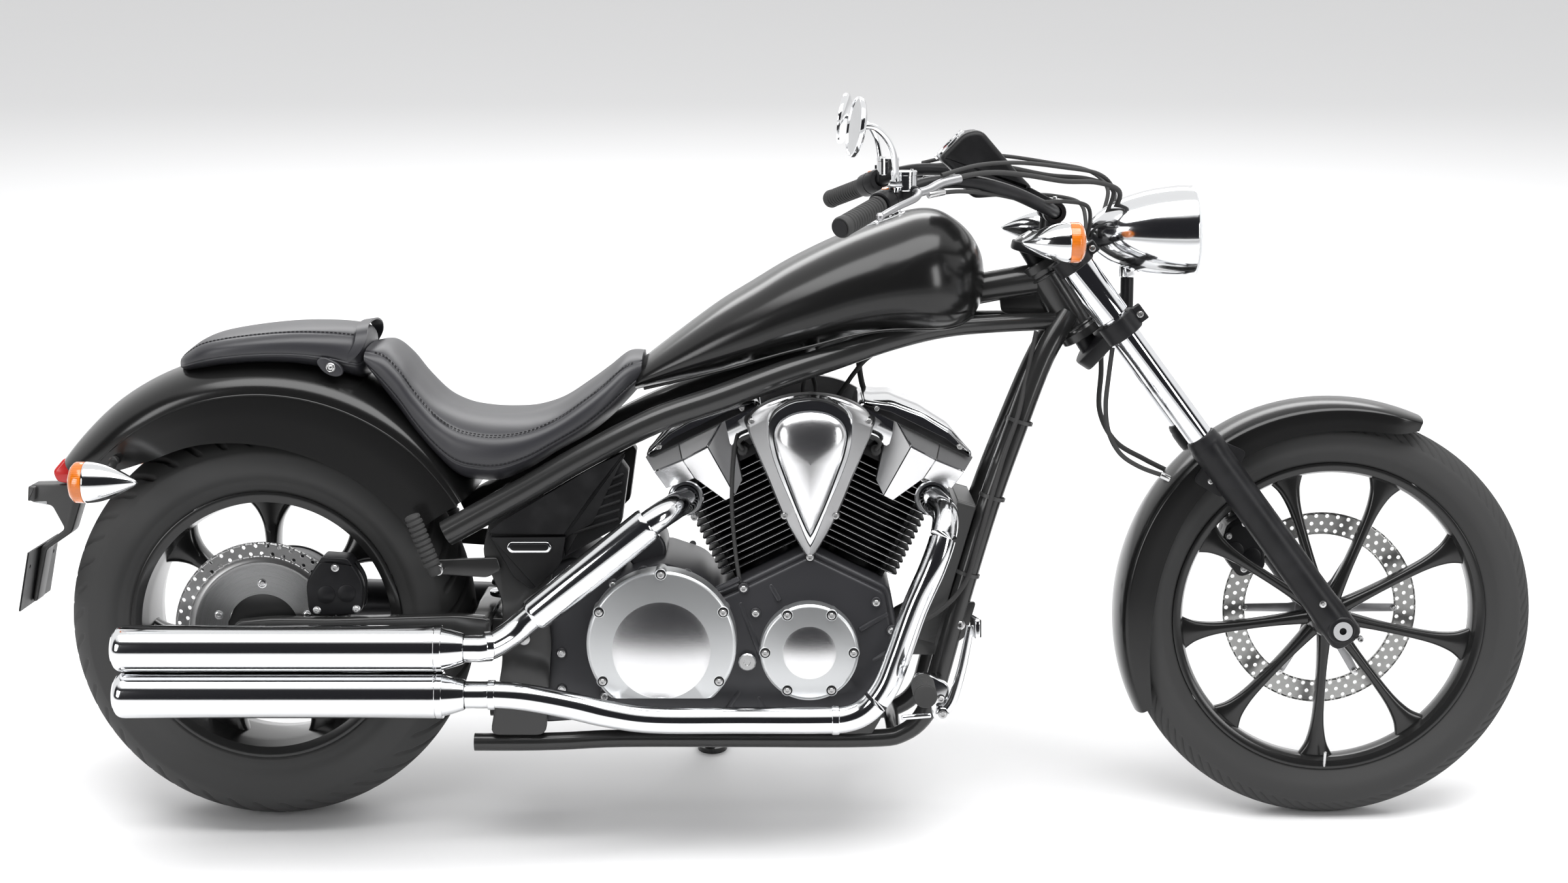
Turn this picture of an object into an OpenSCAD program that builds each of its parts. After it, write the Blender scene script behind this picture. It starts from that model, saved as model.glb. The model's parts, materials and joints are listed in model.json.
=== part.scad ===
// Long-wheelbase V-twin chopper, parked on its side stand.
//
// Every module is drawn on the upright machine: X forward from the rear
// axle, Y to the left, Z up from the ground. parked() then leans it on its
// stand and moves the origin to the middle of its footprint. Millimetres.

/* [Chassis] */
// Distance between the axles
wheelbase = 1804; // [1760:2:1860]
// Angle between the steering axis and the vertical
rake = 32; // [30:0.5:34]
// Distance along the ground from the steering axis to the tyre's contact
trail = 92; // [80:2:110]
// Angle between the fork legs and the vertical
fork_angle = 36.6; // [36:0.2:38]
// How far the parked machine leans to its left
lean = 10; // [8:0.5:12]
// Diameter of the seat rails
rail_d = 44; // [34:1:48]
// Distance of the seat rails from the middle plane
rail_y = 130; // [126:1:134]
// Diameter of the front downtubes
downtube_d = 38; // [30:1:42]
// Diameter of the rails under the engine
lower_rail_d = 30; // [24:1:34]

/* [Wheels] */
// Outer radius of the front tyre
front_tyre_r = 348; // [336:1:352]
// Width of the front tyre
front_tyre_w = 90; // [80:1:96]
// Bead radius of the front rim
front_rim_r = 267; // [262:1:272]
// Inner radius of the front rim
front_window_r = 248; // [240:1:252]
// Number of spokes in the front wheel
front_spokes = 9; // [7:1:11]
// Outer radius of the rear tyre
rear_tyre_r = 344; // [330:1:348]
// Width of the rear tyre
rear_tyre_w = 200; // [180:2:204]
// Bead radius of the rear rim
rear_rim_r = 229; // [224:1:236]
// Inner radius of the rear rim
rear_window_r = 206; // [198:1:212]
// Number of spokes in the rear wheel
rear_spokes = 7; // [5:1:9]
// Radius of the front brake disc
front_disc_r = 168; // [156:1:172]
// Radius of the rear brake disc
rear_disc_r = 148; // [138:1:152]
// Radius of the axles
axle_r = 10; // [8:0.5:11]
// Radius of the bore through the axles
axle_bore_r = 6; // [4:0.5:7]

/* [Fork and bars] */
// Distance of the fork legs from the middle plane
fork_y = 105; // [100:1:112]
// Radius of the chrome fork tubes
fork_tube_r = 22; // [19:0.5:23.5]
// Radius of the black sliders
slider_r = 29; // [26:0.5:31]
// Length of the sliders above the axle
slider_l = 389; // [370:1:405]
// Half of the width over the handlebar ends
bar_half_w = 442; // [420:2:450]
// Radius of the handlebar tube
bar_r = 11; // [9:0.5:12]
// Radius of the grips
grip_r = 17; // [15:0.5:20]

/* [Engine] */
// Half of the angle between the cylinders
v_half = 26; // [24:0.5:28]
// Distance of the cylinder bases from the crankshaft
base_d = 150; // [144:1:156]
// Distance of the cylinder tops from the crankshaft
deck_d = 325; // [318:1:328]
// Half of the width of the cooling fins
fin_half = 86; // [76:1:87]
// Number of fins on each cylinder
fin_count = 14; // [9:1:16]
// Radius of the clutch cover
clutch_cover_r = 124; // [112:1:126]
// Radius of the crankshaft cover
crank_cover_r = 82; // [70:1:86]

/* [Body] */
// Largest half width of the fuel tank
tank_half_w = 166; // [150:1:170]
// Half width of the rear fender
rear_fender_half_w = 128; // [122:1:130]
// Half width of the front fender
front_fender_half_w = 64; // [60:1:70]
// Thickness of the fenders
fender_t = 4; // [3:0.5:6]
// Radius of each silencer
muffler_r = 38; // [32:0.5:38.5]
// Distance of the silencers from the middle plane
muffler_y = 255; // [245:1:262]

/* [Hidden] */
$fn = 48;
// Running gap of a bore round its shaft, and of a hinge round its pin
bore_gap = 0.5;
pin_gap = 0.1;
// Gap between parts that seat on each other
seat_gap = 0.3;
// Gap between a brake disc and its caliper
pad_gap = 2.5;

// Crown radii of the tyres, on which the leaning machine stands
front_crown = front_tyre_w / 2;
rear_crown = 125;
// The wide rear tyre leans up by this much more than the front one
front_axle = [wheelbase, 0, front_tyre_r];
rear_axle = [0, 0, rear_tyre_r + (rear_crown - front_crown) * (1 / cos(lean) - 1)];
lift = front_crown * (1 - cos(lean));

// What the fork carries is listed for a front axle at this place and moves with it
listed_axle = [1804, 0, 348];
front_shift = front_axle - listed_axle;

// Steering axis: through the head, from the ground ahead of the front tyre
steer_dir = [-sin(rake), 0, cos(rake)];
function steer_at(z) = [wheelbase + trail - z * tan(rake), 0, z];
head_low = steer_at(828);
head_high = steer_at(955);
// The frame and tank between the cylinders and the steering head stretch with
// the head: stations behind stretch_from stay where they are
stretch_from = 873;
listed_head_x = 1378.608;
function reach_x(x) = x <= stretch_from ? x
    : x + (head_low[0] - listed_head_x) * (x - stretch_from) / (listed_head_x - stretch_from);
function reach_all(p) = [for (q = p) [for (i = [0 : len(q) - 1]) i == 0 ? reach_x(q[0]) : q[i]]];
stem_r = 17;
head_r = 34;

// Fork legs rise from the axle at fork_angle; leg_at(s) is s up the leg
fork_dir = [-sin(fork_angle), 0, cos(fork_angle)];
function leg_at(s, y = 0) = front_axle + s * fork_dir + [0, y, 0];
low_yoke_s = 630;
high_yoke_s = 765;

// Crankshaft and the cylinders' frames
crank = [915, 0, 321];
clutch = [671, 0, 337];
case_right = -150;
case_left = 130;
cover_right_y = 112;
head_half_y = 86;

// Silencers
muffler_rear = -213;
muffler_front = 356;
muffler_taper = 305;
upper_muffler_z = 345;
lower_muffler_z = upper_muffler_z - 2 * muffler_r - 2 * seat_gap;
pipe_r = 22;

// ---- Shape helpers -------------------------------------------------------

function mid(a, b) = (a + b) / 2;

// Points of a smooth curve through p, n steps to each span
function spline(p, n) = concat([for (i = [0 : len(p) - 2]) for (k = [0 : n - 1])
    let (t = k / n, a = p[max(i - 1, 0)], b = p[i], c = p[i + 1], d = p[min(i + 2, len(p) - 1)])
    (2 * b + (c - a) * t + (2 * a - 5 * b + 4 * c - d) * t * t
        + (3 * b - a - 3 * c + d) * t * t * t) / 2], [p[len(p) - 1]]);

// Closed solid through rings of equal length, turning left about its run
module skin(rings) {
    n = len(rings[0]);
    m = len(rings);
    polyhedron(points = [for (r = rings) each r],
        faces = concat([[for (i = [0 : n - 1]) i]],
            [for (j = [0 : m - 2]) for (i = [0 : n - 1]) let (k = (i + 1) % n)
                [j * n + i, (j + 1) * n + i, (j + 1) * n + k, j * n + k]],
            [[for (i = [n - 1 : -1 : 0]) (m - 1) * n + i]]));
}

// The same for rings that run out along a shell and back along its inside
module shell_skin(rings) {
    n = len(rings[0]);
    m = len(rings);
    h = n / 2;
    polyhedron(points = [for (r = rings) each r],
        faces = concat([for (i = [0 : h - 2]) [i, i + 1, n - 2 - i, n - 1 - i]],
            [for (j = [0 : m - 2]) for (i = [0 : n - 1]) let (k = (i + 1) % n)
                [j * n + i, (j + 1) * n + i, (j + 1) * n + k, j * n + k]],
            [for (i = [0 : h - 2]) [n - 1 - i, n - 2 - i, i + 1, i] + (m - 1) * n * [1, 1, 1, 1]]));
}

// Direction of a path at its point i
function heading(p, i) = let (d = p[min(i + 1, len(p) - 1)] - p[max(i - 1, 0)]) d / norm(d);

// Round tube along a path; ref is never along the path
module pipe(path, r, sides = 12, ref = [0, 1, 0]) {
    skin([for (i = [0 : len(path) - 1])
        let (t = heading(path, i), c = cross(ref, t), u = c / norm(c), v = cross(t, u))
        [for (k = [0 : sides - 1]) path[i] + r * (cos(360 * k / sides) * u + sin(360 * k / sides) * v)]]);
}

// Straight round bar from a to b
module rod(a, b, r, r2 = -1) {
    d = b - a;
    translate(a)
        rotate([0, acos(d[2] / norm(d)), atan2(d[1], d[0])])
            cylinder(h = norm(d), r1 = r, r2 = r2 < 0 ? r : r2);
}

// Cylinder across the machine from y1 to y2 at a point of its side view
module cross_pin(p, y1, y2, r) {
    translate([p[0], y2, p[2]]) rotate([90, 0, 0]) cylinder(h = y2 - y1, r = r);
}

// Side-view outline [x, z] made solid from y1 to y2
module plate(outline, y1, y2) {
    translate([0, y2, 0]) rotate([90, 0, 0]) linear_extrude(y2 - y1) polygon(outline);
}

// Turned shape about a line along Y; the profile is [radius, y]
module turned(p, profile) {
    translate(p) rotate([-90, 0, 0]) rotate_extrude($fn = 96) polygon(profile);
}

module both_sides() {
    children();
    mirror([0, 1, 0]) children();
}

// Rounded closed outline at station x: half width w, from z1 to z2
function oval(x, w, z1, z2, n, power) = [for (k = [0 : n - 1])
    let (a = 360 * k / n, c = cos(a), s = sin(a))
    [x, w * sign(c) * pow(abs(c), power), mid(z1, z2) + (z2 - z1) / 2 * sign(s) * pow(abs(s), power)]];

// Leans the machine on its stand and centres its footprint on the origin
module parked() {
    translate([-foot_x, -foot_y, lift]) rotate([-lean, 0, 0]) children();
}

// ---- Frame ---------------------------------------------------------------

// Seat rails: [x, z, distance from the middle, share of the full radius]
rail_stations = reach_all([[312, 512, 1, 1], [435, 580, 1, 1], [549, 645, 1, 1], [660, 701, 1, 1],
    [765, 738, 1, 1], [873, 778, 0.98, 1], [960, 806, 0.9, 0.95], [1050, 832, 0.73, 0.85],
    [1140, 848, 0.5, 0.75], [1230, 853, 0.3, 0.7], [1345, 856, 0.14, 0.68]]);
pivot = [440, 0, 335];
pivot_r = 28;
plate_in = 122;
plate_out = 136;
lower_rail_z = 153;
plate_foot = lower_rail_z + lower_rail_d / 2 + 2 * seat_gap;
lower_rail_y = 95;
backbone_r = 26;

module seat_rail(grow = 0) {
    s = spline(rail_stations, 3);
    skin([for (i = [0 : len(s) - 1])
        let (c = [s[i][0], rail_y * s[i][2], s[i][1]], r = rail_d / 2 * s[i][3] + grow,
            t = heading([for (q = s) [q[0], rail_y * q[2], q[1]]], i),
            u = cross([0, 1, 0], t) / norm(cross([0, 1, 0], t)), v = cross(t, u))
        [for (k = [0 : 11]) c + r * (cos(30 * k) * u + sin(30 * k) * v)]]);
}

module backbone(grow = 0) {
    pipe(spline(reach_all([[925, 0, 812], [1000, 0, 848], [1100, 0, 884], [1200, 0, 908],
        [1318, 0, 928]]), 3), backbone_r + grow);
}

module head_tube(grow = 0) {
    rod(head_low, head_high, head_r + grow);
}

module upper_frame() {
    color("#101113") difference() {
        union() {
            head_tube();
            backbone();
            both_sides() seat_rail();
            cross_pin([reach_x(925), 0, 790], -115, 115, 15);
            cross_pin([395, 0, 548], -plate_out, plate_out, 13);
            both_sides() plate([[388, 548], [470, 594], [505, 505], [478, 400], [486, 330],
                [474, plate_foot], [380, plate_foot], [402, 290], [404, 400], [372, 480]],
                plate_in, plate_out);
        }
        rod(head_low - 30 * steer_dir, head_high + 30 * steer_dir, stem_r + bore_gap);
        cross_pin(pivot, -150, 150, axle_r + bore_gap);
    }
}

// Downtube and lower rail: [x, z, distance from the middle]
// it leans further forward with the head above foot_z
foot_z = 262;
function lean_x(x, z) = z <= foot_z ? x : x + (head_low[0] - listed_head_x) * (z - foot_z) / 606;
cradle_stations = [for (q = [[1352, 868, 20], [1308, 796, 41], [1260, 675, 64],
    [1215, 550, 80], [1170, 400, 92],
    [1133, 262, lower_rail_y], [1112, 198, lower_rail_y], [1075, 163, lower_rail_y],
    [1015, lower_rail_z, lower_rail_y], [800, lower_rail_z, lower_rail_y],
    [600, lower_rail_z, lower_rail_y], [500, lower_rail_z, 112], [430, lower_rail_z, 118],
    [352, lower_rail_z, 118]]) [lean_x(q[0], q[1]), q[1], q[2]]];

module cradle_side() {
    s = spline(cradle_stations, 3);
    path = [for (q = s) [q[0], q[2], q[1]]];
    skin([for (i = [0 : len(path) - 1])
        let (t = heading(path, i), c = cross([0, 1, 0], t), u = c / norm(c), v = cross(t, u),
            f = min(1, max(0, (path[i][2] - lower_rail_z) / 80)),
            r = (downtube_d * f + lower_rail_d * (1 - f)) / 2)
        [for (k = [0 : 11]) path[i] + r * (cos(30 * k) * u + sin(30 * k) * v)]]);
}

// Where the footrest brackets bolt to the downtubes
foot_mount = [1128, 0, foot_z];
foot_mount_y = 120;

// Side stand: hinge, tilt of its axis and the foot on the ground
stand_tilt = 42;
stand_dir = [0, cos(stand_tilt), sin(stand_tilt)];
stand_pivot = [690, 131, 146];
stand_foot_y = 250;
stand_foot = [742, stand_foot_y, (stand_foot_y * sin(lean) - lift) / cos(lean)];
foot_t = 10;
// Half thickness of the stand's hub and the radius of the pin through it
hub_t = 11;
stand_pin_r = 6;

// Lug on the lower rail with the pin that the stand turns on
module stand_bracket() {
    rod(stand_pivot - 30 * stand_dir, stand_pivot - (hub_t + seat_gap) * stand_dir, 17);
    rod(stand_pivot - 20 * stand_dir, stand_pivot + 20 * stand_dir, stand_pin_r);
    rod(stand_pivot + (hub_t + seat_gap) * stand_dir, stand_pivot + 20 * stand_dir, 12);
}

module cradle() {
    color("#101113") difference() {
        union() {
            both_sides() cradle_side();
            cross_pin([lean_x(1170, 400), 0, 400], -90, 90, 9);
            cross_pin([lean_x(1262, 680), 0, 680], -62, 62, 10);
            cross_pin([1060, 0, 160], -92, 92, 13);
            cross_pin([400, 0, lower_rail_z], -115, 115, 13);
            both_sides() cross_pin(foot_mount, lower_rail_y, foot_mount_y, 9);
            stand_bracket();
        }
        head_tube(seat_gap);
        backbone(seat_gap);
        both_sides() seat_rail(seat_gap);
    }
}

// ---- Engine --------------------------------------------------------------

// Moves a cylinder's own frame (Z up the bore) onto the crankshaft;
// side is 1 for the front cylinder and -1 for the rear one
module on_bank(side) {
    translate(crank) rotate([0, side * v_half, 0]) scale([side, 1, 1]) children();
}

function bank_point(side, u, d) = crank
    + d * [side * sin(v_half), 0, cos(v_half)] + u * [side * cos(v_half), 0, -sin(v_half)];
base_u = 76;
port_u = 78;
port_d = 310;
port = bank_point(1, port_u, port_d);

module crankcase() {
    front_base = bank_point(1, base_u, base_d);
    rear_base = bank_point(-1, base_u, base_d);
    color("#17181a") plate([[566, 200], [558, 380], [598, 440], [671, 464], [735, 442], [760, 414],
        [rear_base[0], rear_base[2]], [crank[0], crank[2] + base_d / cos(v_half)],
        [front_base[0], front_base[2]], [1066, 330], [1046, 250], [1010, 200], [980, 186],
        [640, 186]], case_right, case_left);
    // Feet on the lower rails
    color("#17181a") both_sides() for (x = [660, 940])
        translate([x, lower_rail_y - 10, lower_rail_z + lower_rail_d / 2 + seat_gap]) cube([60, 20, 30]);
}

fin_pitch = (deck_d - base_d - 15) / fin_count;
fin_t = 3.5;
fin_corner = 16;
bank_gap = 2;

// One cooling fin: an octagon that stops short of the other cylinder
module fin(d) {
    inner = min(fin_half, d * tan(v_half) - bank_gap);
    c = fin_corner;
    w = head_half_y - 1;
    translate([0, 0, d]) linear_extrude(fin_t) polygon([[-inner, -w + c], [-inner + c, -w],
        [fin_half - c, -w], [fin_half, -w + c], [fin_half, w - c], [fin_half - c, w],
        [-inner + c, w], [-inner, w - c]]);
}

module cylinders() {
    color("#1b1c1e") {
        for (side = [-1, 1]) {
            on_bank(side) {
                translate([0, 0, base_d]) cylinder(h = deck_d - base_d + 1, r = 64);
                for (i = [0 : fin_count - 1]) fin(base_d + 12 + i * fin_pitch);
                translate([-fin_half, -head_half_y, deck_d])
                    cube([2 * fin_half, 2 * head_half_y, 26]);
            }
            cross_pin([crank[0] + side * (port[0] - crank[0]), 0, port[2]], -head_half_y, -50,
                pipe_r + 3);
        }
    }
}

// The seat rails seen from a cylinder's own frame
module rail_in_bank(side, grow) {
    scale([side, 1, 1]) rotate([0, -side * v_half, 0]) translate(-crank) both_sides() seat_rail(grow);
}

// Chrome cover over one cylinder head: outward distance, distance from crank
head_cover_outline = [[-105, 402], [-57, 428], [0, 433], [54, 428], [106, 406], [99, 340],
    [50, 340], [7, 274], [-7, 274], [-50, 340], [-98, 346]];

module head_covers() {
    color("#d8dadd") for (side = [-1, 1]) on_bank(side) difference() {
        plate(head_cover_outline, -cover_right_y, cover_right_y);
        translate([-150, -head_half_y - seat_gap, 150])
            cube([300, 2 * (head_half_y + seat_gap), deck_d + 26 + seat_gap - 150]);
        cross_pin([port_u, 0, port_d], -200, -20, pipe_r + 5);
        rail_in_bank(side, 3);
    }
}

intake_half_w = (deck_d + 13) * sin(v_half) - fin_half * cos(v_half) - 27.873;
intake_y = 117;

module intake() {
    color("#202124") {
        translate([crank[0] - intake_half_w, -intake_y, crank[2] + deck_d - 13])
            cube([2 * intake_half_w, 2 * intake_y, 84]);
        for (side = [-1, 1]) rod(bank_point(side, -fin_half - seat_gap, deck_d + 13),
            bank_point(side, -fin_half - 45, deck_d + 13), 12);
    }
}

// Teardrop: height t runs from 0 at its tip to 1 at its crown
drop_tip = 492;
drop_top = 753;
drop_half_w = 103;
drop_mid = crank[2] + 330;
function drop_outline(s, n = 28) = [for (k = [0 : n - 1])
    let (a = 360 * k / n, h = (1 - cos(a)) / 2, w = sin(a) * (1 - pow(1 - h, 2) * 0.72))
    [crank[0] + s * drop_half_w * w, drop_mid + (drop_tip + (drop_top - drop_tip) * h - drop_mid) * s]];

module teardrop_cover(face_y) {
    depths = [[0, 1], [0.35, 1], [0.7, 0.92], [0.9, 0.78], [1, 0.6]];
    skin([for (d = depths) let (y = intake_y + d[0] * (face_y - intake_y))
        [for (q = drop_outline(d[1])) [q[0], y, q[1]]]]);
}

module teardrop_covers() {
    color("#e2e4e6") {
        mirror([0, 1, 0]) teardrop_cover(212);
        teardrop_cover(180);
    }
}

// Round cover on the side of the crankcase, domed at its rim
module round_cover(p, r, y0, y1, rim) {
    s = sign(y1 - y0);
    turned([p[0], 0, p[2]], [[0, y0], [r, y0], [r, y1 - s * rim], [r - rim * 0.3, y1 - s * rim * 0.3],
        [r - rim, y1], [0, y1]]);
}

clutch_flat_z = 247;

module right_covers() {
    color("#b9bcc0") intersection() {
        round_cover(clutch, clutch_cover_r, case_right, -193, 10);
        translate([0, -260, clutch_flat_z]) cube([1200, 160, 400]);
    }
    color("#e8e9ea") turned([clutch[0], 0, clutch[2]], [[0, -193 - seat_gap], [80, -193 - seat_gap],
        [78, -201], [0, -203]]);
    color("#b9bcc0") round_cover(crank, crank_cover_r, case_right, -182, 8);
    color("#e8e9ea") turned([crank[0], 0, crank[2]], [[0, -182 - seat_gap], [44, -182 - seat_gap],
        [42, -189], [0, -190]]);
}

module left_covers() {
    color("#b9bcc0") {
        round_cover(crank, 98, case_left, 172, 14);
        round_cover([690, 0, 340], 86, case_left, 165, 12);
    }
}

// The radiator stands just behind the downtubes and follows their slope
module radiator() {
    slope = atan((cradle_stations[3][0] - cradle_stations[5][0])
        / (cradle_stations[3][1] - cradle_stations[5][1]));
    color("#141517") translate([lean_x(1179.8, 428), 0, 428]) rotate([0, slope, 0])
        translate([-downtube_d / 2 - 34 - seat_gap, -104, -125]) cube([32, 208, 250]);
}

// ---- Exhaust -------------------------------------------------------------

front_pipe = [[port[0], -head_half_y - seat_gap, port[2]], [port[0], -100, port[2]],
    [port[0], -114, port[2]], [port[0] + 5, -134, port[2] - 3], [1138, -164, 550],
    [1134, -192, 520], [1116, -208, 470], [1087, -210, 402], [1061, -210, 326], [1040, -210, 271],
    [1012, -210, 234], [978, -210, 217], [930, -210, 214], [800, -210, 214], [660, -212, 215],
    [584, -216, 226], [520, -228, 244], [450, -246, 262], [405, -muffler_y, lower_muffler_z],
    [385, -muffler_y, lower_muffler_z], [muffler_front, -muffler_y, lower_muffler_z]];
rear_port_x = 2 * crank[0] - port[0];
rear_pipe = [[rear_port_x, -head_half_y - seat_gap, port[2]], [rear_port_x, -100, port[2]],
    [rear_port_x, -114, port[2]], [rear_port_x - 3, -136, port[2]],
    [688, -180, 562], [655, -208, 543], [600, -215, 500], [528, -215, 441], [460, -216, 388],
    [430, -224, 364], [402, -243, 349], [385, -muffler_y + 2, upper_muffler_z],
    [372, -muffler_y, upper_muffler_z],
    [muffler_front, -muffler_y, upper_muffler_z]];

module front_exhaust() {
    color("#dcdee0") pipe(spline(front_pipe, 3), pipe_r, 16, [0.3, 0.1, 1]);
}

shield_top = [650, -215, 541];
shield_end = [468, -215, 394];

// Outer half shell over the straight run of the rear pipe
module heat_shield() {
    difference() {
        rod(shield_top, shield_end, 29);
        translate([400, shield_top[1] + 6, 300]) cube([400, 60, 400]);
    }
}

module rear_exhaust() {
    color("#dcdee0") {
        pipe(spline(rear_pipe, 3), pipe_r, 16, [0.6, 0.1, -1]);
        heat_shield();
    }
}

module silencer(z) {
    translate([0, -muffler_y, z]) rotate([0, 90, 0]) rotate_extrude() polygon([[0, muffler_rear + 70],
        [24, muffler_rear + 70], [24, muffler_rear], [29, muffler_rear], [muffler_r - 3, muffler_rear + 6],
        [muffler_r, muffler_rear + 20], [muffler_r, muffler_taper],
        [pipe_r + 2, muffler_front - 2 * seat_gap], [0, muffler_front - 2 * seat_gap]]);
}

module silencers() {
    color("#f0f1f2") {
        silencer(upper_muffler_z);
        silencer(lower_muffler_z);
    }
}

// ---- Tank, seats and fenders ---------------------------------------------

// Tank: [x, bottom, top, share of the largest half width]
tank_stations = reach_all([[604, 735, 764, 0.42], [640, 744, 795, 0.56], [700, 757, 841, 0.68],
    [763, 771, 887, 0.78], [820, 786, 922, 0.85], [873, 800, 954, 0.9], [930, 814, 983, 0.95],
    [985, 828, 1007, 0.98], [1040, 836, 1027, 1], [1090, 836, 1042, 0.99], [1128, 836, 1042, 0.92],
    [1160, 842, 1026, 0.78], [1186, 858, 1002, 0.58], [1203, 884, 972, 0.32], [1209, 910, 945, 0.12]]);

module fuel_tank() {
    color("#0a0a0b") difference() {
        skin([for (q = spline(tank_stations, 2)) oval(q[0], q[3] * tank_half_w, q[1], q[2], 28, 0.86)]);
        backbone(seat_gap);
        both_sides() seat_rail(seat_gap);
        translate([860, -backbone_r, 700]) cube([reach_x(1205) - 860, 2 * backbone_r, 150]);
    }
}

// Seats: [x, bottom, top, half width]
rider_stations = [[178, 784, 818, 104], [209, 736, 822, 112], [236, 700, 802, 118],
    [263, 662, 768, 124], [296, 626, 734, 134], [330, 598, 716, 146], [365, 590, 708, 154],
    [405, 592, 705, 158], [450, 612, 707, 156], [495, 640, 721, 150], [540, 664, 750, 140],
    [576, 690, 776, 126], [609, 722, 801, 106], [636, 752, 803, 82]];
pillion_stations = [[-136, 776, 800, 60], [-122, 774, 812, 84], [-96, 778, 829, 102],
    [-60, 784, 839, 112], [0, 788, 848, 116], [60, 786, 853, 114], [115, 776, 853, 108],
    [152, 764, 850, 98], [168, 762, 845, 86], [175, 776, 838, 70]];

module rider_seat() {
    color("#151516") difference() {
        skin([for (q = spline(rider_stations, 2)) oval(q[0], q[3], q[1], q[2], 24, 0.8)]);
        rear_fender_envelope(seat_gap);
        both_sides() seat_rail(seat_gap);
        skin([for (q = spline(tank_stations, 2))
            oval(q[0], q[3] * tank_half_w + seat_gap, q[1] - seat_gap, q[2] + seat_gap, 28, 0.86)]);
    }
}

module passenger_seat() {
    color("#151516") difference() {
        skin([for (q = spline(pillion_stations, 2)) oval(q[0], q[3], q[1], q[2], 24, 0.75)]);
        rear_fender_envelope(seat_gap);
    }
}

// Fender section at angle a about centre c: crown radius, shoulder radius
// and edge radius, half width w and thickness t
function fender_side(crown, shoulder, edge, w) = concat([[-w, edge]],
    [for (k = [-6 : 6]) [w * sin(15 * k), shoulder + (crown - shoulder) * cos(15 * k)]], [[w, edge]]);
function fender_ring(c, a, crown, shoulder, edge, w, t) = let (
        out = fender_side(crown, shoulder, edge, w), n = len(out),
        inn = fender_side(crown - t, shoulder - t / 2, edge, w - t))
    [for (q = concat(out, [for (k = [n - 1 : -1 : 0]) inn[k]]))
        c + [q[1] * cos(a), q[0], q[1] * sin(a)]];
function fender_solid(c, a, crown, shoulder, edge, w) = [for (q = fender_side(crown, shoulder, edge, w))
    c + [q[1] * cos(a), q[0], q[1] * sin(a)]];

// Rear fender: [angle from forward, crown, shoulder, edge, share of the width]
rear_fender_stations = [[33, 424, 396, 304, 1], [50, 440, 400, 302, 1], [70, 454, 402, 305, 1],
    [90, 458, 402, 315, 1], [108, 457, 400, 329, 0.98], [122, 453, 396, 338, 0.92],
    [133, 447, 394, 362, 0.8], [141, 444, 408, 400, 0.62]];

module rear_fender() {
    color("#0a0a0b") shell_skin([for (q = spline(rear_fender_stations, 3))
        fender_ring(rear_axle, q[0], q[1], q[2], q[3], q[4] * rear_fender_half_w, fender_t)]);
}

module rear_fender_envelope(grow) {
    skin([for (q = spline(rear_fender_stations, 3)) fender_solid(rear_axle, q[0], q[1] + grow,
        q[2] + grow, q[3] - 20, q[4] * rear_fender_half_w + grow)]);
}

front_fender_stations = [[67, 376, 366, 352, 0.8], [74, 376, 362, 334, 1], [90, 377, 358, 326, 1],
    [115, 378, 356, 322, 1], [140, 373, 352, 312, 1], [160, 368, 348, 304, 1], [180, 366, 346, 306, 1],
    [197, 366, 348, 322, 0.95], [207, 366, 352, 338, 0.85]];

module front_fender() {
    color("#0a0a0b") {
        shell_skin([for (q = spline(front_fender_stations, 3))
            fender_ring(front_axle, q[0], q[1], q[2], q[3], q[4] * front_fender_half_w, fender_t)]);
        both_sides() rod(leg_at(330, front_fender_half_w - 0.1) + [-8, 0, 0],
            leg_at(330, fork_y - slider_r - seat_gap) + [-8, 0, 0], 9);
    }
}

module side_cover() {
    plate([[384, 512], [440, 549], [560, 622], [616, 652], [556, 530], [512, 508], [500, 456],
        [456, 418], [424, 440]], plate_out + seat_gap, plate_out + 14);
}

module side_covers() {
    color("#0c0c0d") both_sides() difference() {
        side_cover();
        seat_rail(seat_gap);
    }
}

// ---- Rear end ------------------------------------------------------------

arm_in = rear_tyre_w / 2 + 22;
arm_out = arm_in + 28;
drive_y = rear_tyre_w / 2 + 52;
drive_r = 92;

module swingarm() {
    color("#131415") difference() {
        union() {
            plate([[-42, 318], [-42, 366], [20, 372], [120, 371], [330, 377], [386, 372], [386, 306],
                [330, 300], [120, 312], [0, 314]], -arm_out, -arm_in);
            plate([[386, 372], [350, 374], [350, 304], [386, 306]], -arm_out, 112);
            plate([[386, 366], [440, 363], [440, 307], [386, 310]], -112, 112);
            cross_pin(pivot, -plate_in + seat_gap, plate_in - seat_gap, pivot_r);
            cross_pin(pivot, -plate_out - 6, plate_out + 6, axle_r);
        }
        cross_pin(rear_axle, -arm_out - 10, -100, axle_r + seat_gap);
    }
}

module drive_housing() {
    color("#17181a") difference() {
        union() {
            turned([0, 0, rear_axle[2]], [[0, 106], [drive_r - 20, 106], [drive_r, drive_y - 34],
                [drive_r, drive_y + 16], [drive_r - 16, drive_y + 34], [0, drive_y + 38]]);
            rod([60, drive_y, rear_axle[2]], [520, drive_y - 2, 340], 34);
        }
        cross_pin(rear_axle, 90, drive_y + 48, axle_r + bore_gap);
        plate([[300, 290], [400, 290], [400, 380], [300, 380]], 90, 112 + seat_gap);
        both_sides() plate([[392, 250], [500, 250], [500, 420], [392, 420]], 90, plate_out + seat_gap);
        cross_pin(pivot, 100, plate_out + 7, axle_r + 12);
    }
}

module shock_absorber() {
    low = [402, 0, 366];
    high = [402, 0, 536];
    color("#c9ccd0") {
        rod(low, high - [0, 0, 1.6], 12);
        rod(low + [0, 0, 16], low + [0, 0, 24], 34);
        rod(high - [0, 0, 24], high - [0, 0, 16], 34);
    }
}

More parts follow.
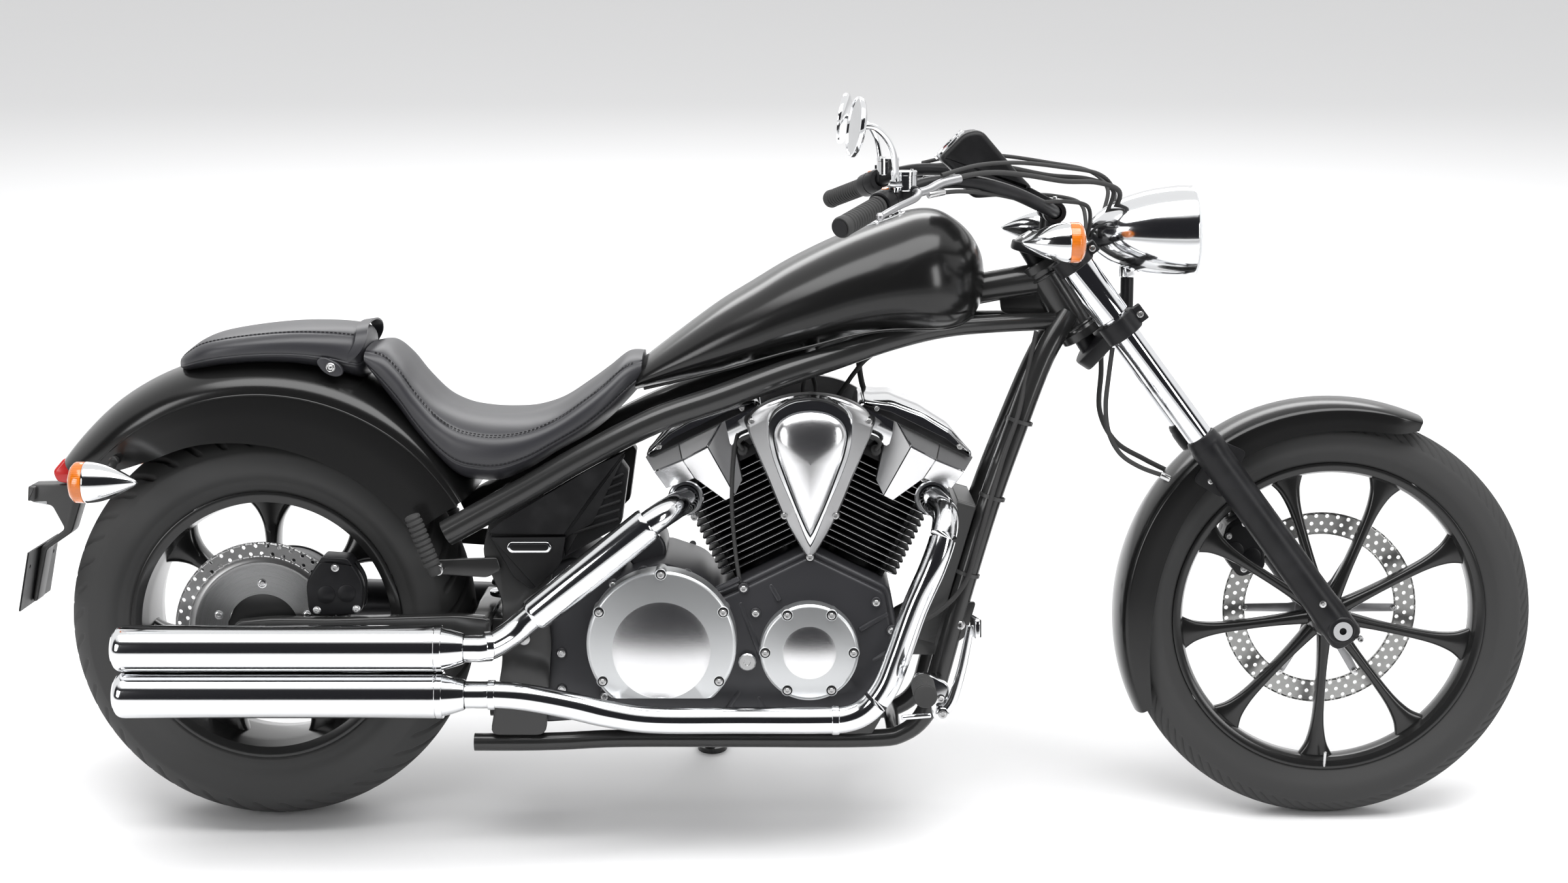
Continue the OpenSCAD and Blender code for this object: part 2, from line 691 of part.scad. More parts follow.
module rear_axle_shaft() {
    color("#b6b9bd") difference() {
        union() {
            cross_pin(rear_axle, -arm_out - 8, drive_y + 46, axle_r);
            cross_pin(rear_axle, -arm_out - 20, -arm_out - seat_gap, 17);
            cross_pin(rear_axle, drive_y + 38 + seat_gap, drive_y + 52, 17);
        }
        cross_pin(rear_axle, -arm_out - 70, drive_y + 78, axle_bore_r);
    }
}

rear_disc_y = -106;
front_disc_y = 54;
disc_t = 5;

module rear_caliper() {
    color("#1d1e20") difference() {
        plate([[82, 372 + seat_gap], [78, 432], [104, 474], [150, 470], [176, 432], [172, 376]],
            -arm_in - 18, rear_disc_y + 24);
        turned([0, 0, rear_axle[2]], [[0, rear_disc_y - disc_t - pad_gap - 2.5],
            [rear_disc_r + 5, rear_disc_y - disc_t - pad_gap - 2.5],
            [rear_disc_r + 5, rear_disc_y + pad_gap + 2.5], [0, rear_disc_y + pad_gap + 2.5]]);
    }
}

module tail_light() {
    color("#7d1016") plate([[-346, 624.6], [-367, 600], [-360, 582], [-332, 577.5], [-312, 597]], -30, 30);
}

plate_lean = 10.8;
plate_c = [-403.4, 0, 421];
plate_h = 102;
plate_hole_y = 70;
plate_hole_r = 3.5;

module plate_bracket() {
    color("#1a1b1c") {
        plate([[-336, 577], [-366, 577], [-409, 576], [-411, 548], [-372, 540], [-352, 500], [-394, 468],
            [-412, 374], [-404, 374], [-384, 464], [-340, 494], [-318, 560], [-316, 577]], -22, 22);
        plate([[-324, 570], [-304, 570], [-304, 600], [-282, 676], [-291, 680], [-312, 608], [-312, 596],
            [-322, 586]], -8, 8);
    }
}

// Flat holder for the number plate, leaning like the bracket behind it
module plate_holder() {
    color("#161718") translate(plate_c) rotate([0, plate_lean, 0]) difference() {
        translate([-3, -89, -plate_h / 2]) cube([3, 178, plate_h]);
        for (side = [-1, 1]) translate([-10, side * plate_hole_y, 24]) rotate([0, 90, 0])
            cylinder(h = 20, r = plate_hole_r);
    }
}

// Bullet lamp pointing along dir (1 forward, -1 back) with its lens ring
module bullet(p, dir, tip, ring) {
    l = abs(tip - p[0]);
    translate(p) rotate([0, dir * 90, 0]) rotate_extrude() polygon(concat([[0, 0], [ring, 0]],
        [for (k = [1 : 7]) [ring * cos(k * 12), l * k / 7.4]], [[0, l]]));
}

module lens(p, dir, r) {
    translate(p) rotate([0, -dir * 90, 0]) rotate_extrude() polygon([[0, seat_gap], [r, seat_gap],
        [r, 17], [r - 8, 24], [0, 27]]);
}

rear_signal = [-262, 205, 610];
signal_seat_y = rear_fender_half_w * 0.86;
front_signal = leg_at(765) + [-15.87, 196, 36.84];

module rear_signals() {
    both_sides() {
        color("#e4e6e8") bullet(rear_signal, 1, -177, 34);
        color("#e07a18") lens(rear_signal, 1, 34);
        color("#161718") {
            cross_pin([-238, 0, 632], signal_seat_y + seat_gap, signal_seat_y + 16, 8);
            rod([-238, signal_seat_y + 9, 632], [-236, 173, 612], 8);
        }
    }
}

module front_signals() {
    both_sides() {
        color("#e4e6e8") bullet(front_signal, -1, front_signal[0] - 78, 33);
        color("#e07a18") lens(front_signal, -1, 33);
        color("#161718") {
            cross_pin(leg_at(high_yoke_s), fork_y + 33 + seat_gap, fork_y + 48, 8);
            rod(leg_at(high_yoke_s, fork_y + 42), front_signal - [6, 30, 7], 8);
        }
    }
}

// ---- Footrests -----------------------------------------------------------

// Footrests: reach of the right bracket, length, height and radius of a peg
peg_reach = 236;
peg_l = 110;
peg_z = 287;
peg_r = 19;

module footrest(reach) {
    plate([[1084, 300], [1104, 304], [1142, 284], [1142, 226], [1116, 226], [1110, 262], [1086, 276]],
        reach, reach + 20);
    cross_pin(foot_mount, foot_mount_y + seat_gap, reach + 1, 12);
    cross_pin([1098, 0, peg_z], reach + 20 + seat_gap, reach + peg_l, peg_r);
}

module right_foot_controls() {
    color("#c3c6ca") {
        mirror([0, 1, 0]) footrest(peg_reach);
        rod([1130, -264, 240], [1174, -264, 384], 7);
        rod([1174, -258, 386], [1180, -318, 390], 14);
        cross_pin([1130, 0, 240], -274, -256 - seat_gap, 11);
    }
}

module left_foot_controls() {
    color("#c3c6ca") {
        footrest(196);
        rod([1130, 224, 240], [1180, 224, 372], 7);
        rod([1182, 218, 376], [1182, 268, 376], 10);
        cross_pin([1130, 0, 240], 216 + seat_gap, 234, 11);
    }
}

module passenger_pegs() {
    color("#1b1c1d") both_sides() {
        plate([[292, 446], [292, 470], [398, 474], [404, 452], [380, 440]], plate_out + seat_gap,
            plate_out + 9);
        cross_pin([303, 0, 458], plate_out + 5, plate_out + 38, 9);
        rod([300, plate_out + 36, 450], [262, plate_out + 42, 556], 14);
    }
}

// ---- Wheels --------------------------------------------------------------

// Tyre profile [radius, y]: crown of radius crown, sidewall down to the bead
function tyre_half(r, w, bead, crown, bead_half) = let (
        a = min(asin((w / 2 - 6) / crown), 80), c = r - crown)
    concat([for (k = [0 : 8]) [c + crown * cos(a * k / 8), crown * sin(a * k / 8)]],
        [[c + crown * cos(a) - 9, w / 2 - 1], [mid(c + crown * cos(a), bead), w / 2],
        [bead + (r - bead) * 0.16, mid(w / 2, bead_half)], [bead, bead_half]]);

module tyre(p, r, w, bead, crown, bead_half) {
    h = tyre_half(r, w, bead, crown, bead_half);
    turned(p, concat([for (k = [len(h) - 1 : -1 : 1]) [h[k][0], -h[k][1]]], h));
}

front_bead_half = 30;
rear_bead_half = 84;
hub_half = 46;
front_hub_r = 34;
rear_hub_r = 62;

module front_tyre() {
    color("#1a1a1b") tyre(front_axle, front_tyre_r, front_tyre_w, front_rim_r + seat_gap, front_crown,
        front_bead_half - 4);
}

module rear_tyre() {
    color("#1a1a1b") tyre(rear_axle, rear_tyre_r, rear_tyre_w, rear_rim_r + seat_gap, rear_crown,
        rear_bead_half - 6);
}

// Rim section, open towards the tyre
module rim_ring(p, window, bead, half) {
    turned(p, [[window, -half * 0.5], [window + 4, -half + 4], [bead - 4, -half], [bead, -half],
        [bead, -half + 6], [bead - 6, -half * 0.6], [bead - 6, half * 0.6], [bead, half - 6],
        [bead, half], [bead - 4, half], [window + 4, half - 4], [window, half * 0.5]]);
}

// Spoke along X from the hub to the rim, waisted and then flared
module spoke(hub, window, root, waist, flare, half) {
    s = window - hub;
    rotate([90, 0, 0]) translate([0, 0, -half]) linear_extrude(2 * half)
        polygon([for (side = [1, -1]) for (q = side == 1
            ? [[-0.12, root], [0.3, waist], [0.68, waist * 1.15], [0.86, waist * 1.8], [1.02, flare]]
            : [[1.02, flare], [0.86, waist * 1.8], [0.68, waist * 1.15], [0.3, waist], [-0.12, root]])
            [hub + s * q[0], side * q[1]]]);
}

module front_wheel_rim() {
    color("#111213") difference() {
        union() {
            rim_ring(front_axle, front_window_r, front_rim_r, front_bead_half);
            cross_pin(front_axle, -hub_half, hub_half - 6, front_hub_r);
            cross_pin(front_axle, hub_half - 6, hub_half, 26);
            for (i = [0 : front_spokes - 1]) translate(front_axle)
                rotate([0, 92.5 + i * 360 / front_spokes, 0])
                    spoke(front_hub_r, front_window_r, 11, 8.5, 30, 13);
        }
        cross_pin(front_axle, -200, 200, axle_r + bore_gap);
    }
}

module rear_wheel_rim() {
    color("#111213") difference() {
        union() {
            rim_ring(rear_axle, rear_window_r, rear_rim_r, rear_bead_half);
            cross_pin(rear_axle, -96, 100, rear_hub_r);
            for (i = [0 : rear_spokes - 1]) translate(rear_axle)
                rotate([0, -90 + i * 360 / rear_spokes, 0])
                    spoke(rear_hub_r, rear_window_r, 22, 11, 40, 22);
        }
        cross_pin(rear_axle, -200, 200, axle_r + bore_gap);
    }
}

// Drilled brake disc with its carrier, face at y
module brake_disc(p, y, r, band, holes) {
    difference() {
        turned(p, [[r - band, y - disc_t / 2], [r, y - disc_t / 2], [r, y + disc_t / 2],
            [r - band, y + disc_t / 2]]);
        for (i = [0 : holes - 1]) for (k = [0, 1]) translate(p)
            rotate([0, (i + k * 0.5) * 360 / holes, 0]) translate([r - band * (0.3 + 0.4 * k), 0, 0])
                cross_pin([0, 0, 0], y - disc_t, y + disc_t, 3);
    }
}

module disc_carrier(p, y, r, inner, arms, hub_y) {
    difference() {
        union() {
            cross_pin(p, min(y - 2, hub_y), max(y + 2, hub_y), inner);
            for (i = [0 : arms - 1]) translate(p) rotate([0, i * 360 / arms, 0])
                plate([[inner - 8, -9], [r + 0.5, -7], [r + 0.5, 7], [inner - 8, 9]], y - 2, y + 2);
        }
        cross_pin(p, -200, 200, axle_r + 6);
    }
}

module front_disc() {
    color("#b9bcc0") {
        brake_disc(front_axle, front_disc_y, front_disc_r, 38, 24);
        disc_carrier(front_axle, front_disc_y, front_disc_r - 38, 42, 6, hub_half + seat_gap);
    }
}

module rear_disc() {
    color("#b9bcc0") {
        brake_disc(rear_axle, rear_disc_y, rear_disc_r, 52, 24);
        disc_carrier(rear_axle, rear_disc_y, rear_disc_r - 52, 58, 6, -96 - seat_gap);
    }
}

// ---- Fork ----------------------------------------------------------------

module front_axle_shaft() {
    color("#c3c6ca") difference() {
        union() {
            cross_pin(front_axle, -fork_y - slider_r - 6, fork_y + slider_r + 6, axle_r);
            both_sides() {
                cross_pin(front_axle, hub_half + seat_gap + 14, fork_y - slider_r - seat_gap, 15);
                cross_pin(front_axle, fork_y + slider_r + seat_gap, fork_y + slider_r + 7, 16);
            }
            cross_pin(front_axle, -hub_half - 15, -hub_half - seat_gap, 15);
        }
        cross_pin(front_axle, -200, 200, axle_bore_r);
    }
}

module fork_sliders() {
    color("#141516") both_sides() difference() {
        union() {
            rod(leg_at(-30, fork_y), leg_at(slider_l, fork_y), slider_r);
            rod(leg_at(slider_l, fork_y), leg_at(slider_l + 14, fork_y), slider_r, slider_r - 4);
        }
        rod(leg_at(slider_l - 60, fork_y), leg_at(slider_l + 60, fork_y), fork_tube_r + seat_gap);
        cross_pin(front_axle, 0, 200, axle_r + seat_gap);
    }
}

// Chrome tubes, with a sleeve round each between the yokes
module fork_tubes() {
    color("#dfe1e3") both_sides() {
        rod(leg_at(slider_l - 59, fork_y), leg_at(high_yoke_s + 24, fork_y), fork_tube_r);
        difference() {
            rod(leg_at(low_yoke_s + 21, fork_y), leg_at(high_yoke_s - 18, fork_y), 29);
            rod(leg_at(low_yoke_s, fork_y), leg_at(high_yoke_s, fork_y), fork_tube_r + seat_gap);
        }
    }
}

// Yoke across the legs at distance s, reaching back to the steering stem
module yoke(s, stem_z, half_t) {
    c = leg_at(s);
    e = steer_at(stem_z);
    reach = norm(c - e);
    difference() {
        union() {
            both_sides() rod(leg_at(s - half_t, fork_y), leg_at(s + half_t, fork_y), 33);
            translate(e) rotate([0, atan2(e[2] - c[2], c[0] - e[0]), 0])
                translate([0, 0, 5 - half_t]) linear_extrude(2 * half_t - 10)
                    polygon([[-27, -22], [-27, 22], [reach - 15, fork_y - 8], [reach + 15, fork_y - 8],
                        [reach + 22, 0], [reach + 15, 8 - fork_y], [reach - 15, 8 - fork_y]]);
        }
        both_sides() rod(leg_at(s - 60, fork_y), leg_at(s + 60, fork_y), fork_tube_r + seat_gap);
    }
}

// The bends of the bar spread in step with its half width out to the grips
function spread(p) = [p[0] + front_shift[0], p[1] * (bar_half_w - 90) / 352, p[2]];
grip_in = spread([1018, 352, 1065]);
grip_out = grip_in + [-60, 90, -28];
bar_path = concat([for (p = [[1322, 0, 1040], [1320, 62, 1041], [1298, 120, 1052], [1236, 190, 1080],
    [1166, 240, 1098], [1096, 278, 1096]]) spread(p)],
    [grip_in + (grip_in - grip_out) * 0.36, grip_in, grip_out]);
// Controls and mirrors are listed beside the grip and move out with it
grip_shift = grip_in - [1018, 352, 1065];
bracket_x = 1452 + front_shift[0];
low_stem_z = head_low[2] - 26;
high_stem_z = head_high[2] + 22;
riser_foot = mid(steer_at(high_stem_z), leg_at(high_yoke_s)) + [0, 46, 0];
riser_run = bar_path[0] + [0, 46, 0] - riser_foot;
riser_top = riser_foot + riser_run * (1 - (bar_r + seat_gap) / norm(riser_run));

module fork_yokes() {
    color("#141516") {
        difference() {
            union() {
                yoke(low_yoke_s, low_stem_z, 17);
                yoke(high_yoke_s, high_stem_z, 13);
            }
            head_tube(1);
        }
        both_sides() rod(riser_foot, riser_top, 13);
        rod([bracket_x, 0, 848], [bracket_x, 0, headlight_foot_z - seat_gap], 11);
        rod(leg_at(low_yoke_s) + [-6, 0, 0], [bracket_x, 0, 852], 12);
        rod(steer_at(low_stem_z) - 17 * steer_dir, steer_at(high_stem_z) + 18 * steer_dir, stem_r);
    }
}

// ---- Bars and what they carry --------------------------------------------

module handlebar() {
    s = spline(bar_path, 4);
    color("#1a1b1c") {
        both_sides() pipe(s, bar_r, 12, [0.9, 0, 0.45]);
    }
}

module grips() {
    color("#1b1b1c") both_sides() difference() {
        rod(grip_in, grip_out, grip_r);
        rod(grip_in - (grip_out - grip_in), grip_out, bar_r + seat_gap);
    }
}

module control_pod(grow) {
    d = (grip_in - grip_out) / norm(grip_in - grip_out);
    rod(grip_in + 3 * d, grip_in + 52 * d, 21 + grow);
}

module bar_controls() {
    color("#1d1e20") both_sides() {
        difference() {
            union() {
                control_pod(0);
                translate(grip_shift) pipe(spline([[1050, 320, 1084], [1080, 343, 1085],
                    [1074, 376, 1078], [1046, 412, 1068],
                    [1014, 446, 1052]], 4), 6, 8, [0, 0, 1]);
                translate(grip_shift + [1060, 312, 1088]) cylinder(h = 32, r = 20);
            }
            pipe(spline(bar_path, 4), bar_r + seat_gap, 12, [0.9, 0, 0.45]);
        }
    }
}

mirror_c = [978, 396, 1188] + grip_shift;
mirror_half_w = 63.5;
mirror_half_h = 47;

module mirrors() {
    color("#d9dbde") both_sides() difference() {
        union() {
            translate(mirror_c) rotate([0, 8, -8]) rotate([0, 90, 0]) linear_extrude(14)
                scale([1, mirror_half_w / mirror_half_h]) circle(mirror_half_h);
            translate(grip_shift) pipe(spline([[1046, 336, 1086], [1046, 338, 1120], [1036, 350, 1160],
                [1012, 378, 1186], [986, 396, 1188]], 4), 5, 8, [1, 0.3, 0]);
        }
        control_pod(seat_gap);
    }
}

module instrument() {
    color("#1d1e20") translate([front_shift[0], 0, 0]) {
        plate([[1150, 1112], [1128, 1128], [1172, 1172], [1200, 1176], [1262, 1104], [1288, 1078],
            [1240, 1066], [1186, 1062]], -52, 52);
        plate([[1236, 1068], [1284, 1080], [1332, 1054], [1330, 1040 + bar_r + seat_gap],
            [1316, 1040 + bar_r + seat_gap]], -18, 18);
    }
}

headlight_c = [1470 + front_shift[0], 0, 1003];
headlight_foot_z = 928;

module headlight() {
    color("#dfe1e3") {
        skin([for (q = spline([[1384, 0.18], [1400, 0.42], [1430, 0.68], [1480, 0.9], [1530, 1],
            [1560, 1]], 3)) oval(q[0] + front_shift[0], 84 * q[1], headlight_c[2] - 78 * q[1],
            headlight_c[2] + 78 * q[1], 24, 0.95)]);
        translate([bracket_x, 0, headlight_foot_z]) cylinder(h = 40, r = 14);
    }
}

module headlight_lens() {
    color("#e9eef2") translate([headlight_c[0] + 90 + seat_gap, 0, headlight_c[2]]) rotate([0, 90, 0])
        rotate_extrude() polygon([[0, 0], [74, 0], [66, 10], [0, 18]]);
}

module front_caliper() {
    color("#1d1e20") difference() {
        translate(front_shift) plate([[1626, 452], [1636, 498], [1676, 520], [1700, 470], [1706, 420],
            [1660, 404]], front_disc_y - 22, fork_y - 2);
        turned(front_axle, [[0, front_disc_y - disc_t - pad_gap],
            [front_disc_r + 5, front_disc_y - disc_t - pad_gap],
            [front_disc_r + 5, front_disc_y + disc_t + pad_gap], [0, front_disc_y + disc_t + pad_gap]]);
        rod(leg_at(-20, fork_y), leg_at(slider_l, fork_y), slider_r + seat_gap);
    }
}

// The hose keeps clear of the tube above and of the slider below
tube_clear = (fork_tube_r - 22) * [cos(fork_angle), 0, sin(fork_angle)];
slider_clear = [0, slider_r - 29, 0];
hose_shift = front_shift + [0, fork_y - 105, 0];
hose_path = [for (q = [[1415.5, 104, 822, 1], [1421, 102, 810, 1], [1422, 88, 760, 1], [1420, 84, 690, 1],
    [1448, 84, 636, 1], [1500, 84, 604, 0], [1560, 84, 574, 0], [1610, 84, 546, 0], [1636, 84, 520, 0],
    [1644, 84, 503.5, 0]]) [q[0], q[1], q[2]] - q[3] * tube_clear - (1 - q[3]) * slider_clear + hose_shift];

module brake_hose() {
    color("#1b1b1c") pipe(spline(hose_path, 4), 4.5, 8, [0, 1, 0]);
}

// ---- Side stand ----------------------------------------------------------

module side_stand() {
    color("#1a1b1c") difference() {
        union() {
            rod(stand_pivot - hub_t * stand_dir, stand_pivot + hub_t * stand_dir, 17);
            rod(stand_pivot, stand_foot + (foot_t / 2 + 4) * [0, 0, 1], 9);
            translate(stand_foot) rotate([lean, 0, 0]) cylinder(h = foot_t, r = 27);
        }
        rod(stand_pivot - 20 * stand_dir, stand_pivot + 20 * stand_dir, stand_pin_r + pin_gap);
        translate(stand_foot) rotate([lean, 0, 0]) translate([-60, -60, -40]) cube([120, 120, 40]);
    }
}

// ---- Placement -----------------------------------------------------------

rear_end = plate_c[0] - plate_h / 2 * sin(plate_lean) - 3 * cos(plate_lean);
left_reach = mirror_c[1] * cos(lean) + mirror_c[2] * sin(lean)
    + norm([mirror_half_w * cos(8) * cos(lean), mirror_half_h * sin(lean)]);
right_reach = -(peg_reach + peg_l) * cos(lean) + (peg_z - peg_r) * sin(lean);
foot_x = mid(rear_end, wheelbase + front_tyre_r);
foot_y = mid(left_reach, right_reach);

parked() upper_frame();
parked() cradle();
parked() crankcase();
parked() cylinders();
parked() head_covers();
parked() intake();
parked() teardrop_covers();
parked() right_covers();
parked() left_covers();
parked() radiator();
parked() front_exhaust();
parked() rear_exhaust();
parked() silencers();
parked() fuel_tank();
parked() rider_seat();
parked() passenger_seat();
parked() rear_fender();
parked() side_covers();
parked() swingarm();
parked() drive_housing();
parked() shock_absorber();
parked() rear_axle_shaft();
parked() rear_caliper();
parked() tail_light();
parked() plate_bracket();
parked() plate_holder();
parked() rear_signals();
parked() right_foot_controls();
parked() left_foot_controls();
parked() passenger_pegs();
parked() rear_wheel_rim();
parked() rear_tyre();
parked() rear_disc();
parked() fork_sliders();
parked() fork_tubes();
parked() fork_yokes();
parked() handlebar();
parked() grips();
parked() bar_controls();
parked() mirrors();
parked() instrument();
parked() headlight();
parked() headlight_lens();
parked() front_signals();
parked() front_fender();
parked() front_caliper();
parked() brake_hose();
parked() front_axle_shaft();
parked() front_wheel_rim();
parked() front_tyre();
parked() front_disc();
parked() side_stand();
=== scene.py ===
"""Surfaces, finishes and stage of a chopper motorcycle, built round its packed model.

The file is laid out as an add-on and is run as a script. Lengths in its tables are millimetres
on the upright machine: X forward from the rear axle, Y to the machine's left, Z up from the
ground under it. place() turns them into metres on the machine as it leans on its stand.
"""

import json
import math

import bmesh
import bpy
from mathutils import Matrix
import numpy as np
from bpy.props import FloatProperty, FloatVectorProperty, IntProperty, PointerProperty


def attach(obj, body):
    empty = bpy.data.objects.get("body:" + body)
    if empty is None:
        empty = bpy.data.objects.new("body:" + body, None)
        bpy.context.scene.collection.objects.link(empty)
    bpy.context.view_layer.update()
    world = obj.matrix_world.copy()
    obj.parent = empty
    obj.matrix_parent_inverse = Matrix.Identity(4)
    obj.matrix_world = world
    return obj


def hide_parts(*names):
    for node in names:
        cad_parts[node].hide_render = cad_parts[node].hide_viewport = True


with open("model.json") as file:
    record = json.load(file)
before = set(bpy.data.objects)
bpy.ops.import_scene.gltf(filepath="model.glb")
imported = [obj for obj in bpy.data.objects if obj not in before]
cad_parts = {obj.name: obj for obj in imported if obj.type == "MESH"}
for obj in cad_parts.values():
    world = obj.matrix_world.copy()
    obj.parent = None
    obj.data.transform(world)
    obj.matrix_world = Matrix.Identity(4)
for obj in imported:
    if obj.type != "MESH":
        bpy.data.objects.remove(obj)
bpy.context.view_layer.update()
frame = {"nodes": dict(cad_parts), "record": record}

bl_info = {
    "name": "Chopper motorcycle",
    "version": (1, 0, 0),
    "blender": (4, 5, 0),
    "location": "View3D > Sidebar > Chopper",
    "description": "Bodywork, engine, wheels and controls of a chopper round its packed model",
    "category": "Object",
}

# ---- Placing ---------------------------------------------------------------

MOUNTS = {m["name"]: m for m in frame["record"]["mounts"]}
FRONT_AXLE = np.array([1804.0, 0.0, 348.0])
REAR_AXLE = np.array([0.0, 0.0, 345.23])
AXLE_AT = np.array(MOUNTS["front_axle_bore"]["pos_m"])
ACROSS = np.array(MOUNTS["front_axle_bore"]["axis"])
ALONG = np.array([1.0, 0.0, 0.0])
UPRIGHT = np.cross(ALONG, ACROSS)
MM = 0.001
RAKE, LEG_RAKE = math.radians(32), math.radians(36.6)
FORK_DIR = np.array([-math.sin(LEG_RAKE), 0.0, math.cos(LEG_RAKE)])
STEER_DIR = np.array([-math.sin(RAKE), 0.0, math.cos(RAKE)])
FORK_Y = 105
Y = np.array([0.0, 1.0, 0.0])
CRANK = np.array([915.0, 0.0, 321.0])
CLUTCH = np.array([671.0, 0.0, 337.0])
V_HALF = math.radians(26)
CASE_RIGHT, CASE_LEFT = -150, 130
DECK, JOINT = 150, 325  # distances from the crank to the cylinders' foot and to the head joint


def place(p):
    """Axle place + x along + y across + z upright, for points p from the front axle in mm."""
    q = (np.asarray(p, float) - FRONT_AXLE) * MM
    return AXLE_AT + q[..., :1] * ALONG + q[..., 1:2] * ACROSS + q[..., 2:3] * UPRIGHT


def leg_at(s, y=0.0):
    """Front axle + s up the fork leg, y to the side."""
    return FRONT_AXLE + s * FORK_DIR + y * Y


def steer_at(z):
    """Point of the steering axis at height z: x = wheelbase + trail - z tan(rake)."""
    return np.array([1896.0 - z * math.tan(RAKE), 0.0, z])


def bank_point(side, u, d, y=0.0):
    """Crank + d up the cylinder of that side + u away from the middle, y to the side."""
    s, c = math.sin(V_HALF), math.cos(V_HALF)
    return CRANK + np.array([side * (d * s + u * c), y, d * c - u * s])


def unit(v):
    """v divided by its length."""
    v = np.asarray(v, float)
    return v / np.maximum(np.linalg.norm(v, axis=-1, keepdims=True), 1e-12)


# ---- Surfaces --------------------------------------------------------------

def spline(rows, n):
    """Catmull-Rom curve: (2b + (c-a)t + (2a-5b+4c-d)t2 + (3b-a-3c+d)t3) / 2 on each span."""
    p = np.asarray(rows, float)
    i = np.arange(len(p) - 1)
    a, b, c, d = p[np.maximum(i - 1, 0)], p[i], p[i + 1], p[np.minimum(i + 2, len(p) - 1)]
    t = (np.arange(n) / n)[None, :, None]
    a, b, c, d = (q[:, None] for q in (a, b, c, d))
    s = (2 * b + (c - a) * t + (2 * a - 5 * b + 4 * c - d) * t**2
         + (3 * b - a - 3 * c + d) * t**3) / 2
    return np.vstack([s.reshape(-1, p.shape[1]), p[-1:]])


def side_frame(t, ref):
    """Two unit vectors square to t: u = ref x t, v = t x u; ref changes where it is along t."""
    ref = np.broadcast_to(np.asarray(ref, float), t.shape)
    alike = np.abs((ref * t).sum(-1, keepdims=True)) > 0.97
    ref = np.where(alike, np.roll(ref, 1, axis=-1) + 0.01, ref)
    u = unit(np.cross(ref, t))
    return u, np.cross(t, u)


def tube(path, r, sides=16, ref=(0, 1, 0)):
    """Circle carried along a path: p + r (cos a u + sin a v), a from 0 to a full turn."""
    path = np.asarray(path, float)
    u, v = side_frame(unit(np.gradient(path, axis=0)), ref)
    a = np.arange(sides) * 2 * np.pi / sides
    r = np.broadcast_to(np.asarray(r, float), (len(path),))[:, None, None]
    return path[:, None] + r * (np.cos(a)[None, :, None] * u[:, None]
                                + np.sin(a)[None, :, None] * v[:, None])


def rounded_tube(path, r, sides=16, ref=(0, 1, 0), edge=1.5):
    """The same tube with its two ends drawn in by edge along a quarter circle."""
    path = np.asarray(path, float)
    r = np.broadcast_to(np.asarray(r, float), (len(path),))
    head, tail = unit(path[1] - path[0]), unit(path[-1] - path[-2])
    q = np.radians([0, 30, 60, 90])[:, None]
    start = path[0] + edge * (1 - np.sin(q)) * head
    end = path[-1] - edge * (1 - np.sin(q[::-1])) * tail
    rs = r[0] - edge * (1 - np.cos(np.radians([90, 60, 30, 0])))
    re = r[-1] - edge * (1 - np.cos(np.radians([0, 30, 60, 90])))
    rings = np.vstack([start, path[1:-1], end])
    radii = np.concatenate([rs, r[1:-1], re])
    u, v = side_frame(np.vstack([np.tile(head, (4, 1)), unit(np.gradient(path, axis=0))[1:-1],
                                 np.tile(tail, (4, 1))]), ref)
    a = (np.arange(sides) * 2 * np.pi / sides)[None, :, None]
    return rings[:, None] + radii[:, None, None] * (np.cos(a) * u[:, None] + np.sin(a) * v[:, None])


def lathe(centre, axis, profile, sides=48, ref=(0, 0, 1)):
    """Profile rows (radius r, height h) turned about an axis: c + h k + r (cos a u + sin a v)."""
    profile = np.asarray(profile, float)
    k = unit(axis)
    u, v = side_frame(k[None], ref)
    a = (np.arange(sides) * 2 * np.pi / sides)[None, :, None]
    r, h = profile[:, 0, None, None], profile[:, 1, None, None]
    return np.asarray(centre, float) + h * k + r * (np.cos(a) * u + np.sin(a) * v)


def soften(outline, r, n=5):
    """Corners rounded by parabolas: (1-t)2 a + 2t(1-t) c + t2 b, a and b up to r from corner c."""
    p = np.asarray(outline, float)
    back, on = np.roll(p, 1, 0) - p, np.roll(p, -1, 0) - p
    lb, lo = (np.linalg.norm(q, axis=1, keepdims=True) for q in (back, on))
    a = p + back * np.minimum(r / lb, 0.48)
    b = p + on * np.minimum(r / lo, 0.48)
    t = np.linspace(0, 1, n)[None, :, None]
    return ((1 - t) ** 2 * a[:, None] + 2 * t * (1 - t) * p[:, None]
            + t**2 * b[:, None]).reshape(-1, 2)


def inset(outline, d):
    """Outline moved inwards by d: p - d (n1 + n2) / (1 + n1.n2), n the outward edge normals."""
    p = np.asarray(outline, float)
    q = np.roll(p, -1, 0)
    turn = np.sign((p[:, 0] * q[:, 1] - q[:, 0] * p[:, 1]).sum())
    e = unit(q - p)
    n2 = np.stack([e[:, 1], -e[:, 0]], 1) * turn
    n1 = np.roll(n2, 1, 0)
    return p - d * (n1 + n2) / np.maximum(1 + (n1 * n2).sum(1, keepdims=True), 0.35)


def prism(outline, y1, y2, edge=1.5):
    """Side-view outline from y1 to y2; both rims follow a quarter circle of radius edge."""
    q = np.radians([0, 30, 60, 90])
    s = np.sign(y2 - y1)
    rings = [(edge * (1 - np.sin(a)), y1 + s * edge * (1 - np.cos(a))) for a in q]
    rings += [(edge * (1 - np.cos(a)), y2 - s * edge * (1 - np.sin(a))) for a in q]
    return np.stack([np.insert(inset(outline, d), 1, y, axis=1) for d, y in rings])


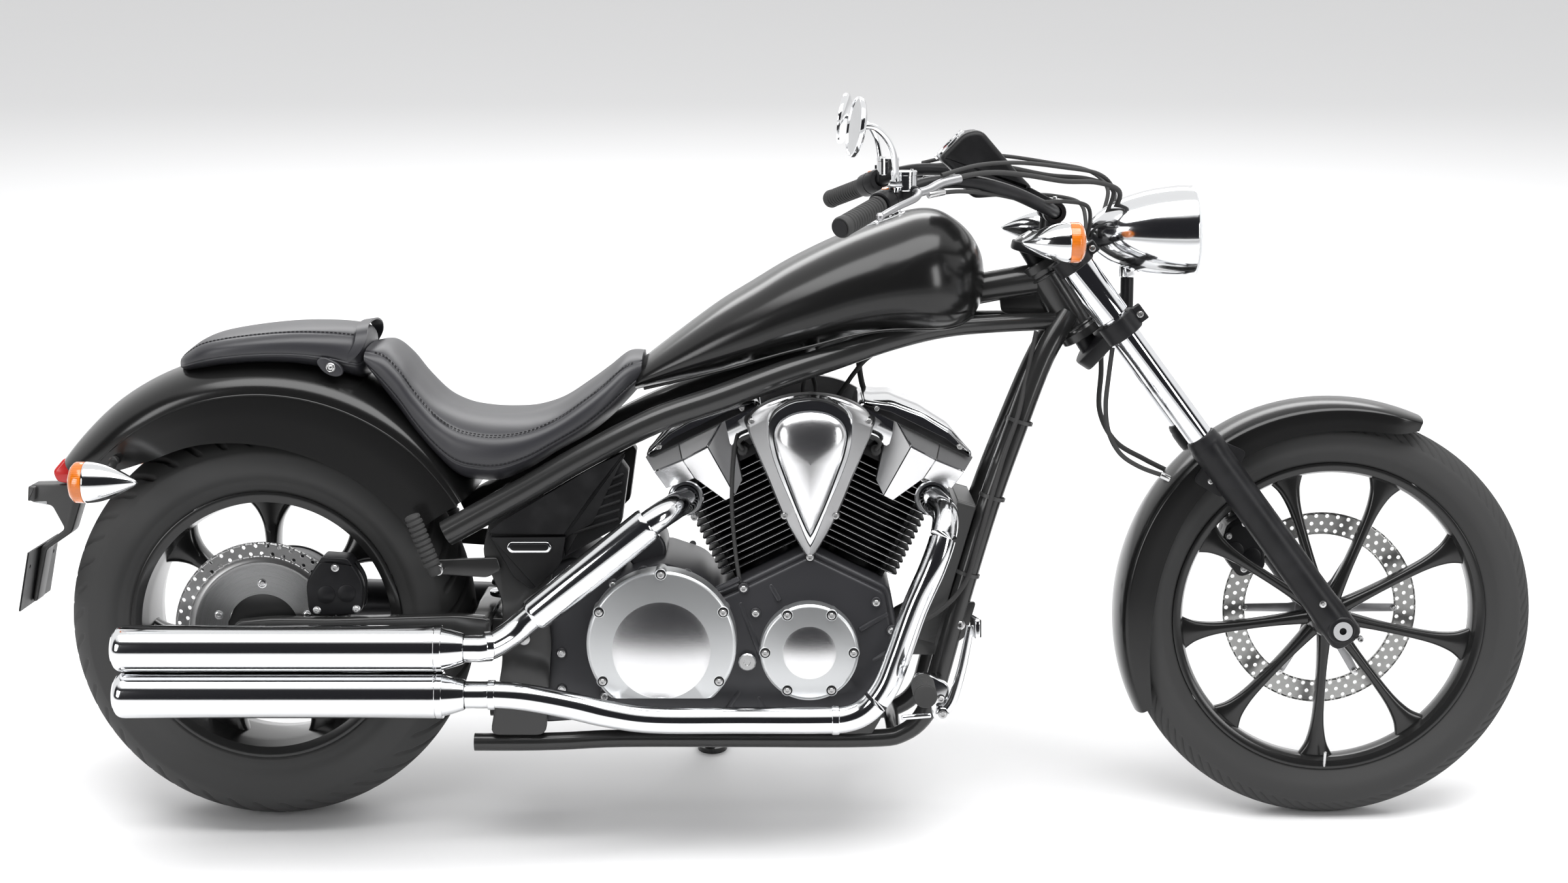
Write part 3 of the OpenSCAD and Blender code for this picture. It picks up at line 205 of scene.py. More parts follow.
def oval(x, w, z1, z2, n, power):
    """Rounded section at x: w c |c|^(p-1) across, mid + half s |s|^(p-1) up, c, s on a circle."""
    a = (np.arange(n) + 0.5) * 2 * np.pi / n
    c, s = np.cos(a), np.sin(a)
    x, w, z1, z2, power = (np.asarray(q, float)[..., None] for q in (x, w, z1, z2, power))
    across = w * np.sign(c) * np.abs(c) ** power
    up = (z1 + z2) / 2 + (z2 - z1) / 2 * np.sign(s) * np.abs(s) ** power
    return np.stack([np.broadcast_to(x, across.shape), across, up], -1)


def mirrored(grid):
    """The same points on the machine's other side."""
    return np.asarray(grid, float) * [1, -1, 1]


class Form:
    """One mesh grown from grids of points on the upright machine."""

    def __init__(self):
        self.points, self.faces, self.slots, self.count = [], [], [], 0

    def _add(self, faces, slot):
        self.faces.append(faces)
        self.slots.append(np.full(len(faces), slot))

    def grid(self, pts, slot=0, wrap=True, caps=True, turn=False, band=None):
        """Quads between neighbouring rows and columns; wrap joins each row's ends, turn joins
        the last row to the first, caps closes the first and last rows. band is (row, slot): that
        row of quads takes another slot."""
        pts = np.asarray(pts, float)
        m, n = pts.shape[:2]
        ids = np.arange(m * n).reshape(m, n) + self.count
        rows = np.vstack([ids, ids[:1]]) if turn else ids
        cols = np.hstack([rows, rows[:, :1]]) if wrap else rows
        self._add(np.stack([cols[:-1, :-1], cols[1:, :-1], cols[1:, 1:], cols[:-1, 1:]],
                           -1).reshape(-1, 4), slot)
        if band:
            self.slots[-1][band[0] * n:(band[0] + 1) * n] = band[1]
        if caps and wrap and not turn:
            self._add(ids[:1], slot)
            self._add(ids[-1:, ::-1], slot)
        self.points.append(pts.reshape(-1, 3))
        self.count += m * n
        return self

    def grids(self, g, slot=0, caps=False):
        """Many grids of one size at once: g[k] is the k-th, each of its rows a closed loop."""
        ids = np.arange(g[..., 0].size).reshape(g.shape[:3]) + self.count
        on = np.roll(ids, -1, axis=2)
        self._add(np.stack([ids[:, :-1], ids[:, 1:], on[:, 1:], on[:, :-1]], -1).reshape(-1, 4),
                  slot)
        if caps:
            self._add(ids[:, 0], slot)
            self._add(ids[:, -1, ::-1], slot)
        self.points.append(g.reshape(-1, 3))
        self.count += ids.size

    def both(self, pts, slot=0, **how):
        """The grid and its mirror image on the other side."""
        return self.grid(pts, slot, **how).grid(mirrored(pts), slot, **how)

    def rod(self, a, b, r, slot=0, sides=20, edge=1.0, r2=None):
        """Straight round bar from a to b with rounded rims."""
        length = np.linalg.norm(np.subtract(b, a))
        r2 = r if r2 is None else r2
        edge = min(edge, length / 3, r, r2)
        q = np.radians([90, 60, 30, 0])
        profile = [(0, 0)] + [(r - edge * (1 - math.cos(x)), edge * (1 - math.sin(x))) for x in q]
        profile += [(r2 - edge * (1 - math.cos(x)), length - edge * (1 - math.sin(x)))
                    for x in q[::-1]] + [(0, length)]
        return self.grid(lathe(a, np.subtract(b, a), profile, sides), slot, caps=False)

    def bolts(self, centres, axis, r, h, slot=0):
        """Socket bolt on each centre: a washer, a head and a hole, eight-sided turnings."""
        profile = [(r * 1.35, 0), (r * 1.35, h * 0.22), (r, h * 0.26), (r, h * 0.9),
                   (r * 0.88, h), (r * 0.52, h), (r * 0.45, h * 0.5), (0, h * 0.5)]
        head = lathe((0, 0, 0), axis, profile, 12)
        for c in np.atleast_2d(centres):
            self.grid(head + c, slot)
        return self

    def facet(self, corners, back, slot=0):
        """Flat face through corners (x, y, z) with a 1 mm bevel and walls down to y = back."""
        p = np.asarray(corners, float)
        base = p * [1, 0, 1] + [0, back, 0]
        inner = p + unit(p.mean(0) - p)
        inward = np.sign(back - p[:, 1:2].mean())
        return self.grid(np.stack([base, p + inward * Y, inner]), slot)

    def sheet(self, pts, t, out, slot=0):
        """Open grid given thickness t: its points and the same moved by -t out, sewn at the rim."""
        pts = np.asarray(pts, float)
        back = pts - t * np.asarray(out, float)
        ring = np.concatenate([pts, back[:, ::-1]], axis=1)
        return self.grid(ring, slot, wrap=True, caps=False)._close_ends(pts, back, slot)

    def _close_ends(self, pts, back, slot):
        for e in (0, -1):
            self.grid(np.stack([pts[e], back[e]]), slot, wrap=False, caps=False)
        return self


def make(name, form, body, finishes, hides=(), sharp=32):
    """Puts a form's points and faces into a mesh, merged, facing outwards and shaded smooth."""
    mesh = bpy.data.meshes.new(name)
    points = place(np.vstack(form.points)).astype(np.float32)
    loops = np.concatenate([f.ravel() for f in form.faces]).astype(np.int32)
    sizes = np.concatenate([np.full(len(f), f.shape[1]) for f in form.faces])
    mesh.vertices.add(len(points))
    mesh.vertices.foreach_set("co", points.ravel())
    mesh.loops.add(len(loops))
    mesh.loops.foreach_set("vertex_index", loops)
    mesh.polygons.add(len(sizes))
    mesh.polygons.foreach_set("loop_start", (np.cumsum(sizes) - sizes).astype(np.int32))
    mesh.polygons.foreach_set("material_index", np.concatenate(form.slots).astype(np.int32))
    mesh.update(calc_edges=True)
    mesh.validate()
    bm = bmesh.new()
    bm.from_mesh(mesh)
    bmesh.ops.remove_doubles(bm, verts=bm.verts, dist=2e-6)
    bmesh.ops.dissolve_degenerate(bm, edges=bm.edges, dist=1e-6)
    bmesh.ops.recalc_face_normals(bm, faces=bm.faces)
    bm.to_mesh(mesh)
    bm.free()
    mesh.polygons.foreach_set("use_smooth", np.ones(len(mesh.polygons), bool))
    mesh.set_sharp_from_angle(angle=math.radians(sharp))
    for f in finishes:
        mesh.materials.append(finish(f))
    piece = bpy.data.objects.new(name, mesh)
    bpy.context.scene.collection.objects.link(piece)
    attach(piece, body)
    if hides:
        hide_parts(*hides)
    return piece


# ---- Finishes --------------------------------------------------------------

class Value:
    """A number inside a finish. Adding, multiplying and the rest put a Math node after it."""

    def __init__(self, paint, socket):
        self.paint, self.socket = paint, socket

    def _op(self, operation, *others):
        ins = {i: v for i, v in enumerate(others)}
        return self.paint.node("ShaderNodeMath", {"operation": operation}, ins)

    def __add__(self, o):
        return self._op("ADD", self, o)

    def __rsub__(self, o):
        return self._op("SUBTRACT", o, self)

    def __mul__(self, o):
        return self._op("MULTIPLY", self, o)

    def __pow__(self, o):
        return self._op("POWER", self, o)

    def sine(self):
        return self._op("SINE", self)

    def above(self, edge, soft=0.1):
        """0 under the edge and 1 over it, with a soft step between."""
        return self.paint.node("ShaderNodeMapRange", {"interpolation_type": "SMOOTHSTEP"},
                               {0: self, 1: edge - soft, 2: edge + soft})

    __radd__, __rmul__ = __add__, __mul__


class Paint:
    """A material built of nodes round one Principled shader, which holds the constants."""

    def __init__(self, name, **constants):
        self.material = bpy.data.materials.new(name)
        self.material.use_nodes = True
        self.tree = self.material.node_tree
        self.shader = self.tree.nodes["Principled BSDF"]
        for key, value in constants.items():
            socket = self.shader.inputs[key.replace("_", " ").title().replace("Ior", "IOR")]
            socket.default_value = (*value, 1) if isinstance(value, tuple) else value

    def node(self, kind, settings, inputs, out=0):
        """New node with its settings; inputs are numbers or other nodes' Values."""
        n = self.tree.nodes.new(kind)
        for key, value in settings.items():
            setattr(n, key, value)
        for key, value in inputs.items():
            socket = n.inputs[key]
            if isinstance(value, Value):
                self.tree.links.new(value.socket, socket)
            else:
                socket.default_value = value
        return Value(self, n.outputs[out])

    def coords(self, scale=(1, 1, 1), at=(0, 0, 0)):
        """Object coordinates, moved by -at and stretched."""
        obj = self.node("ShaderNodeTexCoord", {}, {}, "Object")
        moved = self.node("ShaderNodeVectorMath", {"operation": "SUBTRACT"}, {0: obj, 1: at})
        return self.node("ShaderNodeVectorMath", {"operation": "MULTIPLY"}, {0: moved, 1: scale})

    def noise(self, scale, detail=3, stretch=(1, 1, 1)):
        return self.node("ShaderNodeTexNoise", {},
                         {"Vector": self.coords(stretch), "Scale": scale, "Detail": detail})

    def cells(self, scale, feature="F1"):
        return self.node("ShaderNodeTexVoronoi", {"feature": feature},
                         {"Vector": self.coords(), "Scale": scale})

    def from_axis(self, centre):
        """Distance in metres from the line across the machine through centre."""
        v = self.coords(at=tuple(place(centre)))
        parts = [self.node("ShaderNodeVectorMath", {"operation": "DOT_PRODUCT"},
                           {0: v, 1: tuple(d)}, "Value") for d in (ALONG, UPRIGHT)]
        return (parts[0] * parts[0] + parts[1] * parts[1]) ** 0.5

    def set(self, socket, value):
        """Feeds a Value into one of the shader's sockets."""
        self.tree.links.new(value.socket, self.shader.inputs[socket])

    def blend(self, factor, low, high):
        """Colour low where factor is 0 and high where it is 1."""
        self.set("Base Color", self.node("ShaderNodeMix", {"data_type": "RGBA"},
                                         {0: factor, 6: (*low, 1), 7: (*high, 1)}, 2))

    def bump(self, height, depth, strength=1.0):
        self.set("Normal", self.node("ShaderNodeBump", {},
                                     {"Strength": strength, "Distance": depth, "Height": height}))


def lacquer(name, colour, rough, orange_peel=0.00002):
    """Deep paint under clear coat: a faint ripple and soft patches of tone and roughness."""
    p = Paint(name, coat_weight=1.0, coat_roughness=0.03, roughness=rough, specular_ior_level=0.5)
    haze = p.noise(9.0, 4)
    p.blend(haze.above(0.55, 0.25), colour, tuple(c * 1.5 + 0.0006 for c in colour))
    p.set("Roughness", haze * 0.06 + rough)
    p.bump(p.noise(420.0, 1), orange_peel)
    return p


def powder_coat(name, colour, rough, grain=1500.0, depth=0.00008):
    """Baked powder: pebbled at under a millimetre, duller where it is rubbed."""
    p = Paint(name, specular_ior_level=0.22)
    wear = p.noise(22.0, 5)
    p.blend(wear.above(0.6, 0.2), colour, tuple(c * 1.7 + 0.002 for c in colour))
    p.set("Roughness", wear * 0.16 + rough)
    p.bump(p.noise(grain, 2), depth)
    return p


def bright_metal(name, colour, rough, smudge=0.05):
    """Polished or plated metal: mirror with faint wiped smudges and soft waviness."""
    p = Paint(name, metallic=1.0, base_color=colour)
    wiped = p.noise(14.0, 6, (1, 1, 3))
    p.blend(wiped.above(0.6, 0.2), colour, tuple(c * 0.94 for c in colour))
    p.set("Roughness", wiped.above(0.58, 0.18) * smudge + rough)
    p.bump(p.noise(60.0, 2), 0.00002)
    return p


def brushed_metal(name, colour, rough, grain=(3, 3, 220)):
    """Metal brushed one way: fine noise drawn out along the strokes in tone and roughness."""
    p = Paint(name, metallic=1.0)
    strokes = p.noise(60.0, 5, grain)
    p.blend(strokes, tuple(c * 0.82 for c in colour), colour)
    p.set("Roughness", strokes * 0.14 + rough)
    p.bump(strokes, 0.00003)
    return p


def turned_steel(name, colour, centre):
    """Ground disc steel: fine rings of tone and roughness, by the distance from its axle."""
    p = Paint(name, metallic=1.0)
    r = p.from_axis(centre)
    rings = p.node("ShaderNodeTexNoise", {"noise_dimensions": "1D"},
                   {"W": r, "Scale": 2600.0, "Detail": 3})
    p.blend(rings, tuple(c * 0.7 for c in colour), tuple(min(c * 1.25, 1) for c in colour))
    p.set("Roughness", rings * 0.2 + 0.2)
    p.bump(rings, 0.00004)
    return p


def rubber(name, colour, rough, grain=900.0, depth=0.0001):
    """Black rubber: matt, greyed in patches by dust, finely pitted."""
    p = Paint(name, specular_ior_level=0.16)
    dust = p.noise(16.0, 6)
    p.blend(dust.above(0.58, 0.22), colour, tuple(c * 1.5 + 0.002 for c in colour))
    p.set("Roughness", dust * 0.18 + rough)
    p.bump(p.noise(grain, 3), depth)
    return p


def seat_leather(name, colour):
    """Grained leather: cells of a millimetre or two with creases between, sheen in the light."""
    p = Paint(name, sheen_weight=0.03, sheen_roughness=0.45, specular_ior_level=0.25)
    cells = p.cells(520.0, "DISTANCE_TO_EDGE")
    grain = cells.above(0.16, 0.15)
    rub = p.noise(11.0, 5)
    p.blend(rub.above(0.56, 0.2) * grain, colour, tuple(c * 1.8 + 0.004 for c in colour))
    p.set("Roughness", rub * 0.14 + (1 - grain) * 0.12 + 0.34)
    p.bump(grain * 0.7 + p.noise(1400.0, 2) * 0.3, 0.00022, 0.7)
    return p


def lamp_plastic(name, colour, clear=0.35, ribs=420.0):
    """Moulded lamp lens: part clear, with prisms a few millimetres apart behind its face."""
    p = Paint(name, transmission_weight=clear, ior=1.49, coat_weight=0.6)
    v = p.coords((0, 0, 1))
    height = p.node("ShaderNodeSeparateXYZ", {}, {0: v}, "Z")
    wave = (height * ribs * 2 * math.pi).sine() * 0.5 + 0.5
    p.blend(wave, tuple(c * 0.8 for c in colour), colour)
    p.set("Roughness", p.noise(40.0, 3) * 0.08 + 0.06)
    p.bump(wave, 0.0002, 0.5)
    return p


def cast_metal(name, colour):
    """Blasted bare alloy: a metal with a fine cast grain and dull patches."""
    p = Paint(name, metallic=1.0)
    patch = p.noise(30.0, 5)
    p.blend(patch, tuple(c * 0.75 for c in colour), colour)
    p.set("Roughness", patch * 0.2 + 0.3)
    p.bump(p.noise(1600.0, 2), 0.00006)
    return p


# How each finish is made: its function, its colour or the setting that holds it, and the rest
RECIPES = {
    "body_black": (lacquer, "paint", 0.12),
    "frame_black": (powder_coat, (0.008, 0.008, 0.009), 0.22, 900.0, 0.00004),
    "wheel_black": (powder_coat, (0.007, 0.007, 0.0075), 0.24, 700.0, 0.00004),
    "fork_black": (powder_coat, (0.008, 0.008, 0.009), 0.3, 900.0, 0.00005),
    "engine_black": (powder_coat, (0.007, 0.007, 0.0075), 0.42),
    "fin_black": (powder_coat, (0.008, 0.008, 0.0085), 0.38, 1100.0, 0.0001),
    "black_plastic": (powder_coat, (0.008, 0.008, 0.0085), 0.4, 1700.0),
    "satin_black": (powder_coat, (0.006, 0.006, 0.0065), 0.3, 1300.0),
    "chrome": (bright_metal, "chrome", 0.03),
    "fork_chrome": (bright_metal, (0.8, 0.81, 0.83), 0.05, 0.03),
    "satin_metal": (brushed_metal, (0.84, 0.84, 0.85), 0.22),
    "cover_polish": (brushed_metal, (0.82, 0.82, 0.83), 0.15, (2, 2, 150)),
    "cast_alloy": (cast_metal, (0.42, 0.42, 0.43)),
    "bolt_zinc": (bright_metal, (0.6, 0.6, 0.6), 0.22, 0.12),
    "front_disc_steel": (turned_steel, (0.46, 0.46, 0.45), FRONT_AXLE),
    "rear_disc_steel": (turned_steel, (0.27, 0.27, 0.27), REAR_AXLE),
    "tyre_rubber": (rubber, (0.006, 0.0058, 0.006), 0.5),
    "soft_rubber": (rubber, (0.012, 0.012, 0.012), 0.5, 1500.0, 0.00006),
    "seat_leather": (seat_leather, "leather"),
    "seam_thread": (rubber, (0.02, 0.02, 0.021), 0.7, 3000.0),
    "amber_lens": (lamp_plastic, (0.95, 0.24, 0.015)),
    "red_lens": (lamp_plastic, (0.22, 0.004, 0.006)),
    "clear_lens": (lamp_plastic, (0.93, 0.95, 0.97), 0.9, 160.0),
    "mirror_glass": (bright_metal, (0.9, 0.91, 0.92), 0.01, 0.01),
    "dial_face": (rubber, (0.01, 0.01, 0.011), 0.45),
    "dial_marks": (rubber, (0.75, 0.76, 0.74), 0.5),
    "fin_edge": (bright_metal, (0.62, 0.62, 0.63), 0.2, 0.1),
    # Darker copy of the brushed metal: the teardrop shields, and painted shade on the head covers'
    # dark facets
    "brushed_shield": (brushed_metal, (0.42, 0.42, 0.425), 0.3),
    "inner_pipe": (rubber, (0.01, 0.01, 0.01), 0.8),
}


def finish(name):
    """The material of that name, made from its recipe the first time it is asked for."""
    made = bpy.data.materials.get(name)
    if made:
        return made
    recipe, colour, *rest = RECIPES[name]
    if isinstance(colour, str):
        colour = tuple(getattr(LOOKS, colour))
    return recipe(name, colour, *rest).material


def coat_node(node, name):
    """Gives a packed node's object the finish of that name."""
    obj = frame["nodes"][node]
    obj.data.materials.clear()
    obj.data.materials.append(finish(name))


# ---- Sizes a user may change ---------------------------------------------------

class ChopperLooks(bpy.types.PropertyGroup):
    """Colours of the machine and its studio"""

    paint: FloatVectorProperty(
        name="Body paint", description="Colour of the tank and the fenders", subtype="COLOR",
        min=0, max=1, default=(0.0035, 0.0035, 0.004))
    chrome: FloatVectorProperty(
        name="Chrome", description="Tone of the plated parts", subtype="COLOR",
        min=0, max=1, default=(0.83, 0.84, 0.86))
    leather: FloatVectorProperty(
        name="Seat leather", description="Colour of both seats", subtype="COLOR",
        min=0, max=1, default=(0.010, 0.010, 0.0105))
    floor: FloatVectorProperty(
        name="Floor", description="Tone of the floor and the room", subtype="COLOR",
        min=0, max=1, default=(0.86, 0.86, 0.865))


class ChopperSizes(bpy.types.PropertyGroup):
    """Facet counts, bolts, stitches and the camera's lens"""

    tube_sides: IntProperty(
        name="Tube sides", description="Facets round a frame tube or a pipe", min=8, max=64,
        default=28)
    turn_sides: IntProperty(
        name="Turning sides", description="Facets round a wheel", min=24, max=256, default=144)
    bolt_head: FloatProperty(
        name="Bolt head radius", description="Radius of the engine's cover bolts, in mm",
        min=2, max=8, default=4.6)
    stitch: FloatProperty(
        name="Stitch length", description="Length of a stitch on the seat seams, in mm",
        min=3, max=12, default=7)
    lens_mm: FloatProperty(
        name="Camera lens", description="Focal length of the camera", unit="CAMERA", min=20,
        max=200, default=58.3)


LOOKS = SIZES = None  # the scene's two property groups, set by each operator as it runs


# ---- Frame -----------------------------------------------------------------

RAIL = [(312, 512, 1, 1), (435, 580, 1, 1), (549, 645, 1, 1), (660, 701, 1, 1), (765, 738, 1, 1),
        (873, 778, 0.98, 1), (960, 806, 0.9, 0.95), (1050, 832, 0.73, 0.85),
        (1140, 848, 0.5, 0.75), (1230, 853, 0.3, 0.7), (1345, 856, 0.14, 0.68)]
CRADLE = [(1352, 868, 20), (1308, 796, 41), (1260, 675, 64), (1215, 550, 80), (1170, 400, 92),
          (1133, 262, 95), (1112, 198, 95), (1075, 163, 95), (1015, 153, 95), (800, 153, 95),
          (600, 153, 95), (500, 153, 112), (430, 153, 118), (352, 153, 118)]
BACKBONE = [(925, 0, 812), (1000, 0, 848), (1100, 0, 884), (1200, 0, 908), (1318, 0, 928)]
HEAD_LOW, HEAD_HIGH = steer_at(828), steer_at(955)


def build_upper_frame():
    """Seat rails as tubes on a smooth curve, the backbone, the steering head and end plates."""
    f, n = Form(), SIZES.tube_sides
    s = spline(RAIL, 5)
    path = np.stack([s[:, 0], 130 * s[:, 2], s[:, 1]], 1)
    f.both(rounded_tube(path, 22 * s[:, 3], n, edge=3))
    f.grid(rounded_tube(spline(BACKBONE, 5), 26, n))
    k = unit(HEAD_HIGH - HEAD_LOW)
    length = np.linalg.norm(HEAD_HIGH - HEAD_LOW)
    f.grid(lathe(HEAD_LOW, k, [(18, 0), (35, 0), (36, 1.5), (36, 14), (34, 17), (32.5, 24),
                               (32.5, length - 24), (34, length - 17), (36, length - 14),
                               (36, length - 1.5), (35, length), (18, length)], 48), turn=True)
    f.rod((925, -113, 790), (925, 113, 790), 15)
    f.rod((395, -134, 548), (395, 134, 548), 13)
    plate = soften([(388, 548), (470, 594), (505, 505), (478, 400), (486, 330), (474, 169),
                    (380, 169), (402, 290), (404, 400), (372, 480)], 16)
    f.both(prism(plate, 122, 136, 2.5))
    # Gussets behind the head and weld beads round the tube joints
    f.grid(prism(soften([(1236, 900), (1330, 930), (1352, 880), (1330, 858), (1240, 866)], 12),
                 -4, 4, 1.5))
    for at, r in ((HEAD_LOW + 22 * k, 35.2), (HEAD_HIGH - 26 * k, 35.2)):
        f.grid(lathe(at, k, [(r - 4, -4), (r, -2), (r + 1, 0), (r, 2), (r - 4, 4)], 48), caps=False)
    make("upper_frame_tubes", f, "chassis", ["frame_black"], ["upper_frame"])


def build_cradle():
    """Downtubes and lower rails on one curve each side, cross tubes, and the stand's lug."""
    f, n = Form(), SIZES.tube_sides
    s = spline(CRADLE, 5)
    path = np.stack([s[:, 0], s[:, 2], s[:, 1]], 1)
    fat = np.clip((path[:, 2] - 153) / 80, 0, 1)
    f.both(rounded_tube(path, 15 + 4 * fat, n, edge=3))
    cross_tubes = [(1170, 90, 400, 9), (1262, 62, 680, 10), (1060, 92, 160, 13),
                   (400, 115, 153, 13)]
    for x, y, z, r in cross_tubes:
        f.rod((x, -y, z), (x, y, z), r)
    for y in (1, -1):
        f.rod((1128, 95 * y, 262), (1128, 120 * y, 262), 9)
    tilt = math.radians(42)
    d, p = np.array([0, math.cos(tilt), math.sin(tilt)]), np.array([690.0, 131, 146])
    f.rod(p - 30 * d, p - 11.3 * d, 17, edge=2)
    f.rod(p - 20 * d, p + 19 * d, 6)
    f.rod(p + 11.3 * d, p + 20 * d, 11.5, edge=2)
    # Engine hangers: bolted plates from the downtubes to the crankcase
    hanger = soften([(1178, 330), (1196, 392), (1150, 384), (1062, 336), (1066, 300),
                     (1130, 300)], 9)
    f.both(prism(hanger, 98, 104, 1.5))
    f.both(prism(soften([(1020, 160), (1050, 214), (992, 214), (968, 160)], 8), 99, 105, 1.5))
    for y in (-1, 1):
        f.bolts([(1082, 104 * y, 318), (1168, 104 * y, 352), (1012, 105 * y, 200)], (0, y, 0), 7, 7,
                1)
    make("cradle_tubes", f, "chassis", ["frame_black", "bolt_zinc"], ["cradle"])


# ---- Bodywork --------------------------------------------------------------

TANK = [(604, 735, 764, 0.42), (640, 744, 795, 0.56), (700, 757, 841, 0.68), (763, 771, 887, 0.78),
        (820, 786, 922, 0.85), (873, 800, 954, 0.9), (930, 814, 983, 0.95),
        (985, 828, 1007, 0.98), (1040, 836, 1027, 1), (1090, 836, 1042, 0.99),
        (1128, 836, 1042, 0.92), (1160, 842, 1026, 0.78), (1186, 858, 1002, 0.58),
        (1203, 884, 972, 0.32), (1209, 910, 945, 0.12)]


def tank_sections(rows, n):
    """Sections of the tank: w c |c|^-0.2 across, less up to a fifth below the middle, and
    |s|^0.9 up or |s|^0.75 down from 0.42 of its height, with c and s on a circle."""
    x, low, high, w = rows.T
    a = (np.arange(n) + 0.5) * 2 * np.pi / n
    c, s = np.cos(a), np.sin(a)
    across = np.sign(c) * np.abs(c) ** 0.8
    up = np.sign(s) * np.abs(s) ** np.where(s > 0, 0.9, 0.75)
    mid = low + (high - low) * 0.42
    z = np.where(up > 0, mid[:, None] + (high - mid)[:, None] * up,
                 mid[:, None] + (mid - low)[:, None] * up)
    tuck = 1 - 0.2 * np.clip(-up, 0, 1) ** 2
    y = 166 * w[:, None] * across * tuck
    return np.stack([np.broadcast_to(x[:, None], y.shape), y, z], -1)


def build_tank():
    """Teardrop tank lofted through rounded sections, its nose closed over; filler cap and seam."""
    f = Form()
    rows = spline(TANK, 7)
    f.grid(tank_sections(rows, 72))
    # Seam flange under the shell, following the sections at their lowest third
    s = spline(TANK[1:-2], 6)
    lip = np.stack([s[:, 0], 166 * s[:, 3] * 0.885, s[:, 1] + (s[:, 2] - s[:, 1]) * 0.085], 1)
    f.both(rounded_tube(lip, 2.6, 10, edge=1), 0)
    # Filler cap on the crown
    cap, up = np.array([1040.0, 0, 1023.5]), np.array([-0.33, 0, 0.944])
    f.grid(lathe(cap - 6 * up, up, [(0, 0), (41, 0), (41, 8), (39.5, 9.5), (34, 10), (33, 9),
                                    (33, 13), (31, 16), (22, 18.5), (0, 19.5)], 64), 1, caps=False)
    key = cap + 13.2 * up + np.array([-6.0, 0, -2.1])
    f.grid(lathe(key, up, [(0, 0), (7, 0), (7, 1.6), (5.6, 2.2), (2.2, 2.2), (2, 1), (0, 1)], 24),
           2, caps=False)
    make("fuel_tank_shell", f, "chassis", ["body_black", "chrome", "bolt_zinc"], ["fuel_tank"])


def fender_side(crown, shoulder, edge, w, roll=0.0):
    """Half-hoop across a fender: w sin a across, shoulder + (crown - shoulder) cos a out from
    the axle, then straight down to the edge, where it turns in by roll."""
    a = np.radians(np.linspace(-90, 90, 33))
    y = np.concatenate([[-w + roll], [-w, -w], w * np.sin(a), [w, w], [w - roll]])
    r = np.concatenate([[edge + 1], [edge, (edge + shoulder) / 2],
                        shoulder + (crown - shoulder) * np.cos(a),
                        [(edge + shoulder) / 2, edge], [edge + 1]])
    return y, r


def fender_form(f, centre, stations, half_w, t, steps):
    """Fender shell swept round the wheel between angle stations, thickness t inwards."""
    rings = []
    for angle, crown, shoulder, edge, w in spline(stations, steps):
        a = math.radians(angle)
        y, r = fender_side(crown, shoulder, edge, w * half_w, 3.0)
        y2, r2 = fender_side(crown - t, shoulder - t / 2, edge + 2, w * half_w - t, 0.0)
        ys, rs = np.concatenate([y, y2[::-1]]), np.concatenate([r, r2[::-1]])
        rings.append(centre + np.stack([rs * math.cos(a), ys, rs * math.sin(a)], 1))
    rings = np.stack(rings)
    f.grid(rings, caps=False)
    h = rings.shape[1] // 2
    for e in (0, -1):
        f.grid(np.stack([rings[e, :h], rings[e, :h - 1:-1]]), wrap=False, caps=False)


REAR_FENDER = [(33, 424, 396, 304, 1), (50, 440, 400, 302, 1), (70, 454, 402, 305, 1),
               (90, 458, 402, 315, 1), (108, 457, 400, 329, 0.98), (122, 453, 396, 338, 0.92),
               (133, 447, 394, 362, 0.8), (141, 444, 408, 400, 0.62)]
FRONT_FENDER = [(67, 376, 366, 352, 0.8), (74, 376, 362, 334, 1), (90, 377, 358, 326, 1),
                (115, 378, 356, 322, 1), (140, 373, 352, 312, 1), (160, 368, 348, 304, 1),
                (180, 366, 346, 306, 1), (197, 366, 348, 322, 0.95), (207, 366, 352, 338, 0.85)]


def build_rear_fender():
    """Deep rear fender with a rolled edge and a raised crease along each side."""
    f = Form()
    fender_form(f, REAR_AXLE, REAR_FENDER, 128, 4, 9)
    s = spline(REAR_FENDER[:-1], 8)
    a = np.radians(s[:, 0])
    crease = REAR_AXLE + np.stack([(s[:, 2] - 4) * np.cos(a), s[:, 4] * 127.6,
                                   (s[:, 2] - 4) * np.sin(a)], 1)
    f.both(rounded_tube(crease, np.linspace(1.4, 2.2, len(crease)), 10, edge=1))
    make("rear_fender_shell", f, "chassis", ["body_black"], ["rear_fender"])


def build_front_fender():
    """Narrow front fender hugging the tyre, its brackets and their bolts."""
    f = Form()
    fender_form(f, FRONT_AXLE, FRONT_FENDER, 64, 4, 9)
    for y in (1, -1):
        a, b = leg_at(330, 63.9 * y), leg_at(330, 75.7 * y)
        f.rod(a - (8, 0, 0), b - (8, 0, 0), 9)
    rim = soften([(1610, 560), (1650, 640), (1604, 660), (1560, 590)], 10)
    f.both(prism(rim, 64, 67.5, 1), 1)
    for y in (-1, 1):
        f.bolts([(1590, 67.5 * y, 590), (1612, 67.5 * y, 634)], (0, y, 0), 4, 4, 2)
    make("front_fender_shell", f, "steering", ["body_black", "fork_black", "bolt_zinc"],
         ["front_fender"])


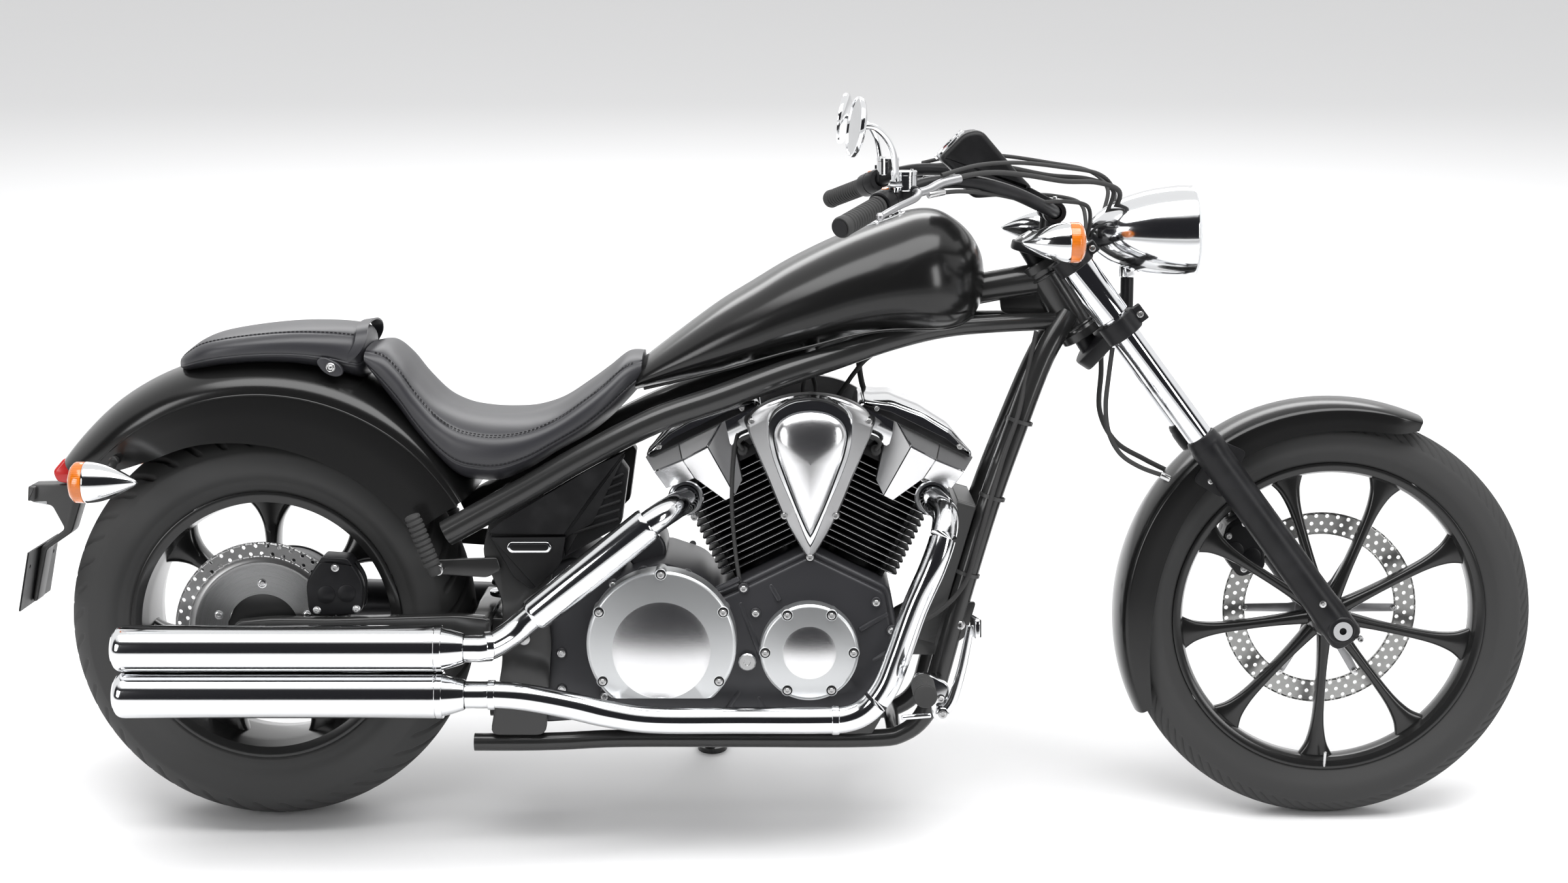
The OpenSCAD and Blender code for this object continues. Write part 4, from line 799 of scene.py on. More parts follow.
def build_side_covers():
    """Faceted side cover on the frame plate: an upper plane that looks up, a lower one that looks
    down, louvres in its corner and a bare badge."""
    f = Form()
    rim = soften([(384, 512), (440, 549), (556, 617), (612, 648), (556, 530), (512, 508),
                  (500, 456), (456, 418), (424, 440)], 5)
    f.both(prism(rim, 136.3, 142, 2), 0)
    upper = [(384, 147, 516), (408, 142.5, 536), (556, 142.5, 624), (610, 142.5, 650),
             (560, 148, 586), (510, 152.5, 514), (400, 152.5, 515)]
    lower = [(388, 149.5, 509), (512, 152, 510), (506, 149, 470), (492, 146, 450), (460, 143, 424)]
    for s in (1, -1):
        f.facet(np.array(upper) * [1, s, 1], 137 * s, 0)
        f.facet(np.array(lower) * [1, s, 1], 137 * s, 0)
        corner = soften([(600, 640), (616, 618), (604, 532), (592, 520), (510, 474), (507, 506)], 3)
        f.grid(prism(corner, 96 * s, 138 * s, 2), 0)
        for k in range(6):
            x, z = 524 + 13 * k, 515 + 18 * k
            f.rod((x, 139 * s, z), (600 + 1.6 * k, 139 * s, z + 24 - 3 * k), 3, 0, 8, 1)
    badge = soften([(420, 484), (484, 484), (490, 493), (484, 502), (420, 502), (414, 493)], 4)
    f.both(prism(badge, 150, 155, 1.2), 1)
    field = soften([(424, 487.5), (481, 487.5), (485, 493), (481, 498.5), (424, 498.5),
                    (419, 493)], 3)
    f.both(prism(field, 154.8, 155.6, 0.3), 2)
    make("side_cover_panels", f, "chassis", ["satin_black", "chrome", "satin_black"],
         ["side_covers"])


# ---- Seats -----------------------------------------------------------------

RIDER = [(178, 784, 818, 104), (209, 736, 822, 112), (236, 700, 802, 118), (263, 662, 768, 124),
         (296, 626, 734, 134), (330, 598, 716, 146), (365, 590, 708, 154), (405, 592, 705, 158),
         (450, 612, 707, 156), (495, 640, 721, 150), (540, 664, 750, 140), (576, 690, 776, 126),
         (609, 722, 801, 106), (636, 752, 803, 82)]
PILLION = [(-136, 776, 800, 60), (-122, 774, 812, 84), (-96, 778, 829, 102), (-60, 784, 839, 112),
           (0, 788, 848, 116), (60, 786, 853, 114), (115, 776, 853, 108), (152, 764, 850, 98),
           (168, 762, 845, 86), (175, 776, 838, 70)]


def seat_rows(rows, steps, n, power, seams, depth):
    """Sections of a pad with sewn grooves: the radius falls by depth exp(-(d/3)2) at d mm from a
    seam, which sits at an angle round the section."""
    x, low, high, w = spline(rows, steps).T
    g = oval(x, w, low, high, n, power)
    a = (np.arange(n) + 0.5) * 2 * np.pi / n
    centre = np.stack([x, 0 * x, (low + high) / 2], 1)[:, None]
    away = unit(g - centre)
    for seam in seams:
        at = np.asarray(seam(np.linspace(0, 1, len(x))))[:, None]
        for side in (at, np.pi - at):
            d = (a[None] - side) * (w[:, None] * 0.8)
            g = g - away * (depth * np.exp(-(d / 3.2) ** 2))[..., None]
    return g


def seam_line(g, at, lift):
    """Path along a seam: each section's own point at angle at, lifted off the leather."""
    m, n = g.shape[:2]
    k = (np.asarray(at) / (2 * np.pi) * n - 0.5) % n
    i = np.floor(k).astype(int)
    t = (k - i)[:, None]
    rows = np.arange(m)
    p = g[rows, i] * (1 - t) + g[rows, (i + 1) % n] * t
    return p + lift * unit(p - g.mean(axis=1))


def stitches(f, path, length, slot):
    """Short threads laid along a path at even distances, each a thin four-sided spindle."""
    run = np.concatenate([[0], np.cumsum(np.linalg.norm(np.diff(path, axis=0), axis=1))])
    s = np.arange(length, run[-1] - length, length)
    at = np.stack([np.interp(s, run, path[:, i]) for i in range(3)], 1)
    on = np.stack([np.interp(s + 1, run, path[:, i]) for i in range(3)], 1)
    t = unit(on - at)
    u, v = side_frame(t, (0, 1, 0))
    h = length * 0.34
    rings = np.array([(-h, 0.2), (-h * 0.6, 0.75), (h * 0.6, 0.75), (h, 0.2)])
    a = np.arange(4) * np.pi / 2
    g = (at[:, None, None] + rings[None, :, 0, None, None] * t[:, None, None]
         + rings[None, :, 1, None, None] * (np.cos(a)[None, None, :, None] * u[:, None, None]
                                            + np.sin(a)[None, None, :, None] * v[:, None, None]))
    f.grids(g, slot, caps=True)


def build_rider_seat():
    """Sunken solo seat: padded sections with one seam round the dish and one along the skirt,
    welted and stitched."""
    f = Form()
    upper = lambda t: np.radians(34 - 10 * np.sin(np.pi * t))
    skirt = lambda t: np.radians(np.full_like(t, -16))
    g = seat_rows(RIDER, 9, 120, 0.8, [upper, skirt], 2.6)
    top = np.clip((g[..., 2] - g[..., 2].mean(axis=1, keepdims=True)) / 60, 0, 1)
    across = np.abs(g[..., 1]) / 150
    g[..., 2] -= 7 * top * np.exp(-(across / 0.42) ** 2) * np.sin(
        np.pi * np.linspace(0, 1, len(g)))[:, None] ** 2
    f.grid(g)
    t = np.linspace(0, 1, len(g))
    for way, lift, welted in ((skirt, 0.4, True), (upper, 0.2, False)):
        sides = (way(t), np.pi - way(t))
        for q in sides:
            p = seam_line(g, q, lift)[4:-4]
            if welted:
                f.grid(rounded_tube(p, 2.1, 10, edge=1), 0)
            else:
                stitches(f, spline(p, 3), SIZES.stitch, 1)
        for q in sides:
            p = seam_line(g, q + np.where(np.cos(q) > 0, 1, -1) * 0.055, 0.3)[4:-4]
            stitches(f, spline(p, 3), SIZES.stitch, 1)
    seat = make("rider_seat_leather", f, "chassis", ["seat_leather", "seam_thread"],
                ["rider_seat"], sharp=60)


def build_passenger_seat():
    """Wedge-shaped rear pad on its base, with a piped seam and a bolted strap end."""
    f = Form()
    low = lambda t: np.radians(np.full_like(t, -14))
    up = lambda t: np.radians(np.full_like(t, 40))
    g = seat_rows(PILLION, 10, 104, 0.75, [low, up], 2.2)
    f.grid(g)
    t = np.linspace(0, 1, len(g))
    for q in (low(t), np.pi - low(t)):
        f.grid(rounded_tube(seam_line(g, q, 0.5)[3:-3], 2.2, 10, edge=1), 0)
    for q in (up(t), np.pi - up(t)):
        stitches(f, spline(seam_line(g, q + np.where(np.cos(q) > 0, 0.05, -0.05), 0.3)[4:-4], 3),
                 SIZES.stitch, 1)
    strap = soften([(98, 798), (112, 806), (140, 792), (146, 776), (132, 770), (112, 778)], 10)
    f.both(prism(strap, 100, 112.5, 2.2), 0)
    knob = [(0, -2), (8.5, -2), (8.5, 1.4), (7, 2.4), (6.2, 1.2), (4.6, 1.2), (4.2, 2.6), (2, 3.4),
            (0, 3.4)]
    for y in (-1, 1):
        f.grid(lathe((124, 112.5 * y, 787), (0, y, 0), knob, 24), 2, caps=False)
    # The strap runs up from its bolt and over the join between the seats
    rise = spline([(140, 97, 790), (158, 99, 806), (170, 95, 826), (172, 84, 842), (170, 62, 851),
                   (169, 32, 855), (169, 0, 856)], 6)
    w = 12.0
    band = np.stack([rise + k * np.array([0.8, 0, 0.12]) * w for k in (-1, -0.6, 0, 0.6, 1)], 1)
    out = unit(np.stack([np.zeros(len(rise)), rise[:, 1] / 90,
                         np.clip((rise[:, 2] - 790) / 60, 0.05, 1)], 1))[:, None]
    f.sheet(band, 3, np.broadcast_to(out, band.shape), 0)
    f.sheet(mirrored(band), 3, mirrored(np.broadcast_to(out, band.shape)), 0)
    pad = make("passenger_seat_leather", f, "chassis", ["seat_leather", "seam_thread", "bolt_zinc"],
               ["passenger_seat"], sharp=60)


# ---- Engine ----------------------------------------------------------------

def build_crankcase():
    """Cast case: body, joint flange, feet, ribs that fan down from the cylinders, and bolted
    bosses round its rim."""
    f = Form()
    front, rear = bank_point(1, 76, DECK), bank_point(-1, 76, DECK)
    peak = CRANK[2] + DECK / math.cos(V_HALF)
    rim = soften([(566, 200), (558, 380), (598, 440), (671, 464), (735, 442), (760, 414),
                  (rear[0], rear[2]), (915, peak), (front[0], front[2]), (1066, 330), (1046, 250),
                  (1010, 200), (980, 186), (640, 186)], 14)
    f.grid(prism(rim, -138, 118, 8))
    f.grid(prism(inset(rim, 10), CASE_RIGHT, CASE_LEFT, 6))
    f.grid(prism(inset(rim, 3), -4, 4, 1.5))
    for y in (1, -1):
        for x in (660, 940):
            f.grid(prism(soften([(x, 168.5), (x + 60, 168.5), (x + 54, 199), (x + 6, 199)], 5),
                         85 * y, 105 * y, 2))
    ribs = [((800, 400), (838, 300)), ((850, 430), (866, 402)), ((1046, 380), (998, 352)),
            ((1020, 300), (1052, 318)), ((800, 250), (770, 205)), ((830, 240), (850, 196)),
            ((590, 420), (560, 330)), ((760, 420), (800, 440))]
    for (x1, z1), (x2, z2) in ribs:
        f.rod((x1, -146, z1), (x2, -150, z2), 5, sides=10, edge=3)
    bosses = [(575, 300), (574, 240), (600, 205), (760, 205), (812, 206), (590, 430), (640, 452),
              (712, 446), (806, 424), (826, 382), (1026, 400), (1052, 352), (1040, 270), (985, 200)]
    for x, z in bosses:
        f.rod((x, -140, z), (x, -153, z), 9, sides=16, edge=2)
    f.bolts([(x, -153, z) for x, z in bosses], (0, -1, 0), SIZES.bolt_head, 5, 1)
    f.bolts([(x, 130, z) for x, z in bosses], (0, 1, 0), SIZES.bolt_head, 5, 1)
    # Oil plug, and the starter behind the cylinders
    f.grid(lathe((812, CASE_RIGHT, 300), (0, -1, 0), [(0, 0), (15, 0), (15, 9), (13, 11), (6, 11),
                                                      (5, 8), (0, 8)], 12), 1, caps=False)
    f.rod((640, -60, 470), (640, 70, 470), 34, sides=32, edge=6)
    f.rod((640, 40, 470), (640, 92, 470), 28, sides=32, edge=4)
    make("crankcase_casting", f, "chassis", ["engine_black", "bolt_zinc"], ["crankcase"])


def bank_ring(side, d, u0, u1, w, corner, n=7):
    """Round-cornered rectangle across a cylinder at distance d from the crank."""
    flat = soften([(u0, -w), (u1, -w), (u1, w), (u0, w)], corner, n)
    s, c = math.sin(V_HALF), math.cos(V_HALF)
    return np.stack([CRANK[0] + side * (d * s + flat[:, 0] * c), flat[:, 1],
                     CRANK[2] + d * c - flat[:, 0] * s], 1)


def bank_slab(side, d0, d1, u0, u1, w, corner, edge):
    """Slab between two such rings with its rims rounded by edge."""
    q = np.radians([0, 45, 90])
    rows = [(d0 + edge * (1 - math.cos(a)), edge * (1 - math.sin(a))) for a in q]
    rows += [(d1 - edge * (1 - math.cos(a)), edge * (1 - math.sin(a))) for a in q[::-1]]
    return np.stack([bank_ring(side, d, u0 + i, u1 - i, w - i, corner) for d, i in rows])


def build_cylinders():
    """Two finned barrels: thin fins with a bright edge round a core, the head joint, studs,
    exhaust bosses and plug caps."""
    f = Form()
    fins = 14
    pitch = (JOINT - DECK - 15) / fins
    for side in (-1, 1):
        axis = unit(bank_point(side, 0, 200) - bank_point(side, 0, 100))
        f.grid(lathe(bank_point(side, 0, 150), axis, [(0, 0), (66, 0), (66, 176), (0, 176)], 48),
               caps=False)
        for i in range(fins):
            d = DECK + 12 + i * pitch
            inner = min(86, d * math.tan(V_HALF) - 2)
            f.grid(bank_slab(side, d, d + 3.4, -inner, 86, 85, 26, 1.2), band=(2, 3))
        f.grid(bank_slab(side, JOINT, JOINT + 26, -86, 86, 86, 18, 2))
        for u in (-60, 60):
            for y in (-70, 70):
                f.rod(bank_point(side, u, DECK, y), bank_point(side, u, JOINT + 1, y), 5, 0, 12)
        # Exhaust boss with its two-stud flange
        x, _, z = bank_point(side, 78, 310)
        f.rod((x, -50, z), (x, -86, z), 25, 0, 32, 1)
        f.bolts([(x - 14, -88, z + 33), (x + 14, -88, z - 33)], (0, -1, 0), 5, 8, 1)
        # Spark plug and its cap on the right of each head
        cap = bank_point(side, -42, 338, -86)
        f.rod(cap, cap + np.array([0, -22, 6]), 9, 2, 16, 3)
    make("cylinder_barrels", f, "chassis", ["fin_black", "bolt_zinc", "soft_rubber", "fin_edge"],
         ["cylinders"])



def bank_flat(side, rim):
    """Outline given as (outward, distance) on a cylinder, as side-view x, z."""
    rim = np.asarray(rim, float)
    s, c = math.sin(V_HALF), math.cos(V_HALF)
    out = np.stack([CRANK[0] + side * (rim[:, 1] * s + rim[:, 0] * c),
                    CRANK[2] + rim[:, 1] * c - rim[:, 0] * s], 1)
    return out[::int(side)]


# Facets of a head cover as (outward, distance up the cylinder, depth) corners, and their finish:
# slot 3 the bright brushed metal, slot 4 a darker copy of it, painted shade on the facets that read
# dark
HEAD_FACETS = [
    ([(107, 402, 101), (104, 376, 109), (54, 373, 109), (46, 406, 100)], 4),
    ([(45, 406, 100), (53, 373, 109), (7, 375, 111), (-39, 406, 101)], 4),
    ([(104, 374, 109), (99, 340, 102), (50, 335, 102), (53, 371, 109)], 3),
    ([(52, 371, 109), (49, 335, 103), (19, 278, 101), (2, 279, 104), (6, 373, 111)], 3),
    ([(5, 373, 111), (1, 280, 104), (-20, 296, 96), (-43, 381, 95), (-40, 404, 99)], 4),
]


def build_head_covers():
    """Head covers: a pressed shell, a bright top rail with two grooves and a faceted tooth whose
    planes tip up, down and inwards."""
    f = Form()
    for side in (-1, 1):
        box = soften([(-105, 402), (-57, 428), (0, 433), (54, 428), (106, 406), (100, 352),
                      (-98, 352)], 7)
        f.grid(prism(bank_flat(side, box), -99, 99, 9), 0)
        crown = soften([(-100, 408), (-54, 424), (0, 429), (52, 424), (103, 408), (98, 402),
                        (-96, 402)], 5)
        f.grid(prism(bank_flat(side, crown), -109, 109, 5), 0)
        lip = soften([(-96, 403), (-50, 412), (50, 412), (100, 403), (100, 400), (-96, 400)], 1.5)
        f.grid(prism(bank_flat(side, lip), -110, 110, 1), 1)
        for y in (-1, 1):
            tooth = soften([(-99, 400), (-99, 344), (-56, 343), (-44, 375), (-22, 297), (1, 280),
                            (18, 279), (50, 336), (98, 341), (104, 398)], 3)
            f.grid(prism(bank_flat(side, tooth), 87 * y, 96 * y, 2), 1)
            # Facets in slot 4 take the darker brushed metal, painted shade; those in slot 3 the
            # bright one
            for corners, slot in HEAD_FACETS:
                u, d, depth = np.array(corners, float).T
                flat = bank_flat(side, np.stack([u, d], 1))
                f.facet(np.insert(flat, 1, y * depth[::int(side)], axis=1), 90 * y, slot)
            pins = [bank_point(side, u, d, 109 * y) for u, d in ((-74, 406), (78, 409))]
            f.bolts(pins, (0, y, 0), 4, 3, 2)
    make("head_cover_chrome", f, "chassis",
         ["chrome", "satin_black", "bolt_zinc", "cover_polish", "brushed_shield"], ["head_covers"])


# Half outlines of the teardrop cover from its top down, as (half width, height)
SHIELD = [(0, 748), (40, 743), (76, 730), (97, 713), (103, 690), (87, 649), (71, 610), (44, 544),
          (12, 486), (0, 470)]
RIM_DROP = [(0, 747), (24, 744), (44, 736), (62, 722), (70, 700), (67, 664), (53, 620), (30, 566),
            (9, 514), (0, 497)]
CORE_DROP = [(0, 727), (19, 725), (37, 719), (53, 707), (61, 686), (56, 654), (45, 622), (27, 574),
             (8, 530), (0, 516)]


def drop_ring(half, y, scale=1.0, centre=640):
    """Closed outline from a half one: a smooth curve, mirrored, scaled about its centre."""
    p = spline(half, 8)
    p[:, 0] = np.maximum(p[:, 0], 0)
    loop = np.vstack([p, (p[1:-1] * [-1, 1])[::-1]])
    return np.stack([CRANK[0] + 1 + loop[:, 0] * scale, np.full(len(loop), y),
                     centre + (loop[:, 1] - centre) * scale], 1)


def build_teardrops():
    """Teardrop covers between the cylinders: a brushed shield, a bright rolled rim on it and a
    domed drop inside the rim, its rise following a quarter ellipse."""
    f = Form()
    foot = 117
    for s, reach in ((-1, 212), (1, 180)):
        def deep(d):
            return s * (foot + d * (reach - foot))

        f.grid(np.stack([drop_ring(SHIELD, deep(0)), drop_ring(SHIELD, deep(0.3)),
                         drop_ring(SHIELD, deep(0.34), 0.99), drop_ring(SHIELD, deep(0.37), 0.96),
                         drop_ring(RIM_DROP, deep(0.42), 1.015)]), 2, caps=False)
        rim = [(RIM_DROP, 0.42, 1.015), (RIM_DROP, 0.5, 1.0), (RIM_DROP, 0.66, 0.998),
               (RIM_DROP, 0.74, 0.985), (RIM_DROP, 0.79, 0.955), (CORE_DROP, 0.8, 1.0),
               (CORE_DROP, 0.74, 0.985)]
        f.grid(np.stack([drop_ring(o, deep(d), k) for o, d, k in rim]), 0, caps=False)
        scale = np.array([0.985, 0.97, 0.93, 0.86, 0.76, 0.62, 0.46, 0.3, 0.15, 0.01])
        rise = 0.74 + 0.26 * np.sqrt(np.clip(1 - (scale / 0.985) ** 2, 0, 1))
        f.grid(np.stack([drop_ring(CORE_DROP, deep(d), k) for d, k in zip(rise, scale)]), 3,
               caps=False)
        back = np.stack([drop_ring(SHIELD, deep(0), k) for k in (0.01, 1.0)])
        f.grid(back, 2, caps=False)
        pins = [(820, 703), (1012, 703), (874, 546), (958, 546), (916, 476)]
        for x, z in pins:
            f.rod((x, deep(0.1), z), (x, deep(0.36), z), 8, 4, 20, 2)
        f.bolts([(x, deep(0.35), z) for x, z in pins], (0, s, 0), 4.6, 5, 1)
    make("teardrop_shells", f, "chassis",
         ["chrome", "bolt_zinc", "brushed_shield", "cover_polish", "satin_black"],
         ["teardrop_covers"])


def cut_low(grid, z_low):
    """Points lower than z_low brought up to it, which leaves a flat foot on a round cover."""
    g = np.array(grid)
    g[..., 2] = np.maximum(g[..., 2], z_low)
    return g


CLUTCH_BOLTS = [(671, 455), (569, 392), (773, 392), (574, 276), (766, 276)]
CRANK_BOLTS = [(CRANK[0] + 73 * math.cos(a), CRANK[2] + 73 * math.sin(a))
               for a in (k * math.pi / 3 for k in range(6))]
# Covers as (centre, radius, height, disc's centre height, disc radius, foot, dome's rise, bolts)
RIGHT_COVERS = [(CLUTCH, 124, 44, 327.5, 79.6, 247, 8.6, CLUTCH_BOLTS),
                (CRANK, 82, 32, 321, 42.6, 0, 4, CRANK_BOLTS)]


def build_covers():
    """Round engine covers: brushed rims with bolt bosses, polished centre discs, and the left
    side's two covers."""
    f = Form()
    for centre, r, h, disc_z, disc_r, low, rise, bolts in RIGHT_COVERS:
        x, z = centre[0], centre[2]
        rim = [(0, 0), (r, 0), (r, h - 11), (r - 1, h - 4), (r - 4, h - 1), (r - 7, h), (0, h)]
        f.grid(cut_low(lathe((x, CASE_RIGHT, z), (0, -1, 0), rim, 120), low), 0, caps=False)
        # Domed disc in the cover: its face rises as 1 - (1 - u)^2, u from its rim inwards
        t = np.linspace(0, 1, 12)
        dome = [(disc_r + 1.6, h - 1), (disc_r + 1.6, h + 0.2), (disc_r, h + 0.3)]
        dome += [(disc_r * (1 - u), h + 0.3 + rise * (1 - (1 - u) ** 2)) for u in t[1:]]
        f.grid(cut_low(lathe((x, CASE_RIGHT, disc_z), (0, -1, 0), dome, 120), low + 0.4), 1,
               caps=False)
        spots = np.array([(px, CASE_RIGHT, pz) for px, pz in bolts], float)
        for p in spots:
            f.rod(p, p + [0, -h - 0.5, 0], 10.4, 0, 24, 2.5)
            f.rod(p - [0, h - 2, 0], p - [0, h + 1, 0], 8.4, 3, 24, 0.4)
        f.bolts(spots - [0, h + 0.8, 0], (0, -1, 0), SIZES.bolt_head, 4.4, 2)
    make("right_engine_covers", f, "chassis",
         ["satin_metal", "cover_polish", "bolt_zinc", "satin_black"], ["right_covers"])
    f = Form()
    for c, r, h, in_r in (((915, CASE_LEFT, 321), 98, 42, 60), ((690, CASE_LEFT, 340), 86, 35, 50)):
        prof = [(0, 0), (r, 0), (r, h - 16), (r - 3, h - 7), (r - 12, h - 2), (in_r + 4, h - 1),
                (in_r + 2, h - 4), (in_r, h - 4), (in_r - 3, h - 1), (in_r - 12, h), (0, h)]
        f.grid(lathe(c, (0, 1, 0), prof, 96), 0, caps=False)
        a = np.radians(15 + 45 * np.arange(8))
        p = np.stack([c[0] + (r - 9) * np.cos(a), np.full(8, float(CASE_LEFT)),
                      c[2] + (r - 9) * np.sin(a)], 1)
        for q in p:
            f.rod(q, q + (0, h - 3, 0), 8, 0, 18, 2)
        f.bolts(p + (0, h - 4, 0), (0, 1, 0), SIZES.bolt_head, 5, 1)
    make("left_engine_covers", f, "chassis", ["satin_metal", "bolt_zinc"], ["left_covers"])


def build_intake():
    """Air box between the heads and its two banded stubs."""
    f = Form()
    box = soften([(872, 633), (958, 633), (958, 717), (872, 717)], 14)
    f.grid(prism(box, -116, 116, 5))
    for side in (-1, 1):
        a, b = bank_point(side, -86.3, 338), bank_point(side, -131, 338)
        f.rod(a, b, 13, 0, 24, 3)
        mid = (a + b) / 2
        f.grid(lathe(mid, b - a, [(13, -5), (15, -4), (15, 4), (13, 5)], 24), 1, turn=True)
    make("intake_box", f, "chassis", ["black_plastic", "bolt_zinc"], ["intake"])


def build_radiator():
    """Radiator core in its frame: thin upright fins and flat tubes across them."""
    f = Form()
    slope = math.atan((1215 - 1133) / (550 - 262))
    x_dir = np.array([math.cos(slope), 0, -math.sin(slope)])
    z_dir = np.array([math.sin(slope), 0, math.cos(slope)])
    at = np.array([1179.8, 0, 428]) - 37.3 * x_dir

    def slab(x0, x1, y0, y1, z0, z1, r=3, slot=0):
        flat = soften([(y0, z0), (y1, z0), (y1, z1), (y0, z1)], r)
        bevel = 1.2
        rows = [(x, inset(flat, d)) for x, d in ((x0, bevel), (x0 + bevel, 0), (x1 - bevel, 0),
                                                 (x1, bevel))]
        f.grid(np.stack([at + (16 + x) * x_dir + q[:, :1] * Y + q[:, 1:] * z_dir
                         for x, q in rows]), slot)

    slab(-32, 0, -104, -90, -125, 125, 6)
    slab(-32, 0, 90, 104, -125, 125, 6)
    slab(-32, 0, -90, 90, 112, 125)
    slab(-32, 0, -90, 90, -125, -112)
    slab(-26, -6, -90, 90, -112, 112, 1, 1)
    for y in np.arange(-86, 87, 6.1):
        slab(-30, -3, y - 0.35, y + 0.35, -112, 112, 0.2, 1)
    for z in np.arange(-104, 105, 13):
        slab(-31, -28.5, -90, 90, z - 0.9, z + 0.9, 0.3, 1)
    make("radiator_core", f, "chassis", ["black_plastic", "engine_black"], ["radiator"])


# ---- Exhaust -----------------------------------------------------------------

PORT = bank_point(1, 78, 310)
PIPE_R, PORT_Y, SILENCER_Y = 22, -86.3, -255
COLLAR = [(24, 0), (29, 0), (30, 2), (30, 8), (28, 10), (23, 10)]
FRONT_PIPE = [(PORT[0], PORT_Y, PORT[2]), (PORT[0], -100, PORT[2]), (PORT[0], -114, PORT[2]),
              (PORT[0] + 5, -134, PORT[2] - 3), (1138, -164, 550), (1134, -192, 520),
              (1116, -208, 470), (1087, -210, 402), (1061, -210, 326), (1040, -210, 271),
              (1012, -210, 234), (978, -210, 217), (930, -210, 214), (800, -210, 214),
              (660, -212, 215), (584, -216, 226), (520, -228, 244), (450, -246, 262),
              (405, -255, 268.4), (385, -255, 268.4), (356, -255, 268.4)]
REAR_X = 2 * CRANK[0] - PORT[0]
REAR_PIPE = [(REAR_X, PORT_Y, PORT[2]), (REAR_X, -100, PORT[2]), (REAR_X, -114, PORT[2]),
             (REAR_X - 3, -136, PORT[2]), (688, -180, 562), (655, -208, 543), (600, -215, 500),
             (528, -215, 441), (460, -216, 388), (430, -224, 364), (402, -243, 349),
             (385, -253, 345), (372, -255, 345), (356, -255, 345)]


def clamp(f, at, way, r):
    """Band clamp round a pipe."""
    f.grid(lathe(at, way, [(r - 3, -6), (r, -6), (r + 0.8, -5), (r + 0.8, 5), (r, 6), (r - 3, 6)],
                 40), 0, turn=True)


def build_exhausts():
    """Header pipes swept on smooth curves with port collars and clamps, the half shell over the
    rear one, and the two silencers as hollow turnings."""
    f = Form()
    n = SIZES.tube_sides + 12
    f.grid(tube(spline(FRONT_PIPE, 6), PIPE_R, n, (0.3, 0.1, 1)))
    f.grid(lathe((PORT[0], PORT_Y, PORT[2]), (0, -1, 0), COLLAR, 40), 0, turn=True)
    clamp(f, (958, -210, 214.4), (1, 0, 0), 23.4)
    clamp(f, (398, -254.5, 268), (-1, 0, 0), 23.6)
    make("front_header", f, "chassis", ["chrome", "bolt_zinc"], ["front_exhaust"])
    f = Form()
    f.grid(tube(spline(REAR_PIPE, 6), PIPE_R, n, (0.6, 0.1, -1)))
    f.grid(lathe((REAR_X, PORT_Y, PORT[2]), (0, -1, 0), COLLAR, 40), 0, turn=True)
    # Shell over the straight run: half a cylinder with rolled edges and two strap clamps
    a, b = np.array([655.0, -215, 545]), np.array([463.0, -215, 390])
    way = unit(b - a)
    t = np.radians(np.linspace(176, 364, 33))[None, :, None]
    s = np.array([0, 0.012, 0.03, 0.97, 0.988, 1])[:, None, None]
    r = np.array([26.5, 28.4, 29, 29, 28.4, 26.5])[:, None, None]
    side = np.cross(way, (0, 1, 0))
    pts = a + (b - a) * s + r * (np.sin(t) * Y + np.cos(t) * side)
    out = unit(pts - (a + (b - a) * s))
    f.sheet(pts, 2.2, out, 0)
    for k in (0.22, 0.8):
        clamp(f, a + (b - a) * k, way, 25.6)
    clamp(f, (392, -249, 347), (-1, -0.35, 0), 23.6)
    make("rear_header", f, "chassis", ["chrome", "bolt_zinc"], ["rear_exhaust"])
    f = Form()
    for z in (345, 268.4):
        prof = [(22.6, 147), (24.2, 146), (24.2, -2), (27, 0), (30, 1.2), (34, 4), (36.6, 8),
                (37.6, 12), (38, 18), (38, 60), (38, 505), (38, 517), (37.6, 519.5), (36, 528),
                (31, 548), (26.4, 562), (24.4, 567), (22.6, 568)]
        end = (-213, SILENCER_Y, z)
        rows = [(r, -h) for r, h in prof]
        f.grid(lathe(end, (-1, 0, 0), rows, 96, (0, 1, 0)), 0, caps=False)
        f.grid(lathe(end, (-1, 0, 0), [(24.1, -1), (23.3, -3), (23.3, -140), (0, -141)], 64,
                     (0, 1, 0)), 1, caps=False)
        clamp(f, (314, SILENCER_Y, z), (1, 0, 0), 37.6)
    hanger = soften([(40, 300), (70, 300), (70, 318), (40, 318)], 4)
    f.grid(prism(hanger, -222, -150, 1), 2)
    make("silencer_pair", f, "chassis", ["chrome", "inner_pipe", "frame_black"], ["silencers"])


# ---- Rear end ------------------------------------------------------------------

